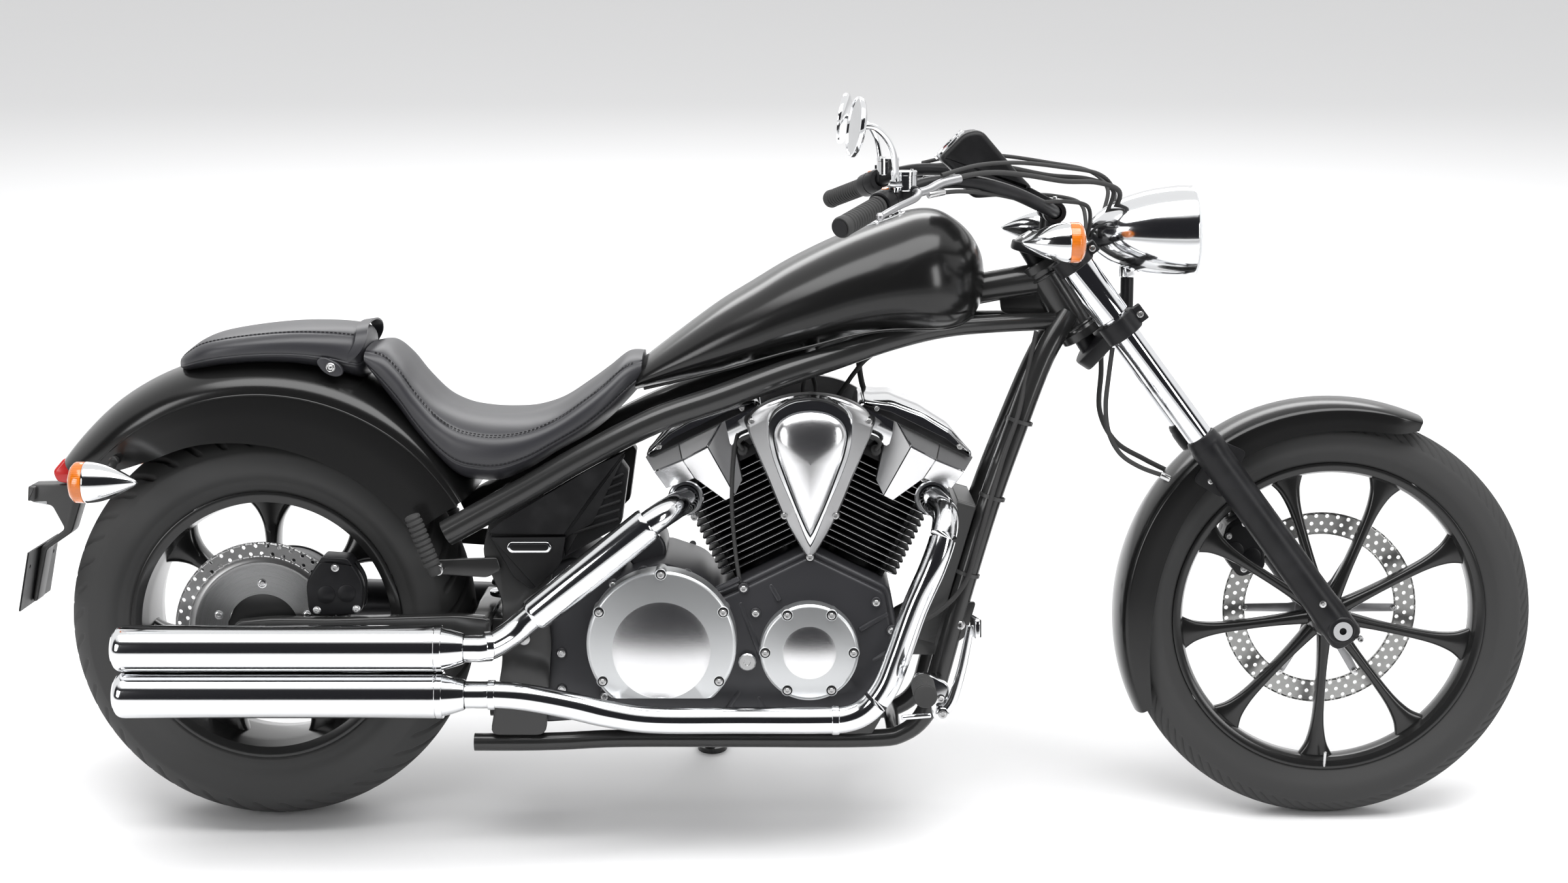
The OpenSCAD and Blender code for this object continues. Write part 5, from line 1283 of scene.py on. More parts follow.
def build_swingarm():
    """Box-section arm and pivot tube, the gearbox's tail, drive housing with its cast ribs, spring
    unit and the folded passenger pegs."""
    f = Form()
    rim = soften([(-42, 318), (-42, 366), (20, 372), (120, 371), (330, 377), (386, 372), (386, 306),
                  (330, 300), (120, 312), (0, 314)], 14)
    f.grid(prism(rim, -122, -150, 4))
    f.grid(prism(soften([(386, 372), (350, 374), (350, 304), (386, 306)], 6), -149, 112, 4))
    f.grid(prism(soften([(380, 366), (440, 363), (440, 307), (380, 310)], 6), -112, 112, 4))
    f.rod((440, -121.7, 335), (440, 121.7, 335), 28, 0, 40, 2)
    f.rod((440, -142, 335), (440, 142, 335), 10, 1, 24, 1)
    slot = soften([(-30, 328), (14, 328), (14, 360), (-30, 360)], 8)
    f.grid(prism(slot, -150, -152.5, 1), 1)
    for x, z in ((150, 340), (300, 342)):
        f.rod((x, -150, z), (x, -152, z), 9, 0, 24, 1)
    make("swingarm_box", f, "chassis", ["frame_black", "bolt_zinc"], ["swingarm"])
    f = Form()
    tail = soften([(404, 214), (404, 380), (430, 436), (520, 470), (600, 452), (604, 196),
                   (470, 186), (430, 196)], 12)
    f.grid(prism(tail, -118, 112, 6))
    bosses = [(500, 306), (500, 244), (560, 212), (444, 232)]
    for x, z in bosses:
        f.rod((x, -116, z), (x, -121, z), 9, 0, 24, 2)
    f.bolts([(x, -121, z) for x, z in bosses], (0, -1, 0), 5, 4, 1)
    make("gearbox_tail", f, "chassis", ["engine_black", "bolt_zinc"])
    f = Form()
    z = REAR_AXLE[2]
    f.grid(lathe((0, 0, z), (0, 1, 0), [(11, 106), (72, 106), (88, 112), (92, 119), (92, 150),
                                        (94, 151), (94, 156), (92, 157), (91, 168), (86, 178),
                                        (76, 185), (60, 188), (34, 189), (32, 186), (11, 186)], 96),
           0, turn=True)
    f.grid(tube([(70, 152, 345.2), (100, 152, 345), (372, 151, 341.8), (391, 151, 341.5)],
                [40, 34, 31, 31], 40, (0, 0, 1)), 0)
    for k in range(8):
        a = math.radians(k * 45 + 12)
        p = np.array([78 * math.cos(a), 178, z + 78 * math.sin(a)])
        f.bolts([p], (0, 1, 0), SIZES.bolt_head, 6, 1)
        q = np.array([60 * math.cos(a), 186, z + 60 * math.sin(a)])
        r = np.array([34 * math.cos(a), 188, z + 34 * math.sin(a)])
        f.rod(q, r, 3, 0, 8, 1.5)
    for x in (364, 378):
        f.grid(lathe((x, 151, 341.7), (1, 0, 0), [(30, -5), (33, -3), (33, 3), (30, 5)], 40), 2,
               turn=True)
    make("drive_casting", f, "chassis", ["engine_black", "bolt_zinc", "soft_rubber"],
         ["drive_housing"])
    f = Form()
    f.rod((402, 0, 366), (402, 0, 534.4), 12, 0, 32)
    for h in (382, 514):
        f.rod((402, 0, h), (402, 0, h + 8), 34, 0, 40, 2)
    turns = np.linspace(0, 7, 240)
    a = 2 * np.pi * turns
    coil = np.stack([402 + 25 * np.cos(a), 25 * np.sin(a), 396 + 17 * turns], 1)
    f.grid(rounded_tube(coil, 6, 12, (0, 0, 1), edge=2), 1)
    make("spring_unit", f, "chassis", ["fork_chrome", "fork_black"], ["shock_absorber"])
    coat_node("rear_axle_shaft", "bolt_zinc")
    # Passenger pegs, folded up beside the frame plates in front of the wheel
    f = Form()
    foot, top = np.array([300, 176.0, 456]), np.array([262, 178.0, 556])
    for y in (1, -1):
        m = [1, y, 1]
        plate = soften([(292, 446), (292, 470), (398, 474), (404, 452), (380, 440)], 6)
        f.grid(prism(plate, 136.3 * y, 145 * y, 2), 0)
        f.rod(np.array([303, 141.0, 458]) * m, np.array([303, 174.0, 458]) * m, 9, 2)
        d = unit(top - foot) * m
        a = (np.array([300, 172.0, 450])) * m
        prof = [(0, 0), (9, 0), (10.5, 3), (10.5, 16), (13.4, 18)]
        for h in range(20, 101, 9):
            prof += [(13.9, h), (13.9, h + 4.5), (11.6, h + 6), (11.6, h + 7.5)]
        prof += [(13.4, 102), (12.5, 106), (9, 107.8), (0, 108)]
        f.grid(lathe(a, d, prof, 28), 1, caps=False)
    make("folded_pegs", f, "chassis", ["frame_black", "soft_rubber", "bolt_zinc"],
         ["passenger_pegs"])


def build_rear_lamps():
    """Tail lamp, plate bracket and holder, and the bullet indicators with their amber rings."""
    f = Form()
    rim = soften([(-346, 624), (-367, 600), (-360, 582.5), (-333, 578), (-312.6, 597)], 7)
    f.grid(prism(rim, -30, 30, 5), 0)
    make("tail_lamp", f, "chassis", ["red_lens"], ["tail_light"])
    f = Form()
    side = soften([(-336, 577), (-366, 577), (-409, 576), (-411, 548), (-372, 540), (-352, 500),
                   (-394, 468), (-412, 374), (-404, 374), (-384, 464), (-340, 494), (-318, 560),
                   (-316, 577)], 6)
    f.grid(prism(side, -22, 22, 3), 0)
    f.grid(prism(soften([(-324, 570), (-304, 570), (-304, 600), (-282, 676), (-291, 680),
                         (-312, 608), (-312, 596), (-322, 586)], 3), -8, 8, 1.5), 0)
    f.grid(prism(soften([(-409, 575), (-411, 549), (-398, 551), (-396, 574)], 3), -30, 30, 3), 0)
    f.grid(prism(soften([(-404, 547.5), (-402, 546), (-380, 541), (-380, 548)], 2), -24, 24, 1), 1)
    make("plate_bracket_arm", f, "chassis", ["black_plastic", "clear_lens"], ["plate_bracket"])
    coat_node("plate_holder", "satin_black")
    f = Form()
    for y in (1, -1):
        p = np.array([-262, 205.0 * y, 610])
        bullet(f, p, 1, -177, 34)
        f.rod((-238, 110.5 * y, 632), (-238, 126 * y, 632), 8, 2)
        f.rod((-238, 119 * y, 632), (-236, 173 * y, 612), 7.5, 2, edge=2)
    make("rear_indicators", f, "chassis", ["chrome", "amber_lens", "frame_black"], ["rear_signals"])


def bullet(f, p, way, tip, ring):
    """Pointed lamp shell, radius R cos(1.45 s) over its length, with a bezel and a domed lens."""
    length = abs(tip - p[0])
    s = np.linspace(0.05, 1, 28)
    shell = [(ring - 3, -0.3), (ring - 0.6, 0), (ring, 1.6), (ring, 4)]
    shell += list(np.stack([ring * np.cos(1.5 * s**1.05), length * s], 1))
    shell[-1] = (0, length)
    f.grid(lathe(p, (way, 0, 0), [(0, -0.3)] + shell, 48, (0, 1, 0)), 0, caps=False)
    lens = [(0, 0.3), (ring - 1.5, 0.3), (ring - 0.4, 1), (ring - 0.2, 14), (ring - 2, 17.5),
            (ring - 7, 22), (ring - 15, 25), (0, 26.8)]
    f.grid(lathe(p, (-way, 0, 0), lens, 48, (0, 1, 0)), 1, caps=False)


PISTON_CAP = [(0, 0), (15, 0), (15, 1.5), (13, 2.4), (0, 2.4)]


def build_rear_caliper():
    """Caliper over the rear disc: two halves, the bridge between them, piston caps and bolts."""
    f = Form()
    rim = soften([(82, 373), (78, 432), (104, 472), (150, 469), (174, 432), (171, 377)], 16)
    f.grid(prism(rim, -114.5, -139, 4))
    f.grid(prism(rim, -83, -97.5, 4))
    f.grid(prism(soften([(100, 464), (106, 474), (148, 471), (158, 458)], 4), -83, -139, 2))
    for x, z in ((112, 410), (146, 412)):
        f.grid(lathe((x, -139, z), (0, -1, 0), PISTON_CAP, 32), caps=False)
    f.bolts([(96, -139, 384), (162, -139, 386), (128, -139, 456)], (0, -1, 0), 5, 5, 1)
    make("rear_caliper_body", f, "chassis", ["fork_black", "bolt_zinc"], ["rear_caliper"])


# ---- Wheels ------------------------------------------------------------------

def tyre_profile(r, w, bead, crown, bead_half, n=30):
    """Outer section (radius, y): an arc of radius crown, then a curve down the sidewall."""
    a = math.radians(min(math.degrees(math.asin((w / 2 - 6) / crown)), 80))
    t = np.linspace(0, a, n)
    c = r - crown
    edge = c + crown * math.cos(a)
    side = spline([(edge, crown * math.sin(a)), (edge - 9, w / 2 - 1), ((edge + bead) / 2, w / 2),
                   (bead + (r - bead) * 0.16, (w / 2 + bead_half) / 2), (bead, bead_half)], 5)
    half = np.vstack([np.stack([c + crown * np.cos(t), crown * np.sin(t)], 1), side[1:]])
    return np.vstack([(half * [1, -1])[:0:-1], half])


def build_tyre(name, centre, r, w, bead, crown, bead_half, body, node, grooves, around):
    """Tyre with its tread cut in: the surface drops by depth where a slanted groove runs, and on a
    narrow tyre also along a line on each side of the middle."""
    f = Form()
    depth = 4.0
    prof = tyre_profile(r, w, bead, crown, bead_half)
    a = (np.arange(around) * 2 * np.pi / around)[None]
    rad, y = prof[:, :1] + 0 * a, prof[:, 1:] + 0 * a
    edge = w / 2
    s = np.abs(y) / edge
    on_tread = np.clip((0.9 - s) / 0.05, 0, 1) * np.clip((rad - (r - 40)) / 8, 0, 1)
    phase = a * grooves / (2 * np.pi) + np.sign(y) * 0.25 + 0.9 * s**1.3 * grooves / 24
    wave = np.abs((phase % 1) - 0.5)
    cut = np.clip((0.12 - wave) / 0.03, 0, 1) * np.clip((s - 0.16) / 0.05, 0, 1)
    ring = np.clip((0.035 - np.abs(s - 0.09)) / 0.012, 0, 1) if w < 120 else 0
    rad = rad - depth * np.maximum(cut, ring) * on_tread
    # Fine ridges on the sidewall beside the bead
    rad_s = np.clip((bead + 26 - rad) / 4, 0, 1) * np.clip((rad - bead - 10) / 4, 0, 1)
    y = y + np.sign(y) * 0.5 * rad_s * np.sin(rad * 2.2)
    pts = centre + np.stack([rad * np.cos(a), y, rad * np.sin(a)], -1)
    f.grid(pts, caps=False)
    f.grid(np.stack([pts[-1], pts[0]]), caps=False)
    make(name, f, body, ["tyre_rubber"], [node], sharp=40)


def rim_section(window, bead, half):
    """Rim well with beads, flanges and a rounded inner lip, as (radius, y) rows."""
    return [(window, -half * 0.45), (window + 1.5, -half * 0.62), (window + 5, -half + 3.5),
            (bead - 8, -half + 0.6), (bead - 3, -half), (bead - 0.6, -half + 0.6),
            (bead, -half + 2.5), (bead, -half + 6), (bead - 6, -half * 0.6), (bead - 6, half * 0.6),
            (bead, half - 6), (bead, half - 2.5), (bead - 0.6, half - 0.6), (bead - 3, half),
            (bead - 8, half - 0.6), (window + 5, half - 3.5), (window + 1.5, half * 0.62),
            (window, half * 0.45)]


def spoke_grid(centre, angle, hub, window, widths, half, thin):
    """One spoke: rounded sections along a ray, width by a smooth table and depth tapering out."""
    t, w = spline(widths, 6).T
    r = hub + (window - hub) * t
    a = np.arange(20) * 2 * np.pi / 20
    c, s = np.cos(a), np.sin(a)
    depth = half + (thin - half) * np.clip(t, 0, 1) ** 0.8
    flat = np.sign(c) * np.abs(c) ** 0.55
    deep = np.sign(s) * np.abs(s) ** 0.6
    ridge = 1 - 0.16 * np.abs(flat) ** 2
    out = np.array([math.cos(angle), 0, math.sin(angle)])
    side = np.array([-math.sin(angle), 0, math.cos(angle)])
    return (centre + r[:, None, None] * out + (w[:, None] * flat)[..., None] * side
            + (depth[:, None] * deep * ridge)[..., None] * Y)


def build_wheels():
    """Cast wheels: a turned rim and hub joined by waisted spokes that flare into the rim."""
    f = Form()
    f.grid(lathe(FRONT_AXLE, (0, 1, 0), rim_section(248, 267, 30), SIZES.turn_sides), turn=True)
    hub = [(10.5, -46), (27, -46), (31, -44), (33.4, -38), (33.4, -20), (36, -14), (36, 14),
           (33.4, 20), (33.4, 38), (26, 41), (26, 45.6), (10.5, 46)]
    f.grid(lathe(FRONT_AXLE, (0, 1, 0), hub, 64), turn=True)
    widths = [(-0.06, 13), (0.1, 10.5), (0.3, 8.6), (0.55, 8.8), (0.74, 11), (0.88, 17), (0.96, 25),
              (1.03, 36)]
    for k in range(9):
        f.grid(spoke_grid(FRONT_AXLE, -math.radians(92.5 + k * 40), 34, 248, widths, 19, 11))
    f.rod(FRONT_AXLE + [0, -27, -263], FRONT_AXLE + [0, -33, -236], 3.2, 1, 12)
    make("front_wheel_casting", f, "front_wheel", ["wheel_black", "bolt_zinc"],
         ["front_wheel_rim"])
    f = Form()
    f.grid(lathe(REAR_AXLE, (0, 1, 0), rim_section(206, 229, 84), SIZES.turn_sides), turn=True)
    hub = [(10.5, -96), (56, -96), (61, -92), (62, -84), (62, -40), (56, -28), (56, 28), (62, 40),
           (62, 90), (60, 97), (54, 100), (10.5, 100)]
    f.grid(lathe(REAR_AXLE, (0, 1, 0), hub, 72), turn=True)
    widths = [(-0.1, 25), (0.08, 19), (0.28, 12.5), (0.5, 12), (0.7, 16), (0.85, 26), (0.95, 38),
              (1.04, 54)]
    for k in range(7):
        f.grid(spoke_grid(REAR_AXLE, -math.radians(-90 + k * 360 / 7), 62, 206, widths, 40, 26))
    make("rear_wheel_casting", f, "rear_wheel", ["wheel_black"], ["rear_wheel_rim"])
    build_tyre("front_tyre_tread", FRONT_AXLE, 348, 90, 267.3, 45, 26, "front_wheel", "front_tyre",
               96, 960)
    build_tyre("rear_tyre_tread", REAR_AXLE, 344, 200, 229.3, 125, 78, "rear_wheel", "rear_tyre",
               44, 880)


def drilled_ring(f, centre, y, r, band, holes, rows, hole_r, t, slot=0):
    """Flat ring with round holes: each cell of the ring is a patch of rays from a hole's rim out
    to the cell's border, so every hole is a true opening with a wall."""
    cell_a, cell_r = 2 * np.pi / holes, band / rows
    rays = 16
    q = np.arange(rays) * 2 * np.pi / rays
    c, s = np.cos(q), np.sin(q)
    k = 1 / np.maximum(np.abs(c), np.abs(s))
    k_idx, row_idx = np.meshgrid(np.arange(holes), np.arange(rows), indexing="ij")
    mid_r = (r - band + cell_r * (row_idx + 0.5)).ravel()[:, None]
    mid_a = (cell_a * (k_idx + 0.5 * (row_idx % 2))).ravel()[:, None]
    edge_r, edge_a = mid_r + cell_r / 2 * c * k, mid_a + cell_a / 2 * s * k
    hole_rr, hole_a = mid_r + hole_r * c, mid_a + hole_r * s / mid_r

    def at(rr, aa, yy):
        return centre + np.stack([rr * np.cos(aa), np.full_like(rr, yy), rr * np.sin(aa)], -1)

    for sign in (1, -1):
        outer, inner = at(edge_r, edge_a, y + sign * t / 2), at(hole_rr, hole_a, y + sign * t / 2)
        deep = at(hole_rr, hole_a, y)
        f.grids(np.stack([outer, inner, deep], 1), slot)
    for rr in (r, r - band):
        a = np.arange(holes * 8) * 2 * np.pi / (holes * 8)
        rim = [centre + np.stack([rr * np.cos(a), np.full_like(a, yy), rr * np.sin(a)], -1)
               for yy in (y - t / 2, y + t / 2)]
        f.grid(np.stack(rim), slot, caps=False)


def build_discs():
    """Brake discs drilled right through, each on a spidered carrier with floating buttons."""
    f = Form()
    drilled_ring(f, FRONT_AXLE, 54, 168, 38, 54, 3, 3.4, 5, 0)
    carrier(f, FRONT_AXLE, 54, 130, 42, 46.3, 6, 51.5, 56.5)
    make("front_disc_drilled", f, "front_wheel", ["front_disc_steel", "cast_alloy", "bolt_zinc"],
         ["front_disc"])
    f = Form()
    drilled_ring(f, REAR_AXLE, -106, 148, 26, 44, 2, 3.4, 5, 0)
    plate = [(60, -103.5), (60, -108.8), (110, -108.8), (113, -110), (116, -109.6), (118, -108.8),
             (123, -108.6), (123, -103.5)]
    f.grid(lathe(REAR_AXLE, (0, 1, 0), plate, 120), 0, turn=True)
    f.grid(lathe(REAR_AXLE, (0, 1, 0), [(16, -104), (59, -104), (59, -96.3), (16, -96.3)], 64), 1,
           turn=True)
    a = np.radians(18 + 72 * np.arange(5))
    f.bolts(REAR_AXLE + np.stack([78 * np.cos(a), 0 * a - 108.8, 78 * np.sin(a)], 1), (0, -1, 0), 6,
            3, 2)
    make("rear_disc_drilled", f, "rear_wheel", ["rear_disc_steel", "wheel_black", "bolt_zinc"],
         ["rear_disc"])


def carrier(f, centre, y, r, inner, hub_y, arms, ya, yb):
    """Disc carrier: a boss from hub_y out to the disc, and arms that end in riveted buttons."""
    out = y + 2.0
    f.grid(lathe(centre, (0, 1, 0), [(16, hub_y), (inner, hub_y), (inner, out), (16, out)], 64), 1,
           turn=True)
    for k in range(arms):
        a = -k * 2 * math.pi / arms
        c, s = math.cos(a), math.sin(a)
        rim = soften([(inner - 8, -13), (inner + 10, -8), (r - 3, -7), (r + 3, -6), (r + 3, 6),
                      (r - 3, 7), (inner + 10, 8), (inner - 8, 13)], 4)
        flat = np.stack([centre[0] + rim[:, 0] * c - rim[:, 1] * s,
                         centre[2] + rim[:, 0] * s + rim[:, 1] * c], 1)
        f.grid(prism(flat, ya + 0.6, yb - 0.6, 0.8), 1)
        f.bolts([centre + [r * c, yb, r * s]], (0, 1, 0), 4.5, 2.6, 2)
        f.bolts([centre + [r * c, ya, r * s]], (0, -1, 0), 4.5, 2.6, 2)
        f.bolts([centre + [(inner - 14) * c, out, (inner - 14) * s]], (0, 1, 0), 5, 4.2, 2)


# ---- Fork and front end ---------------------------------------------------------

def plate_on(at, ex, ey, outline, z0, z1, edge=1.5):
    """Flat outline in the plane of ex and ey through at, made solid from z0 to z1 along their
    cross product, with both rims rounded by edge."""
    ez = np.cross(ex, ey)
    q = np.radians([0, 30, 60, 90])
    rows = [(edge * (1 - math.sin(a)), z0 + edge * (1 - math.cos(a))) for a in q]
    rows += [(edge * (1 - math.cos(a)), z1 - edge * (1 - math.sin(a))) for a in q]
    flats = [(inset(outline, d), z) for d, z in rows]
    return np.stack([at + p[:, :1] * ex + p[:, 1:] * ey + z * ez for p, z in flats])


def build_fork():
    """Black sliders with seals and axle lugs, chromed tubes and sleeves, bolted yokes and stem."""
    f, g, h = Form(), Form(), Form()
    for y in (1, -1):
        foot = leg_at(-30, FORK_Y * y)
        prof = [(0, 0), (19, 0), (25, 3), (28, 8), (29, 14), (29, 66), (28.4, 74), (28, 92),
                (28, 388), (28.6, 392), (29, 396), (29, 412), (28.4, 418), (27.4, 420),
                (27.4, 426), (25.4, 432), (24, 433), (22.5, 433), (22.5, 380), (0, 380)]
        f.grid(lathe(foot, FORK_DIR, prof, 56, (0, 1, 0)), 0, caps=False)
        lug = [(0, -29), (20, -29), (22.5, -27), (23, -24), (23, 24), (22.5, 27), (20, 29), (0, 29)]
        f.grid(lathe(FRONT_AXLE + FORK_Y * y * Y, (0, 1, 0), lug, 48), 0, caps=False)
        f.bolts([leg_at(-24, FORK_Y * y) + [17, 23 * y, 4]], (0, y, 0), 4.5, 10, 1)
        f.bolts([leg_at(56, FORK_Y * y) + [0, 28.5 * y, 0]], (0, y, 0), 4.5, 3, 1)
        g.rod(leg_at(335, FORK_Y * y), leg_at(789, FORK_Y * y), 22, 0, 56, 2)
        sleeve = [(22.4, 0), (28, 0), (29, 1), (29, 112), (28.4, 114), (27.4, 115), (22.4, 115)]
        g.grid(lathe(leg_at(651.5, FORK_Y * y), FORK_DIR, sleeve, 56, (0, 1, 0)), 0, turn=True)
        g.grid(lathe(leg_at(786, FORK_Y * y), FORK_DIR, [(0, 0), (20, 0), (20, 3), (18, 5), (11, 5),
                                                       (11, 9), (0, 9)], 48), 1, caps=False)
        for s, t in ((630, 17), (765, 13)):
            ring = [(22.6, -t), (31.5, -t), (33, 1.5 - t), (33, t - 1.5), (31.5, t), (22.6, t)]
            h.grid(lathe(leg_at(s, FORK_Y * y), FORK_DIR, ring, 56, (0, 1, 0)), 0, turn=True)
            across = np.cross(FORK_DIR, Y)
            lug_at = leg_at(s, FORK_Y * y) - 38 * across
            box = soften([(-9, -10), (9, -10), (9, 10), (-9, 10)], 4)
            h.grid(plate_on(lug_at, across, Y, box, -t + 3, t - 3), 0)
            h.bolts([lug_at + 12 * y * Y], (0, y, 0), 4.5, 5, 1)
    for s, z, t in ((630, 802, 12), (765, 977, 8)):
        c, e = leg_at(s), steer_at(z)
        ex = unit(c - e)
        reach = np.linalg.norm(c - e)
        rim = soften([(-30, -24), (-30, 24), (reach - 22, 96), (reach + 16, 97), (reach + 24, 30),
                      (reach + 24, -30), (reach + 16, -97), (reach - 22, -96)], 16)
        h.grid(plate_on(e, ex, Y, rim, -t, t, 3), 0)
    a, b = steer_at(802) - 17 * STEER_DIR, steer_at(977) + 18 * STEER_DIR
    h.rod(a, b, 17, 0, 40, 2)
    h.grid(lathe(b, STEER_DIR, [(0, -4), (21, -4), (21, 3), (19, 6), (8, 6), (7, 2), (0, 2)], 6),
           1, caps=False)
    for y in (1, -1):
        foot = (steer_at(977) + leg_at(765)) / 2 + 46 * y * Y
        top = np.array([1322, 46.0 * y, 1040])
        d = unit(top - foot)
        h.rod(foot, top - 11.6 * d, 13, 0, 36, 1.5)
        h.grid(lathe(top, (0, 1, 0), [(11.3, -17), (17.5, -17), (19, -15), (19, 15), (17.5, 17),
                                      (11.3, 17)], 40), 0, turn=True)
        h.bolts([top + [12, 8 * y, 15], top + [-14, 8 * y, 14]], (0, 0, 1), 4, 6, 1)
    h.rod((1452, 0, 848), (1452, 0, 927.7), 11, 0, 28, 1)
    h.rod(leg_at(630) + [-6, 0, 0], (1452, 0, 852), 12, 0, 28, 3)
    make("fork_slider_pair", f, "steering", ["fork_black", "bolt_zinc"], ["fork_sliders"])
    make("fork_tube_pair", g, "steering", ["fork_chrome", "fork_black"], ["fork_tubes"])
    make("fork_yoke_pair", h, "steering", ["fork_black", "bolt_zinc"], ["fork_yokes"])
    coat_node("front_axle_shaft", "chrome")


def build_front_brake():
    """Front caliper with its bridge, piston caps and bolts; the brake hose on the left and the
    one beside the right leg, with crimped ends."""
    f = Form()
    rim = soften([(1626, 452), (1636, 498), (1676, 520), (1700, 470), (1706, 420), (1660, 404)], 12)
    f.grid(prism(rim, 62.5, 99, 4))
    f.grid(prism(rim, 33, 45.5, 4))
    f.grid(prism(soften([(1629, 470), (1637, 497), (1676, 518), (1694, 482), (1688, 480),
                         (1674, 506), (1646, 490), (1637, 468)], 4), 33, 98, 2))
    for x, z in ((1652, 452), (1682, 442)):
        for y, way in ((99, 1), (33, -1)):
            f.grid(lathe((x, y, z), (0, way, 0), PISTON_CAP, 32), caps=False)
    f.bolts([(1640, 33, 478), (1668, 33, 500), (1668, 33, 420)], (0, -1, 0), 4.5, 5, 1)
    make("front_caliper_body", f, "steering", ["fork_black", "bolt_zinc"], ["front_caliper"])
    f = Form()
    path = spline([(1415.5, 104, 822), (1421, 102, 810), (1422, 88, 760), (1420, 84, 690),
                   (1448, 84, 636), (1500, 84, 604), (1560, 84, 574), (1610, 84, 546),
                   (1636, 84, 520), (1644, 84, 503.5)], 8)
    f.grid(rounded_tube(path, 4.5, 20, edge=1), 0)
    for a, b in ((path[1], path[6]), (path[-2], path[-8])):
        f.rod(a, b, 6, 1, 16, 1)
    right = mirrored(spline([(1417, 96, 818), (1412, 92, 770), (1408, 92, 720), (1414, 92, 676),
                             (1434, 90, 640), (1466, 88, 618), (1502, 86, 604)], 8))
    f.grid(rounded_tube(right, 4, 18, edge=1), 0)
    f.rod(right[-1], right[-1] + [16, 0, -8], 6, 1, 16, 1)
    make("brake_hoses", f, "steering", ["soft_rubber", "bolt_zinc"], ["brake_hose"])


# ---- Bars ------------------------------------------------------------------------

GRIP_IN, GRIP_OUT = np.array([1018.0, 352, 1065]), np.array([958.0, 442, 1037])
BAR = [(1322, 0, 1040), (1320, 62, 1041), (1298, 120, 1052), (1236, 190, 1080), (1166, 240, 1098),
       (1096, 278, 1096), tuple(GRIP_IN + (GRIP_IN - GRIP_OUT) * 0.36), tuple(GRIP_IN),
       tuple(GRIP_OUT)]


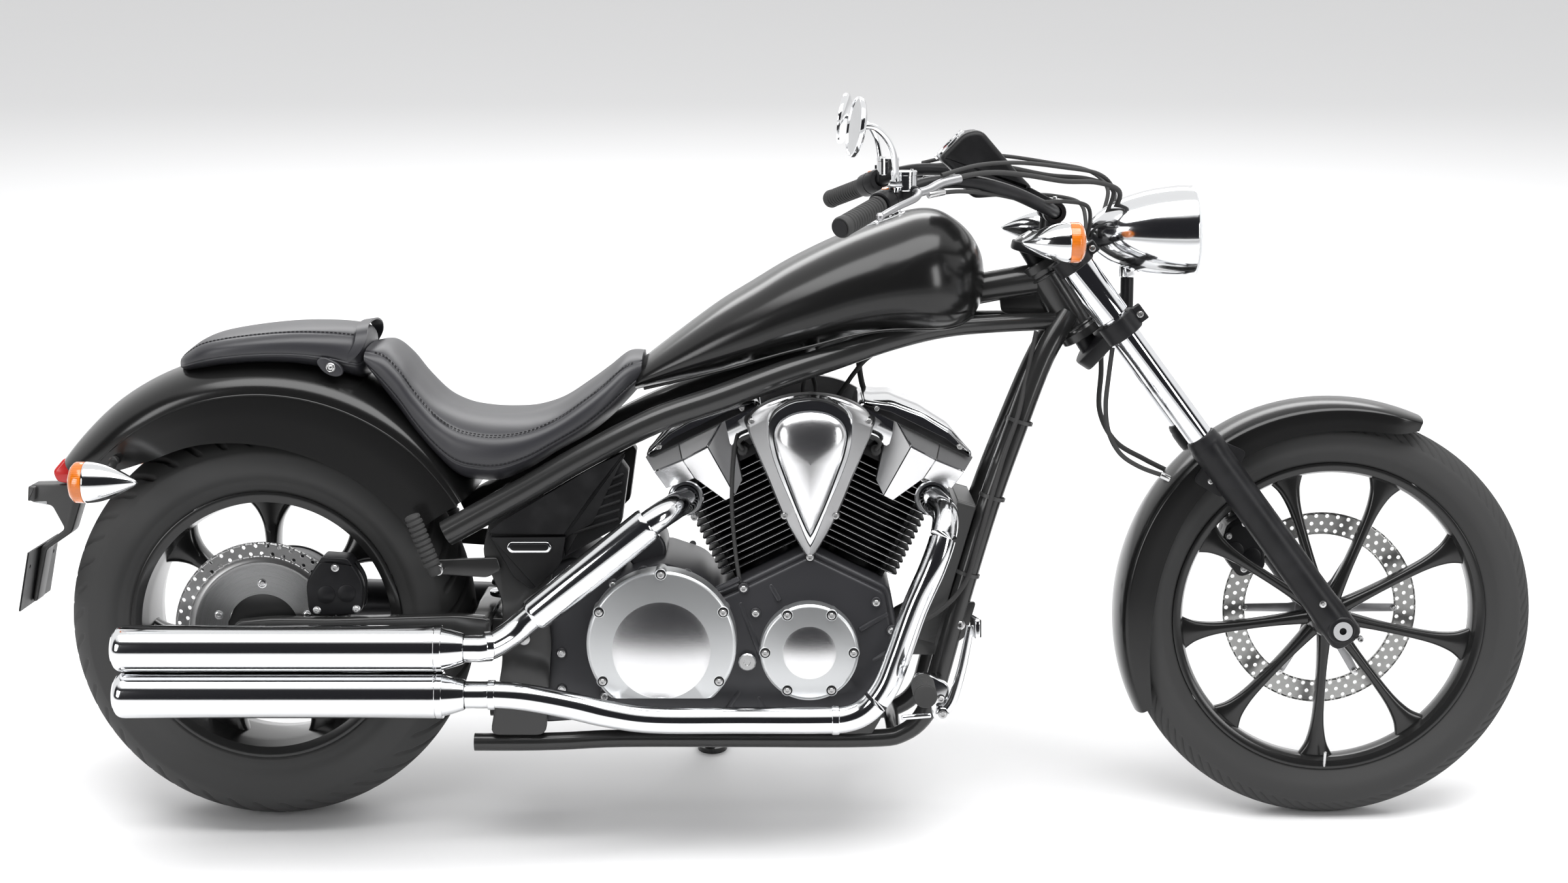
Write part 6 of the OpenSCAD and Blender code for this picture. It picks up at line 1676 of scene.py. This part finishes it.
def build_bars():
    """One bent bar, ribbed grips with end weights, switch housings, levers, fluid cups, cables."""
    f = Form()
    half = spline(BAR, 8)
    f.grid(rounded_tube(np.vstack([mirrored(half)[:0:-1], half]), 11, 28, (0.9, 0, 0.45)))
    make("handlebar_tube", f, "steering", ["fork_black"], ["handlebar"])
    f = Form()
    d = unit(GRIP_OUT - GRIP_IN)
    length = np.linalg.norm(GRIP_OUT - GRIP_IN)
    prof = [(11.3, 0), (16.6, 0), (17, 1.5), (17, 7)]
    for k in range(13):
        z = 8 + k * 7.2
        prof += [(15.2, z), (15.2, z + 1.6), (16.4, z + 2.6), (16.4, z + 6)]
    prof += [(16.8, length - 9), (17, length - 4), (15.6, length), (0, length)]
    f.both(lathe(GRIP_IN, d, prof, 48, (0, 0, 1)), 0, caps=False)
    end = [(0, -1), (12, -1), (13.4, 0.2), (13.4, 2.2), (12, 2.2), (5, 2.2), (4, 2.2), (0, 2.2)]
    f.both(lathe(GRIP_OUT, d, end, 32), 1, caps=False)
    make("grip_pair", f, "steering", ["soft_rubber", "fork_black"], ["grips"])
    f = Form()
    pod = GRIP_IN - 3 * d
    rows = [(11.4, 0), (18.6, 0), (20.4, 1.6), (21, 4), (21, 22), (20.2, 23), (20.2, 24.4),
            (21, 25.4), (21, 44), (19.6, 48), (11.4, 49)]
    f.both(lathe(pod, -d, rows, 40, (0, 0, 1)), 0, turn=True)
    ex = unit(np.cross(d, (0, 0, 1)))
    top = unit(np.cross(ex, d))
    for s, w, up, slot in ((12, 5, 19, 0), (24, 6, 19.5, 3), (36, 4.5, 19, 0)):
        button = [(0, -2), (w, -2), (w, 1.4), (w - 1.2, 2.4), (0, 2.6)]
        f.both(lathe(pod - s * d + up * top, top, button, 16), slot, caps=False)
    # Lever: a blade that leaves its perch and follows the grip to a ball end
    lever = spline([(1072, 318, 1086), (1081, 340, 1085), (1074, 374, 1078), (1048, 410, 1068),
                    (1030, 430, 1060), (1018, 442, 1054)], 8)
    width = np.interp(np.linspace(0, 1, len(lever)), [0, 0.15, 0.8, 1], [7.5, 6, 5, 4.4])
    f.both(rounded_tube(lever, width, 18, (0, 0, 1), edge=3), 1)
    f.both(lathe(lever[-1], (0, 0, 1), [(0, -6.4), (4, -5.6), (6.4, -2), (6.4, 2), (4, 5.6),
                                        (0, 6.4)], 24), 1, caps=False)
    perch = soften([(1040, 1072), (1040, 1094), (1078, 1096), (1088, 1088), (1082, 1076)], 5)
    f.both(prism(perch, 300, 330, 3), 0)
    cup = [(0, 0), (19, 0), (20, 1.5), (20, 24), (20.6, 24.6), (20.6, 30), (19, 32), (6, 32.4),
           (0, 32.4)]
    f.both(lathe((1060, 312, 1087), (0, 0, 1), cup, 48), 2, caps=False)
    f.bolts([(1048, 312, 1118.6), (1072, 312, 1118.6), (1048, -312, 1118.6), (1072, -312, 1118.6)],
            (0, 0, 1), 2.6, 2.4, 4)
    f.both(rounded_tube(spline([(1082, 312, 1084), (1098, 300, 1088), (1120, 282, 1098),
                                (1150, 262, 1104)], 6), 7, 18, edge=2), 1)
    make("bar_control_pair", f, "steering",
         ["fork_black", "cast_alloy", "chrome", "amber_lens", "bolt_zinc"], ["bar_controls"])
    # Cables: out of the controls, forward over the bar's bend and down behind the headlight
    f = Form()
    runs = [
        ([(1096, 300, 1088), (1140, 268, 1104), (1200, 226, 1112), (1262, 172, 1106),
          (1330, 118, 1094), (1390, 74, 1090), (1430, 44, 1074), (1424, 20, 1040),
          (1392, 12, 1006)], 4.2),
        ([(1098, 304, 1080), (1150, 262, 1084), (1214, 208, 1076), (1276, 150, 1062),
          (1336, 100, 1060), (1376, 56, 1050), (1384, 30, 1020), (1380, 16, 996)], 3.4),
        ([(1120, 280, 1110), (1180, 238, 1124), (1250, 178, 1126), (1330, 108, 1116),
          (1392, 66, 1104), (1420, 40, 1078), (1416, 26, 1046), (1400, 14, 1010)], 3.4)]
    for run, r in runs:
        f.both(rounded_tube(spline(run, 8), r, 16, (0, 0, 1), edge=1), 0)
    for y in (1, -1):
        m = [1, y, 1]
        for at, to in (((1096, 300, 1088), (1122, 280, 1098)),
                       ((1098, 304, 1080), (1124, 282, 1084))):
            f.rod(np.array(at) * m, np.array(to) * m, 5.4, 1, 16, 1)
    make("control_cables", f, "steering", ["soft_rubber", "bolt_zinc"])


def build_mirrors():
    """Oval mirrors: a domed chrome back, a rim and glass set in it, on a curved stalk."""
    f = Form()
    c = np.array([978.0, 396, 1188])
    a, b = math.radians(8), math.radians(-8)
    ex = np.array([math.cos(a) * math.cos(b), math.sin(b), -math.sin(a)])
    ey = unit(np.cross((0, 0, 1), ex))
    ez = np.cross(ex, ey)
    t = np.arange(72) * 2 * np.pi / 72
    rim = np.cos(t)[:, None] * 63.5 * ey + np.sin(t)[:, None] * 47 * ez
    rows = [(0.02, 2.4), (0.9, 2.4), (0.925, 2.2), (0.93, 0.6), (0.96, 0), (0.99, 0.8), (1, 3),
            (0.99, 6), (0.93, 9), (0.8, 11.6), (0.55, 13.4), (0.25, 14), (0.02, 14)]
    g = np.stack([c + s * rim + x * ex for s, x in rows])
    f.both(g[:3], 1, caps=True)
    f.both(g[2:], 0, caps=True)
    stalk = spline([(1046, 336, 1086), (1046, 338, 1120), (1036, 350, 1160), (1012, 378, 1186),
                    (986, 396, 1188)], 10)
    f.both(rounded_tube(stalk, 5, 24, (1, 0.3, 0), edge=1.5), 0)
    f.both(lathe((1046, 336, 1094), (0, 0.1, 1), [(5, 0), (10, 0), (10.6, 1), (10.6, 9), (10, 10),
                                                   (5, 10)], 6), 0, turn=True)
    make("mirror_pair", f, "steering", ["chrome", "mirror_glass"], ["mirrors"])


def figures(text, at, ex, ey, size, name):
    """Points and faces of flat figures centred at a point of the plane of ex and ey."""
    curve = bpy.data.curves.new(name, "FONT")
    curve.body, curve.size = text, size
    curve.align_x, curve.align_y = "CENTER", "CENTER"
    curve.extrude = 0.12
    thing = bpy.data.objects.new(name, curve)
    mesh = thing.to_mesh()
    co = np.empty(len(mesh.vertices) * 3)
    mesh.vertices.foreach_get("co", co)
    co = co.reshape(-1, 3)
    faces = [np.array([list(p.vertices)]) for p in mesh.polygons]
    thing.to_mesh_clear()
    bpy.data.objects.remove(thing)
    return at + co[:, :1] * ex + co[:, 1:2] * ey + co[:, 2:] * np.cross(ex, ey), faces


def build_instrument():
    """Instrument pod: a faceted shell with a visor, and a round dial with ticks and figures."""
    f = Form()
    rim = soften([(1150, 1112), (1128, 1128), (1172, 1172), (1200, 1176), (1262, 1104),
                  (1288, 1078), (1240, 1066), (1186, 1062)], 12)
    f.grid(prism(rim, -52, 52, 9), 0)
    f.grid(prism(soften([(1236, 1068), (1284, 1080), (1330, 1056), (1330, 1052.2),
                         (1316, 1052.2)], 4), -18, 18, 2), 0)
    c = np.array([1150.0, 0, 1150])
    n = unit((-44.0, 0, 44))
    ex, ey = np.array([0, -1.0, 0]), unit((44.0, 0, 44))
    bezel = [(0, -2), (33, -2), (33, 2.6), (31.8, 3.8), (30.4, 2.6), (30, 0.6), (0, 0.6)]
    f.grid(lathe(c, n, bezel, 72), 1, caps=False)
    f.grid(lathe(c, n, [(0, 0.7), (29.6, 0.7), (29.6, 1), (0, 1)], 72), 2, caps=False)
    for k in range(29):
        a = math.radians(225 - k * 270 / 28)
        long = k % 4 == 0
        out = math.cos(a) * ex + math.sin(a) * ey
        side = np.cross(n, out)
        r0, w = (24 if long else 26, 0.55 if long else 0.3)
        quad = np.array([[r0, -w], [28.4, -w], [28.4, w], [r0, w]])
        g = np.stack([c + quad[:, :1] * out + quad[:, 1:] * side + h * n for h in (1.0, 1.2)])
        f.grid(g, 3)
        if long:
            p, faces = figures(str(k * 5), c + 19.6 * out + 1.1 * n, ex, ey, 5.2, "figure")
            for q in faces:
                f._add(q + f.count, 3)
            f.points.append(p)
            f.count += len(p)
    a = math.radians(222)
    tip = c + 22 * (math.cos(a) * ex + math.sin(a) * ey) + 2 * n
    f.rod(c + 1.6 * n, tip, 0.9, 4, 8, 0.3, 0.35)
    f.grid(lathe(c, n, [(0, 1), (4, 1), (4, 3), (3, 3.8), (0, 4)], 24), 0, caps=False)
    make("instrument_pod", f, "steering",
         ["satin_black", "chrome", "dial_face", "dial_marks", "red_lens"], ["instrument"])


LAMP_Z = 1003


def build_headlight():
    """Oval headlight: a chrome shell that folds in at its rim to a reflector bowl, a trim ring,
    bulb and domed lens."""
    f = Form()
    shell = spline([(1384, 0.18), (1400, 0.42), (1430, 0.68), (1480, 0.9), (1530, 1), (1556, 1),
                    (1560, 0.985)], 6)
    bowl = [(1560, 0.93), (1556, 0.9), (1536, 0.8), (1512, 0.62), (1494, 0.4), (1486, 0.16)]
    rows = np.vstack([shell, bowl])
    x, s = rows[:, 0], rows[:, 1]
    f.grid(oval(x, 84 * s, LAMP_Z - 78 * s, LAMP_Z + 78 * s, 72, 0.95), 0)
    f.rod((1452, 0, 928), (1452, 0, 955), 14, 0, 36, 2)
    f.rod((1488, 0, LAMP_Z), (1524, 0, LAMP_Z), 9, 1, 24, 7)
    f.grid(lathe((1556, 0, LAMP_Z), (1, 0, 0), [(76, -2), (78.4, 0), (79, 2.4), (77.4, 4.6),
                                                (74.6, 5), (74, 3)], 96, (0, 1, 0)), 0, turn=True)
    make("headlight_shell", f, "steering", ["chrome", "clear_lens"], ["headlight"])
    f = Form()
    t = np.linspace(0, 1, 12)
    front = np.stack([74 * np.cos(t * np.pi / 2), 4.4 + 13.2 * np.sin(t * np.pi / 2)], 1)
    back = np.stack([72 * np.cos(t[::-1] * np.pi / 2), 1.6 + 13 * np.sin(t[::-1] * np.pi / 2)], 1)
    prof = np.vstack([front, back])
    for rows in (prof, [prof[-1], prof[0]]):
        f.grid(lathe((1560, 0, LAMP_Z), (1, 0, 0), rows, 72, (0, 1, 0)), 0, caps=False)
    make("headlight_glass", f, "steering", ["clear_lens"], ["headlight_lens"])


def build_front_lamps():
    """Bullet indicators on their stalks beside the upper yoke."""
    f = Form()
    for y in (1, -1):
        bullet(f, np.array([1332, 196.0 * y, 999]), -1, 1254, 33)
        p = leg_at(765)
        f.rod(p + [0, 138.4 * y, 0], p + [0, 153 * y, 0], 8, 2)
        f.rod(p + [0, 147 * y, 0], (1326, 168 * y, 992), 7.5, 2, edge=2)
    make("front_indicators", f, "steering", ["chrome", "amber_lens", "fork_black"],
         ["front_signals"])


# ---- Footrests and stand -----------------------------------------------------------

def footrest(f, y, reach):
    """Forward bracket with a rubber-ringed peg; y is 1 on the left and -1 on the right."""
    rim = soften([(1084, 300), (1104, 304), (1142, 284), (1142, 226), (1116, 226), (1110, 262),
                  (1086, 276)], 10)
    f.grid(prism(rim, reach * y, (reach + 20) * y, 3), 0)
    f.rod((1128, 120.3 * y, 262), (1128, (reach + 1) * y, 262), 12, 0, 28)
    f.bolts([(1128, (reach + 20) * y, 262), (1126, (reach + 20) * y, 240)], (0, y, 0), 5.5, 6, 2)
    prof = [(0, 0), (12, 0), (14, 2), (14, 6), (17.6, 8)]
    z = 8.0
    for _ in range(8):
        prof += [(19, z + 1), (19, z + 6.5), (17, z + 7.5), (17, z + 9)]
        z += 9.6
    prof += [(19, z + 1), (19, 85), (17.6, 88), (12, 89.6), (0, 89.7)]
    f.grid(lathe((1098, (reach + 20.3) * y, 287), (0, y, 0), prof, 40), 1, caps=False)
    f.grid(lathe((1098, (reach + 20) * y, 287), (0, y, 0),
                 [(0, 0.1), (15, 0.1), (15, 5), (0, 5)], 32), 0, caps=False)


def build_foot_controls():
    """Forward controls: the brake pedal on the right and the shift lever on the left."""
    f = Form()
    footrest(f, -1, 236)
    arm = spline([(1130, -264, 240), (1146, -264, 262), (1160, -264, 310), (1168, -264, 350),
                  (1174, -264, 384)], 8)
    f.grid(rounded_tube(arm, np.linspace(9, 6.5, len(arm)), 24, edge=2), 0)
    pad = soften([(-26, -17), (26, -17), (26, 17), (-26, 17)], 9)
    ex = unit(np.array([6.0, -60, 4]))
    ey = unit(np.cross(np.cross(ex, (0, 0, 1)), ex))
    sole = np.array([1179, -286.0, 388])
    f.grid(plate_on(sole, ex, ey, pad, -5, 3, 2), 0)
    for x in range(-22, 19, 8):
        rib = soften([(x, -14), (x + 4, -14), (x + 4, 14), (x, 14)], 1)
        f.grid(plate_on(sole, ex, ey, rib, -7.4, -4, 0.8), 1)
    f.rod((1130, -274, 240), (1130, -256.3, 240), 11, 0, 28, 2)
    f.rod((1112, -262, 236), (1064, -262, 232), 4, 0, 14, 2)
    f.bolts([(1130, -274, 240)], (0, -1, 0), 5.5, 4, 2)
    make("right_foot_control", f, "chassis", ["chrome", "soft_rubber", "bolt_zinc"],
         ["right_foot_controls"])
    f = Form()
    footrest(f, 1, 196)
    arm = spline([(1130, 224, 240), (1150, 224, 268), (1168, 224, 320), (1180, 224, 372)], 8)
    f.grid(rounded_tube(arm, np.linspace(8.5, 6, len(arm)), 24, edge=2), 0)
    f.rod((1182, 218, 376), (1182, 268, 376), 10, 1, 28, 3)
    f.rod((1130, 216.3, 240), (1130, 234, 240), 11, 0, 28, 2)
    f.bolts([(1130, 234, 240)], (0, 1, 0), 5.5, 4, 2)
    make("left_foot_control", f, "chassis", ["chrome", "soft_rubber", "bolt_zinc"],
         ["left_foot_controls"])


def build_stand():
    """The stand keeps its packed shape under a frame finish."""
    coat_node("side_stand", "frame_black")


# Vent hose, clutch cable, breather and starter lead, as (points, radius, sides)
LOOSE_RUNS = [
    ([(1062, -22, 834), (1040, -24, 812), (1010, -26, 790), (990, -24, 766), (974, -20, 742),
      (960, -14, 722)], 4, 16),
    ([(1296, -40, 840), (1278, -60, 760), (1262, -84, 700), (1240, -96, 640), (1222, -104, 580),
      (1196, -112, 490), (1172, -118, 420), (1120, -128, 372), (1060, -140, 352)], 4, 16),
    ([(820, -60, 760), (800, -90, 700), (790, -100, 640), (786, -108, 560), (792, -120, 480),
      (800, -138, 430)], 3.4, 14),
    ([(1000, 60, 790), (1010, 90, 730), (1040, 118, 660), (1060, 124, 600), (1050, 128, 500),
      (1020, 132, 420)], 5, 16)]


def build_small_parts():
    """Hoses, leads and ties the packed model leaves out."""
    f = Form()
    runs = list(LOOSE_RUNS)
    for side in (-1, 1):
        cap = bank_point(side, -42, 338, -108)
        runs.append(([cap + [0, 0, 6], cap + [0, -6, 26], (915 + side * 20, -112, 700),
                      (915 + side * 10, -70, 752), (915, -20, 782)], 3.6, 14))
    for points, r, sides in runs:
        f.grid(rounded_tube(spline(points, 8), r, sides, edge=1), 0)
    # Ties that hold the cable to the downtube
    for x, z, y in ((1268, 692, -66), (1222, 566, -81), (1180, 438, -92)):
        f.grid(lathe((x, y, z), (0.3, 0, 1), [(20.5, -3), (22.5, -3), (22.5, 3), (20.5, 3)], 32), 1,
               turn=True)
    make("hoses_and_wires", f, "chassis", ["soft_rubber", "black_plastic"])


# ---- Stage ---------------------------------------------------------------------------

def soft_light(name, at, aim, size, power):
    """Rectangular lamp at a point, turned to face aim."""
    data = bpy.data.lights.new(name, "AREA")
    data.shape, data.size, data.size_y = "RECTANGLE", size[0], size[1]
    data.energy = power
    lamp = bpy.data.objects.new(name, data)
    bpy.context.scene.collection.objects.link(lamp)
    z = unit(np.subtract(at, aim))
    x = unit(np.cross((0, 0, 1), z)) if abs(z[2]) < 0.99 else np.array([1.0, 0, 0])
    y = np.cross(z, x)
    lamp.matrix_world = Matrix([[x[i], y[i], z[i], at[i]] for i in range(3)] + [[0, 0, 0, 1]])


# Shares of the dark wall in the room light, as (axis, where it is 0, where it is 1)
DARK_WALL = [("Y", -0.05, -0.25), ("Z", 0.82, 0.74), ("Z", -0.02, 0.0)]


def room_light():
    """White room with a dark wall in front of the machine, for the chrome to mirror between the
    ceiling and the floor. The wall is the product of its shares."""
    world = bpy.data.worlds.new("studio_room")
    bpy.context.scene.world = world
    world.use_nodes = True
    tree = world.node_tree
    split = tree.nodes.new("ShaderNodeSeparateXYZ")
    coords = tree.nodes.new("ShaderNodeTexCoord")
    tree.links.new(coords.outputs["Generated"], split.inputs["Vector"])
    dark = None
    for axis, start, end in DARK_WALL:
        share = tree.nodes.new("ShaderNodeMapRange")
        share.inputs["From Min"].default_value, share.inputs["From Max"].default_value = start, end
        tree.links.new(split.outputs[axis], share.inputs["Value"])
        if dark is None:
            dark = share.outputs["Result"]
            continue
        product = tree.nodes.new("ShaderNodeMath")
        product.operation = "MULTIPLY"
        tree.links.new(dark, product.inputs[0])
        tree.links.new(share.outputs["Result"], product.inputs[1])
        dark = product.outputs[0]
    mix = tree.nodes.new("ShaderNodeMixRGB")
    mix.inputs["Color1"].default_value = (1, 1, 1, 1)
    mix.inputs["Color2"].default_value = (0.02, 0.02, 0.023, 1)
    tree.links.new(dark, mix.inputs["Fac"])
    tree.links.new(mix.outputs["Color"], tree.nodes["Background"].inputs["Color"])
    tree.nodes["Background"].inputs["Strength"].default_value = 1.0


def build_stage():
    """Pale floor that runs out under the machine, soft lights, the room and the camera."""
    scene = bpy.context.scene
    tone = tuple(LOOKS.floor)
    scene.view_settings.view_transform = "Standard"
    mesh = bpy.data.meshes.new("studio_floor")
    mesh.from_pydata([(-26, -14, 0), (26, -14, 0), (26, 26, 0), (-26, 26, 0)], [], [(0, 1, 2, 3)])
    p = Paint("studio_paper", specular_ior_level=0.15)
    mottle = p.noise(0.8, 2)
    p.blend(mottle, tuple(c * 0.985 for c in tone), tone)
    p.set("Roughness", mottle * 0.1 + 0.78)
    mesh.materials.append(p.material)
    floor = bpy.data.objects.new("studio_floor", mesh)
    scene.collection.objects.link(floor)
    soft_light("overhead", (0.2, -0.9, 4.4), (0, 0, 0.4), (6.0, 2.6), 260)
    soft_light("front_left", (-3.8, -4.2, 2.4), (-0.3, 0, 0.5), (1.4, 2.4), 70)
    soft_light("front_right", (4.2, -3.4, 2.2), (0.4, 0, 0.5), (1.0, 2.4), 60)
    soft_light("behind", (0, 4.6, 3.2), (0, 0, 0.6), (6.0, 1.4), 110)
    room_light()
    data = bpy.data.cameras.new("studio_camera")
    data.lens, data.sensor_width = SIZES.lens_mm, 36
    data.clip_start, data.clip_end = 0.05, 60
    camera = bpy.data.objects.new("studio_camera", data)
    scene.collection.objects.link(camera)
    camera.location = place((873, -4280, 1268))
    camera.rotation_euler = (math.radians(71.75), 0, 0)
    scene.camera = camera


# ---- Operators and panel -----------------------------------------------------------------

STEPS = [
    ("upper_frame", "Seat rails and steering head", "Frame tubes over the engine",
     build_upper_frame),
    ("cradle", "Cradle", "Downtubes, lower rails and hangers", build_cradle),
    ("tank", "Fuel tank", "Tank shell and its cap", build_tank),
    ("rear_fender", "Rear fender", "Rear fender shell", build_rear_fender),
    ("front_fender", "Front fender", "Front fender shell and brackets", build_front_fender),
    ("side_covers", "Side covers", "Faceted side covers with bare badges", build_side_covers),
    ("rider_seat", "Rider seat", "Padded rider seat with its seams", build_rider_seat),
    ("passenger_seat", "Passenger seat", "Rear pad and strap", build_passenger_seat),
    ("crankcase", "Crankcase", "Cast case with ribs and bolts", build_crankcase),
    ("cylinders", "Cylinders", "Finned barrels", build_cylinders),
    ("head_covers", "Head covers", "Chromed covers over the heads", build_head_covers),
    ("teardrops", "Teardrop covers", "Domed covers between the cylinders", build_teardrops),
    ("covers", "Engine covers", "Round covers on both sides", build_covers),
    ("intake", "Air box", "Air box and stubs", build_intake),
    ("radiator", "Radiator", "Core and frame", build_radiator),
    ("exhausts", "Exhausts", "Headers and silencers", build_exhausts),
    ("swingarm", "Swingarm and drive", "Arm, drive casting, spring and pegs", build_swingarm),
    ("rear_lamps", "Rear lamps", "Tail lamp, bracket and indicators", build_rear_lamps),
    ("rear_caliper", "Rear caliper", "Caliper over the rear disc", build_rear_caliper),
    ("wheels", "Wheels and tyres", "Cast wheels and treaded tyres", build_wheels),
    ("discs", "Brake discs", "Drilled discs on their carriers", build_discs),
    ("fork", "Fork", "Sliders, tubes and yokes", build_fork),
    ("front_brake", "Front brake", "Caliper and hoses", build_front_brake),
    ("bars", "Handlebar and controls", "Bar, grips, levers and cables", build_bars),
    ("mirrors", "Mirrors", "Mirrors on their stalks", build_mirrors),
    ("instrument", "Instrument", "Pod and dial", build_instrument),
    ("headlight", "Headlight", "Shell, reflector and lens", build_headlight),
    ("front_lamps", "Front indicators", "Bullet lamps at the yoke", build_front_lamps),
    ("foot_controls", "Foot controls", "Forward pegs, pedal and lever", build_foot_controls),
    ("stand", "Side stand", "Finish of the side stand", build_stand),
    ("small_parts", "Hoses and wires", "Hoses, leads and ties", build_small_parts),
    ("stage", "Studio", "Floor, lights and camera", build_stage),
]


def operator_for(key, label, note, work):
    """An operator class that runs one step; a fault in the step is raised, not swallowed."""
    def execute(self, context):
        global LOOKS, SIZES
        LOOKS, SIZES = context.scene.chopper_looks, context.scene.chopper_sizes
        work()
        return {"FINISHED"}

    return type(f"CHOPPER_OT_{key}", (bpy.types.Operator,), {
        "__doc__": note, "bl_idname": f"chopper.{key}", "bl_label": label,
        "bl_options": {"REGISTER", "UNDO"}, "execute": execute})


OPERATORS = [operator_for(*step) for step in STEPS]


class CHOPPER_PT_parts(bpy.types.Panel):
    """Lists the chopper's sizes, colours and building steps"""

    bl_idname = "CHOPPER_PT_parts"
    bl_label = "Chopper motorcycle"
    bl_space_type = "VIEW_3D"
    bl_region_type = "UI"
    bl_category = "Chopper"

    def draw(self, context):
        column = self.layout.column()
        for group in (context.scene.chopper_looks, context.scene.chopper_sizes):
            for name in group.bl_rna.properties.keys()[2:]:
                column.prop(group, name)
        for cls in OPERATORS:
            column.operator(cls.bl_idname)


CLASSES = [ChopperLooks, ChopperSizes, *OPERATORS, CHOPPER_PT_parts]


def register():
    for cls in CLASSES:
        bpy.utils.register_class(cls)
    bpy.types.Scene.chopper_looks = PointerProperty(type=ChopperLooks)
    bpy.types.Scene.chopper_sizes = PointerProperty(type=ChopperSizes)


def unregister():
    del bpy.types.Scene.chopper_looks, bpy.types.Scene.chopper_sizes
    for cls in reversed(CLASSES):
        bpy.utils.unregister_class(cls)


def main():
    """Runs every step in order and writes both boxes, in metres."""
    register()
    for key, *_ in STEPS:
        getattr(bpy.ops.chopper, key)()


if __name__ == "__main__":
    main()
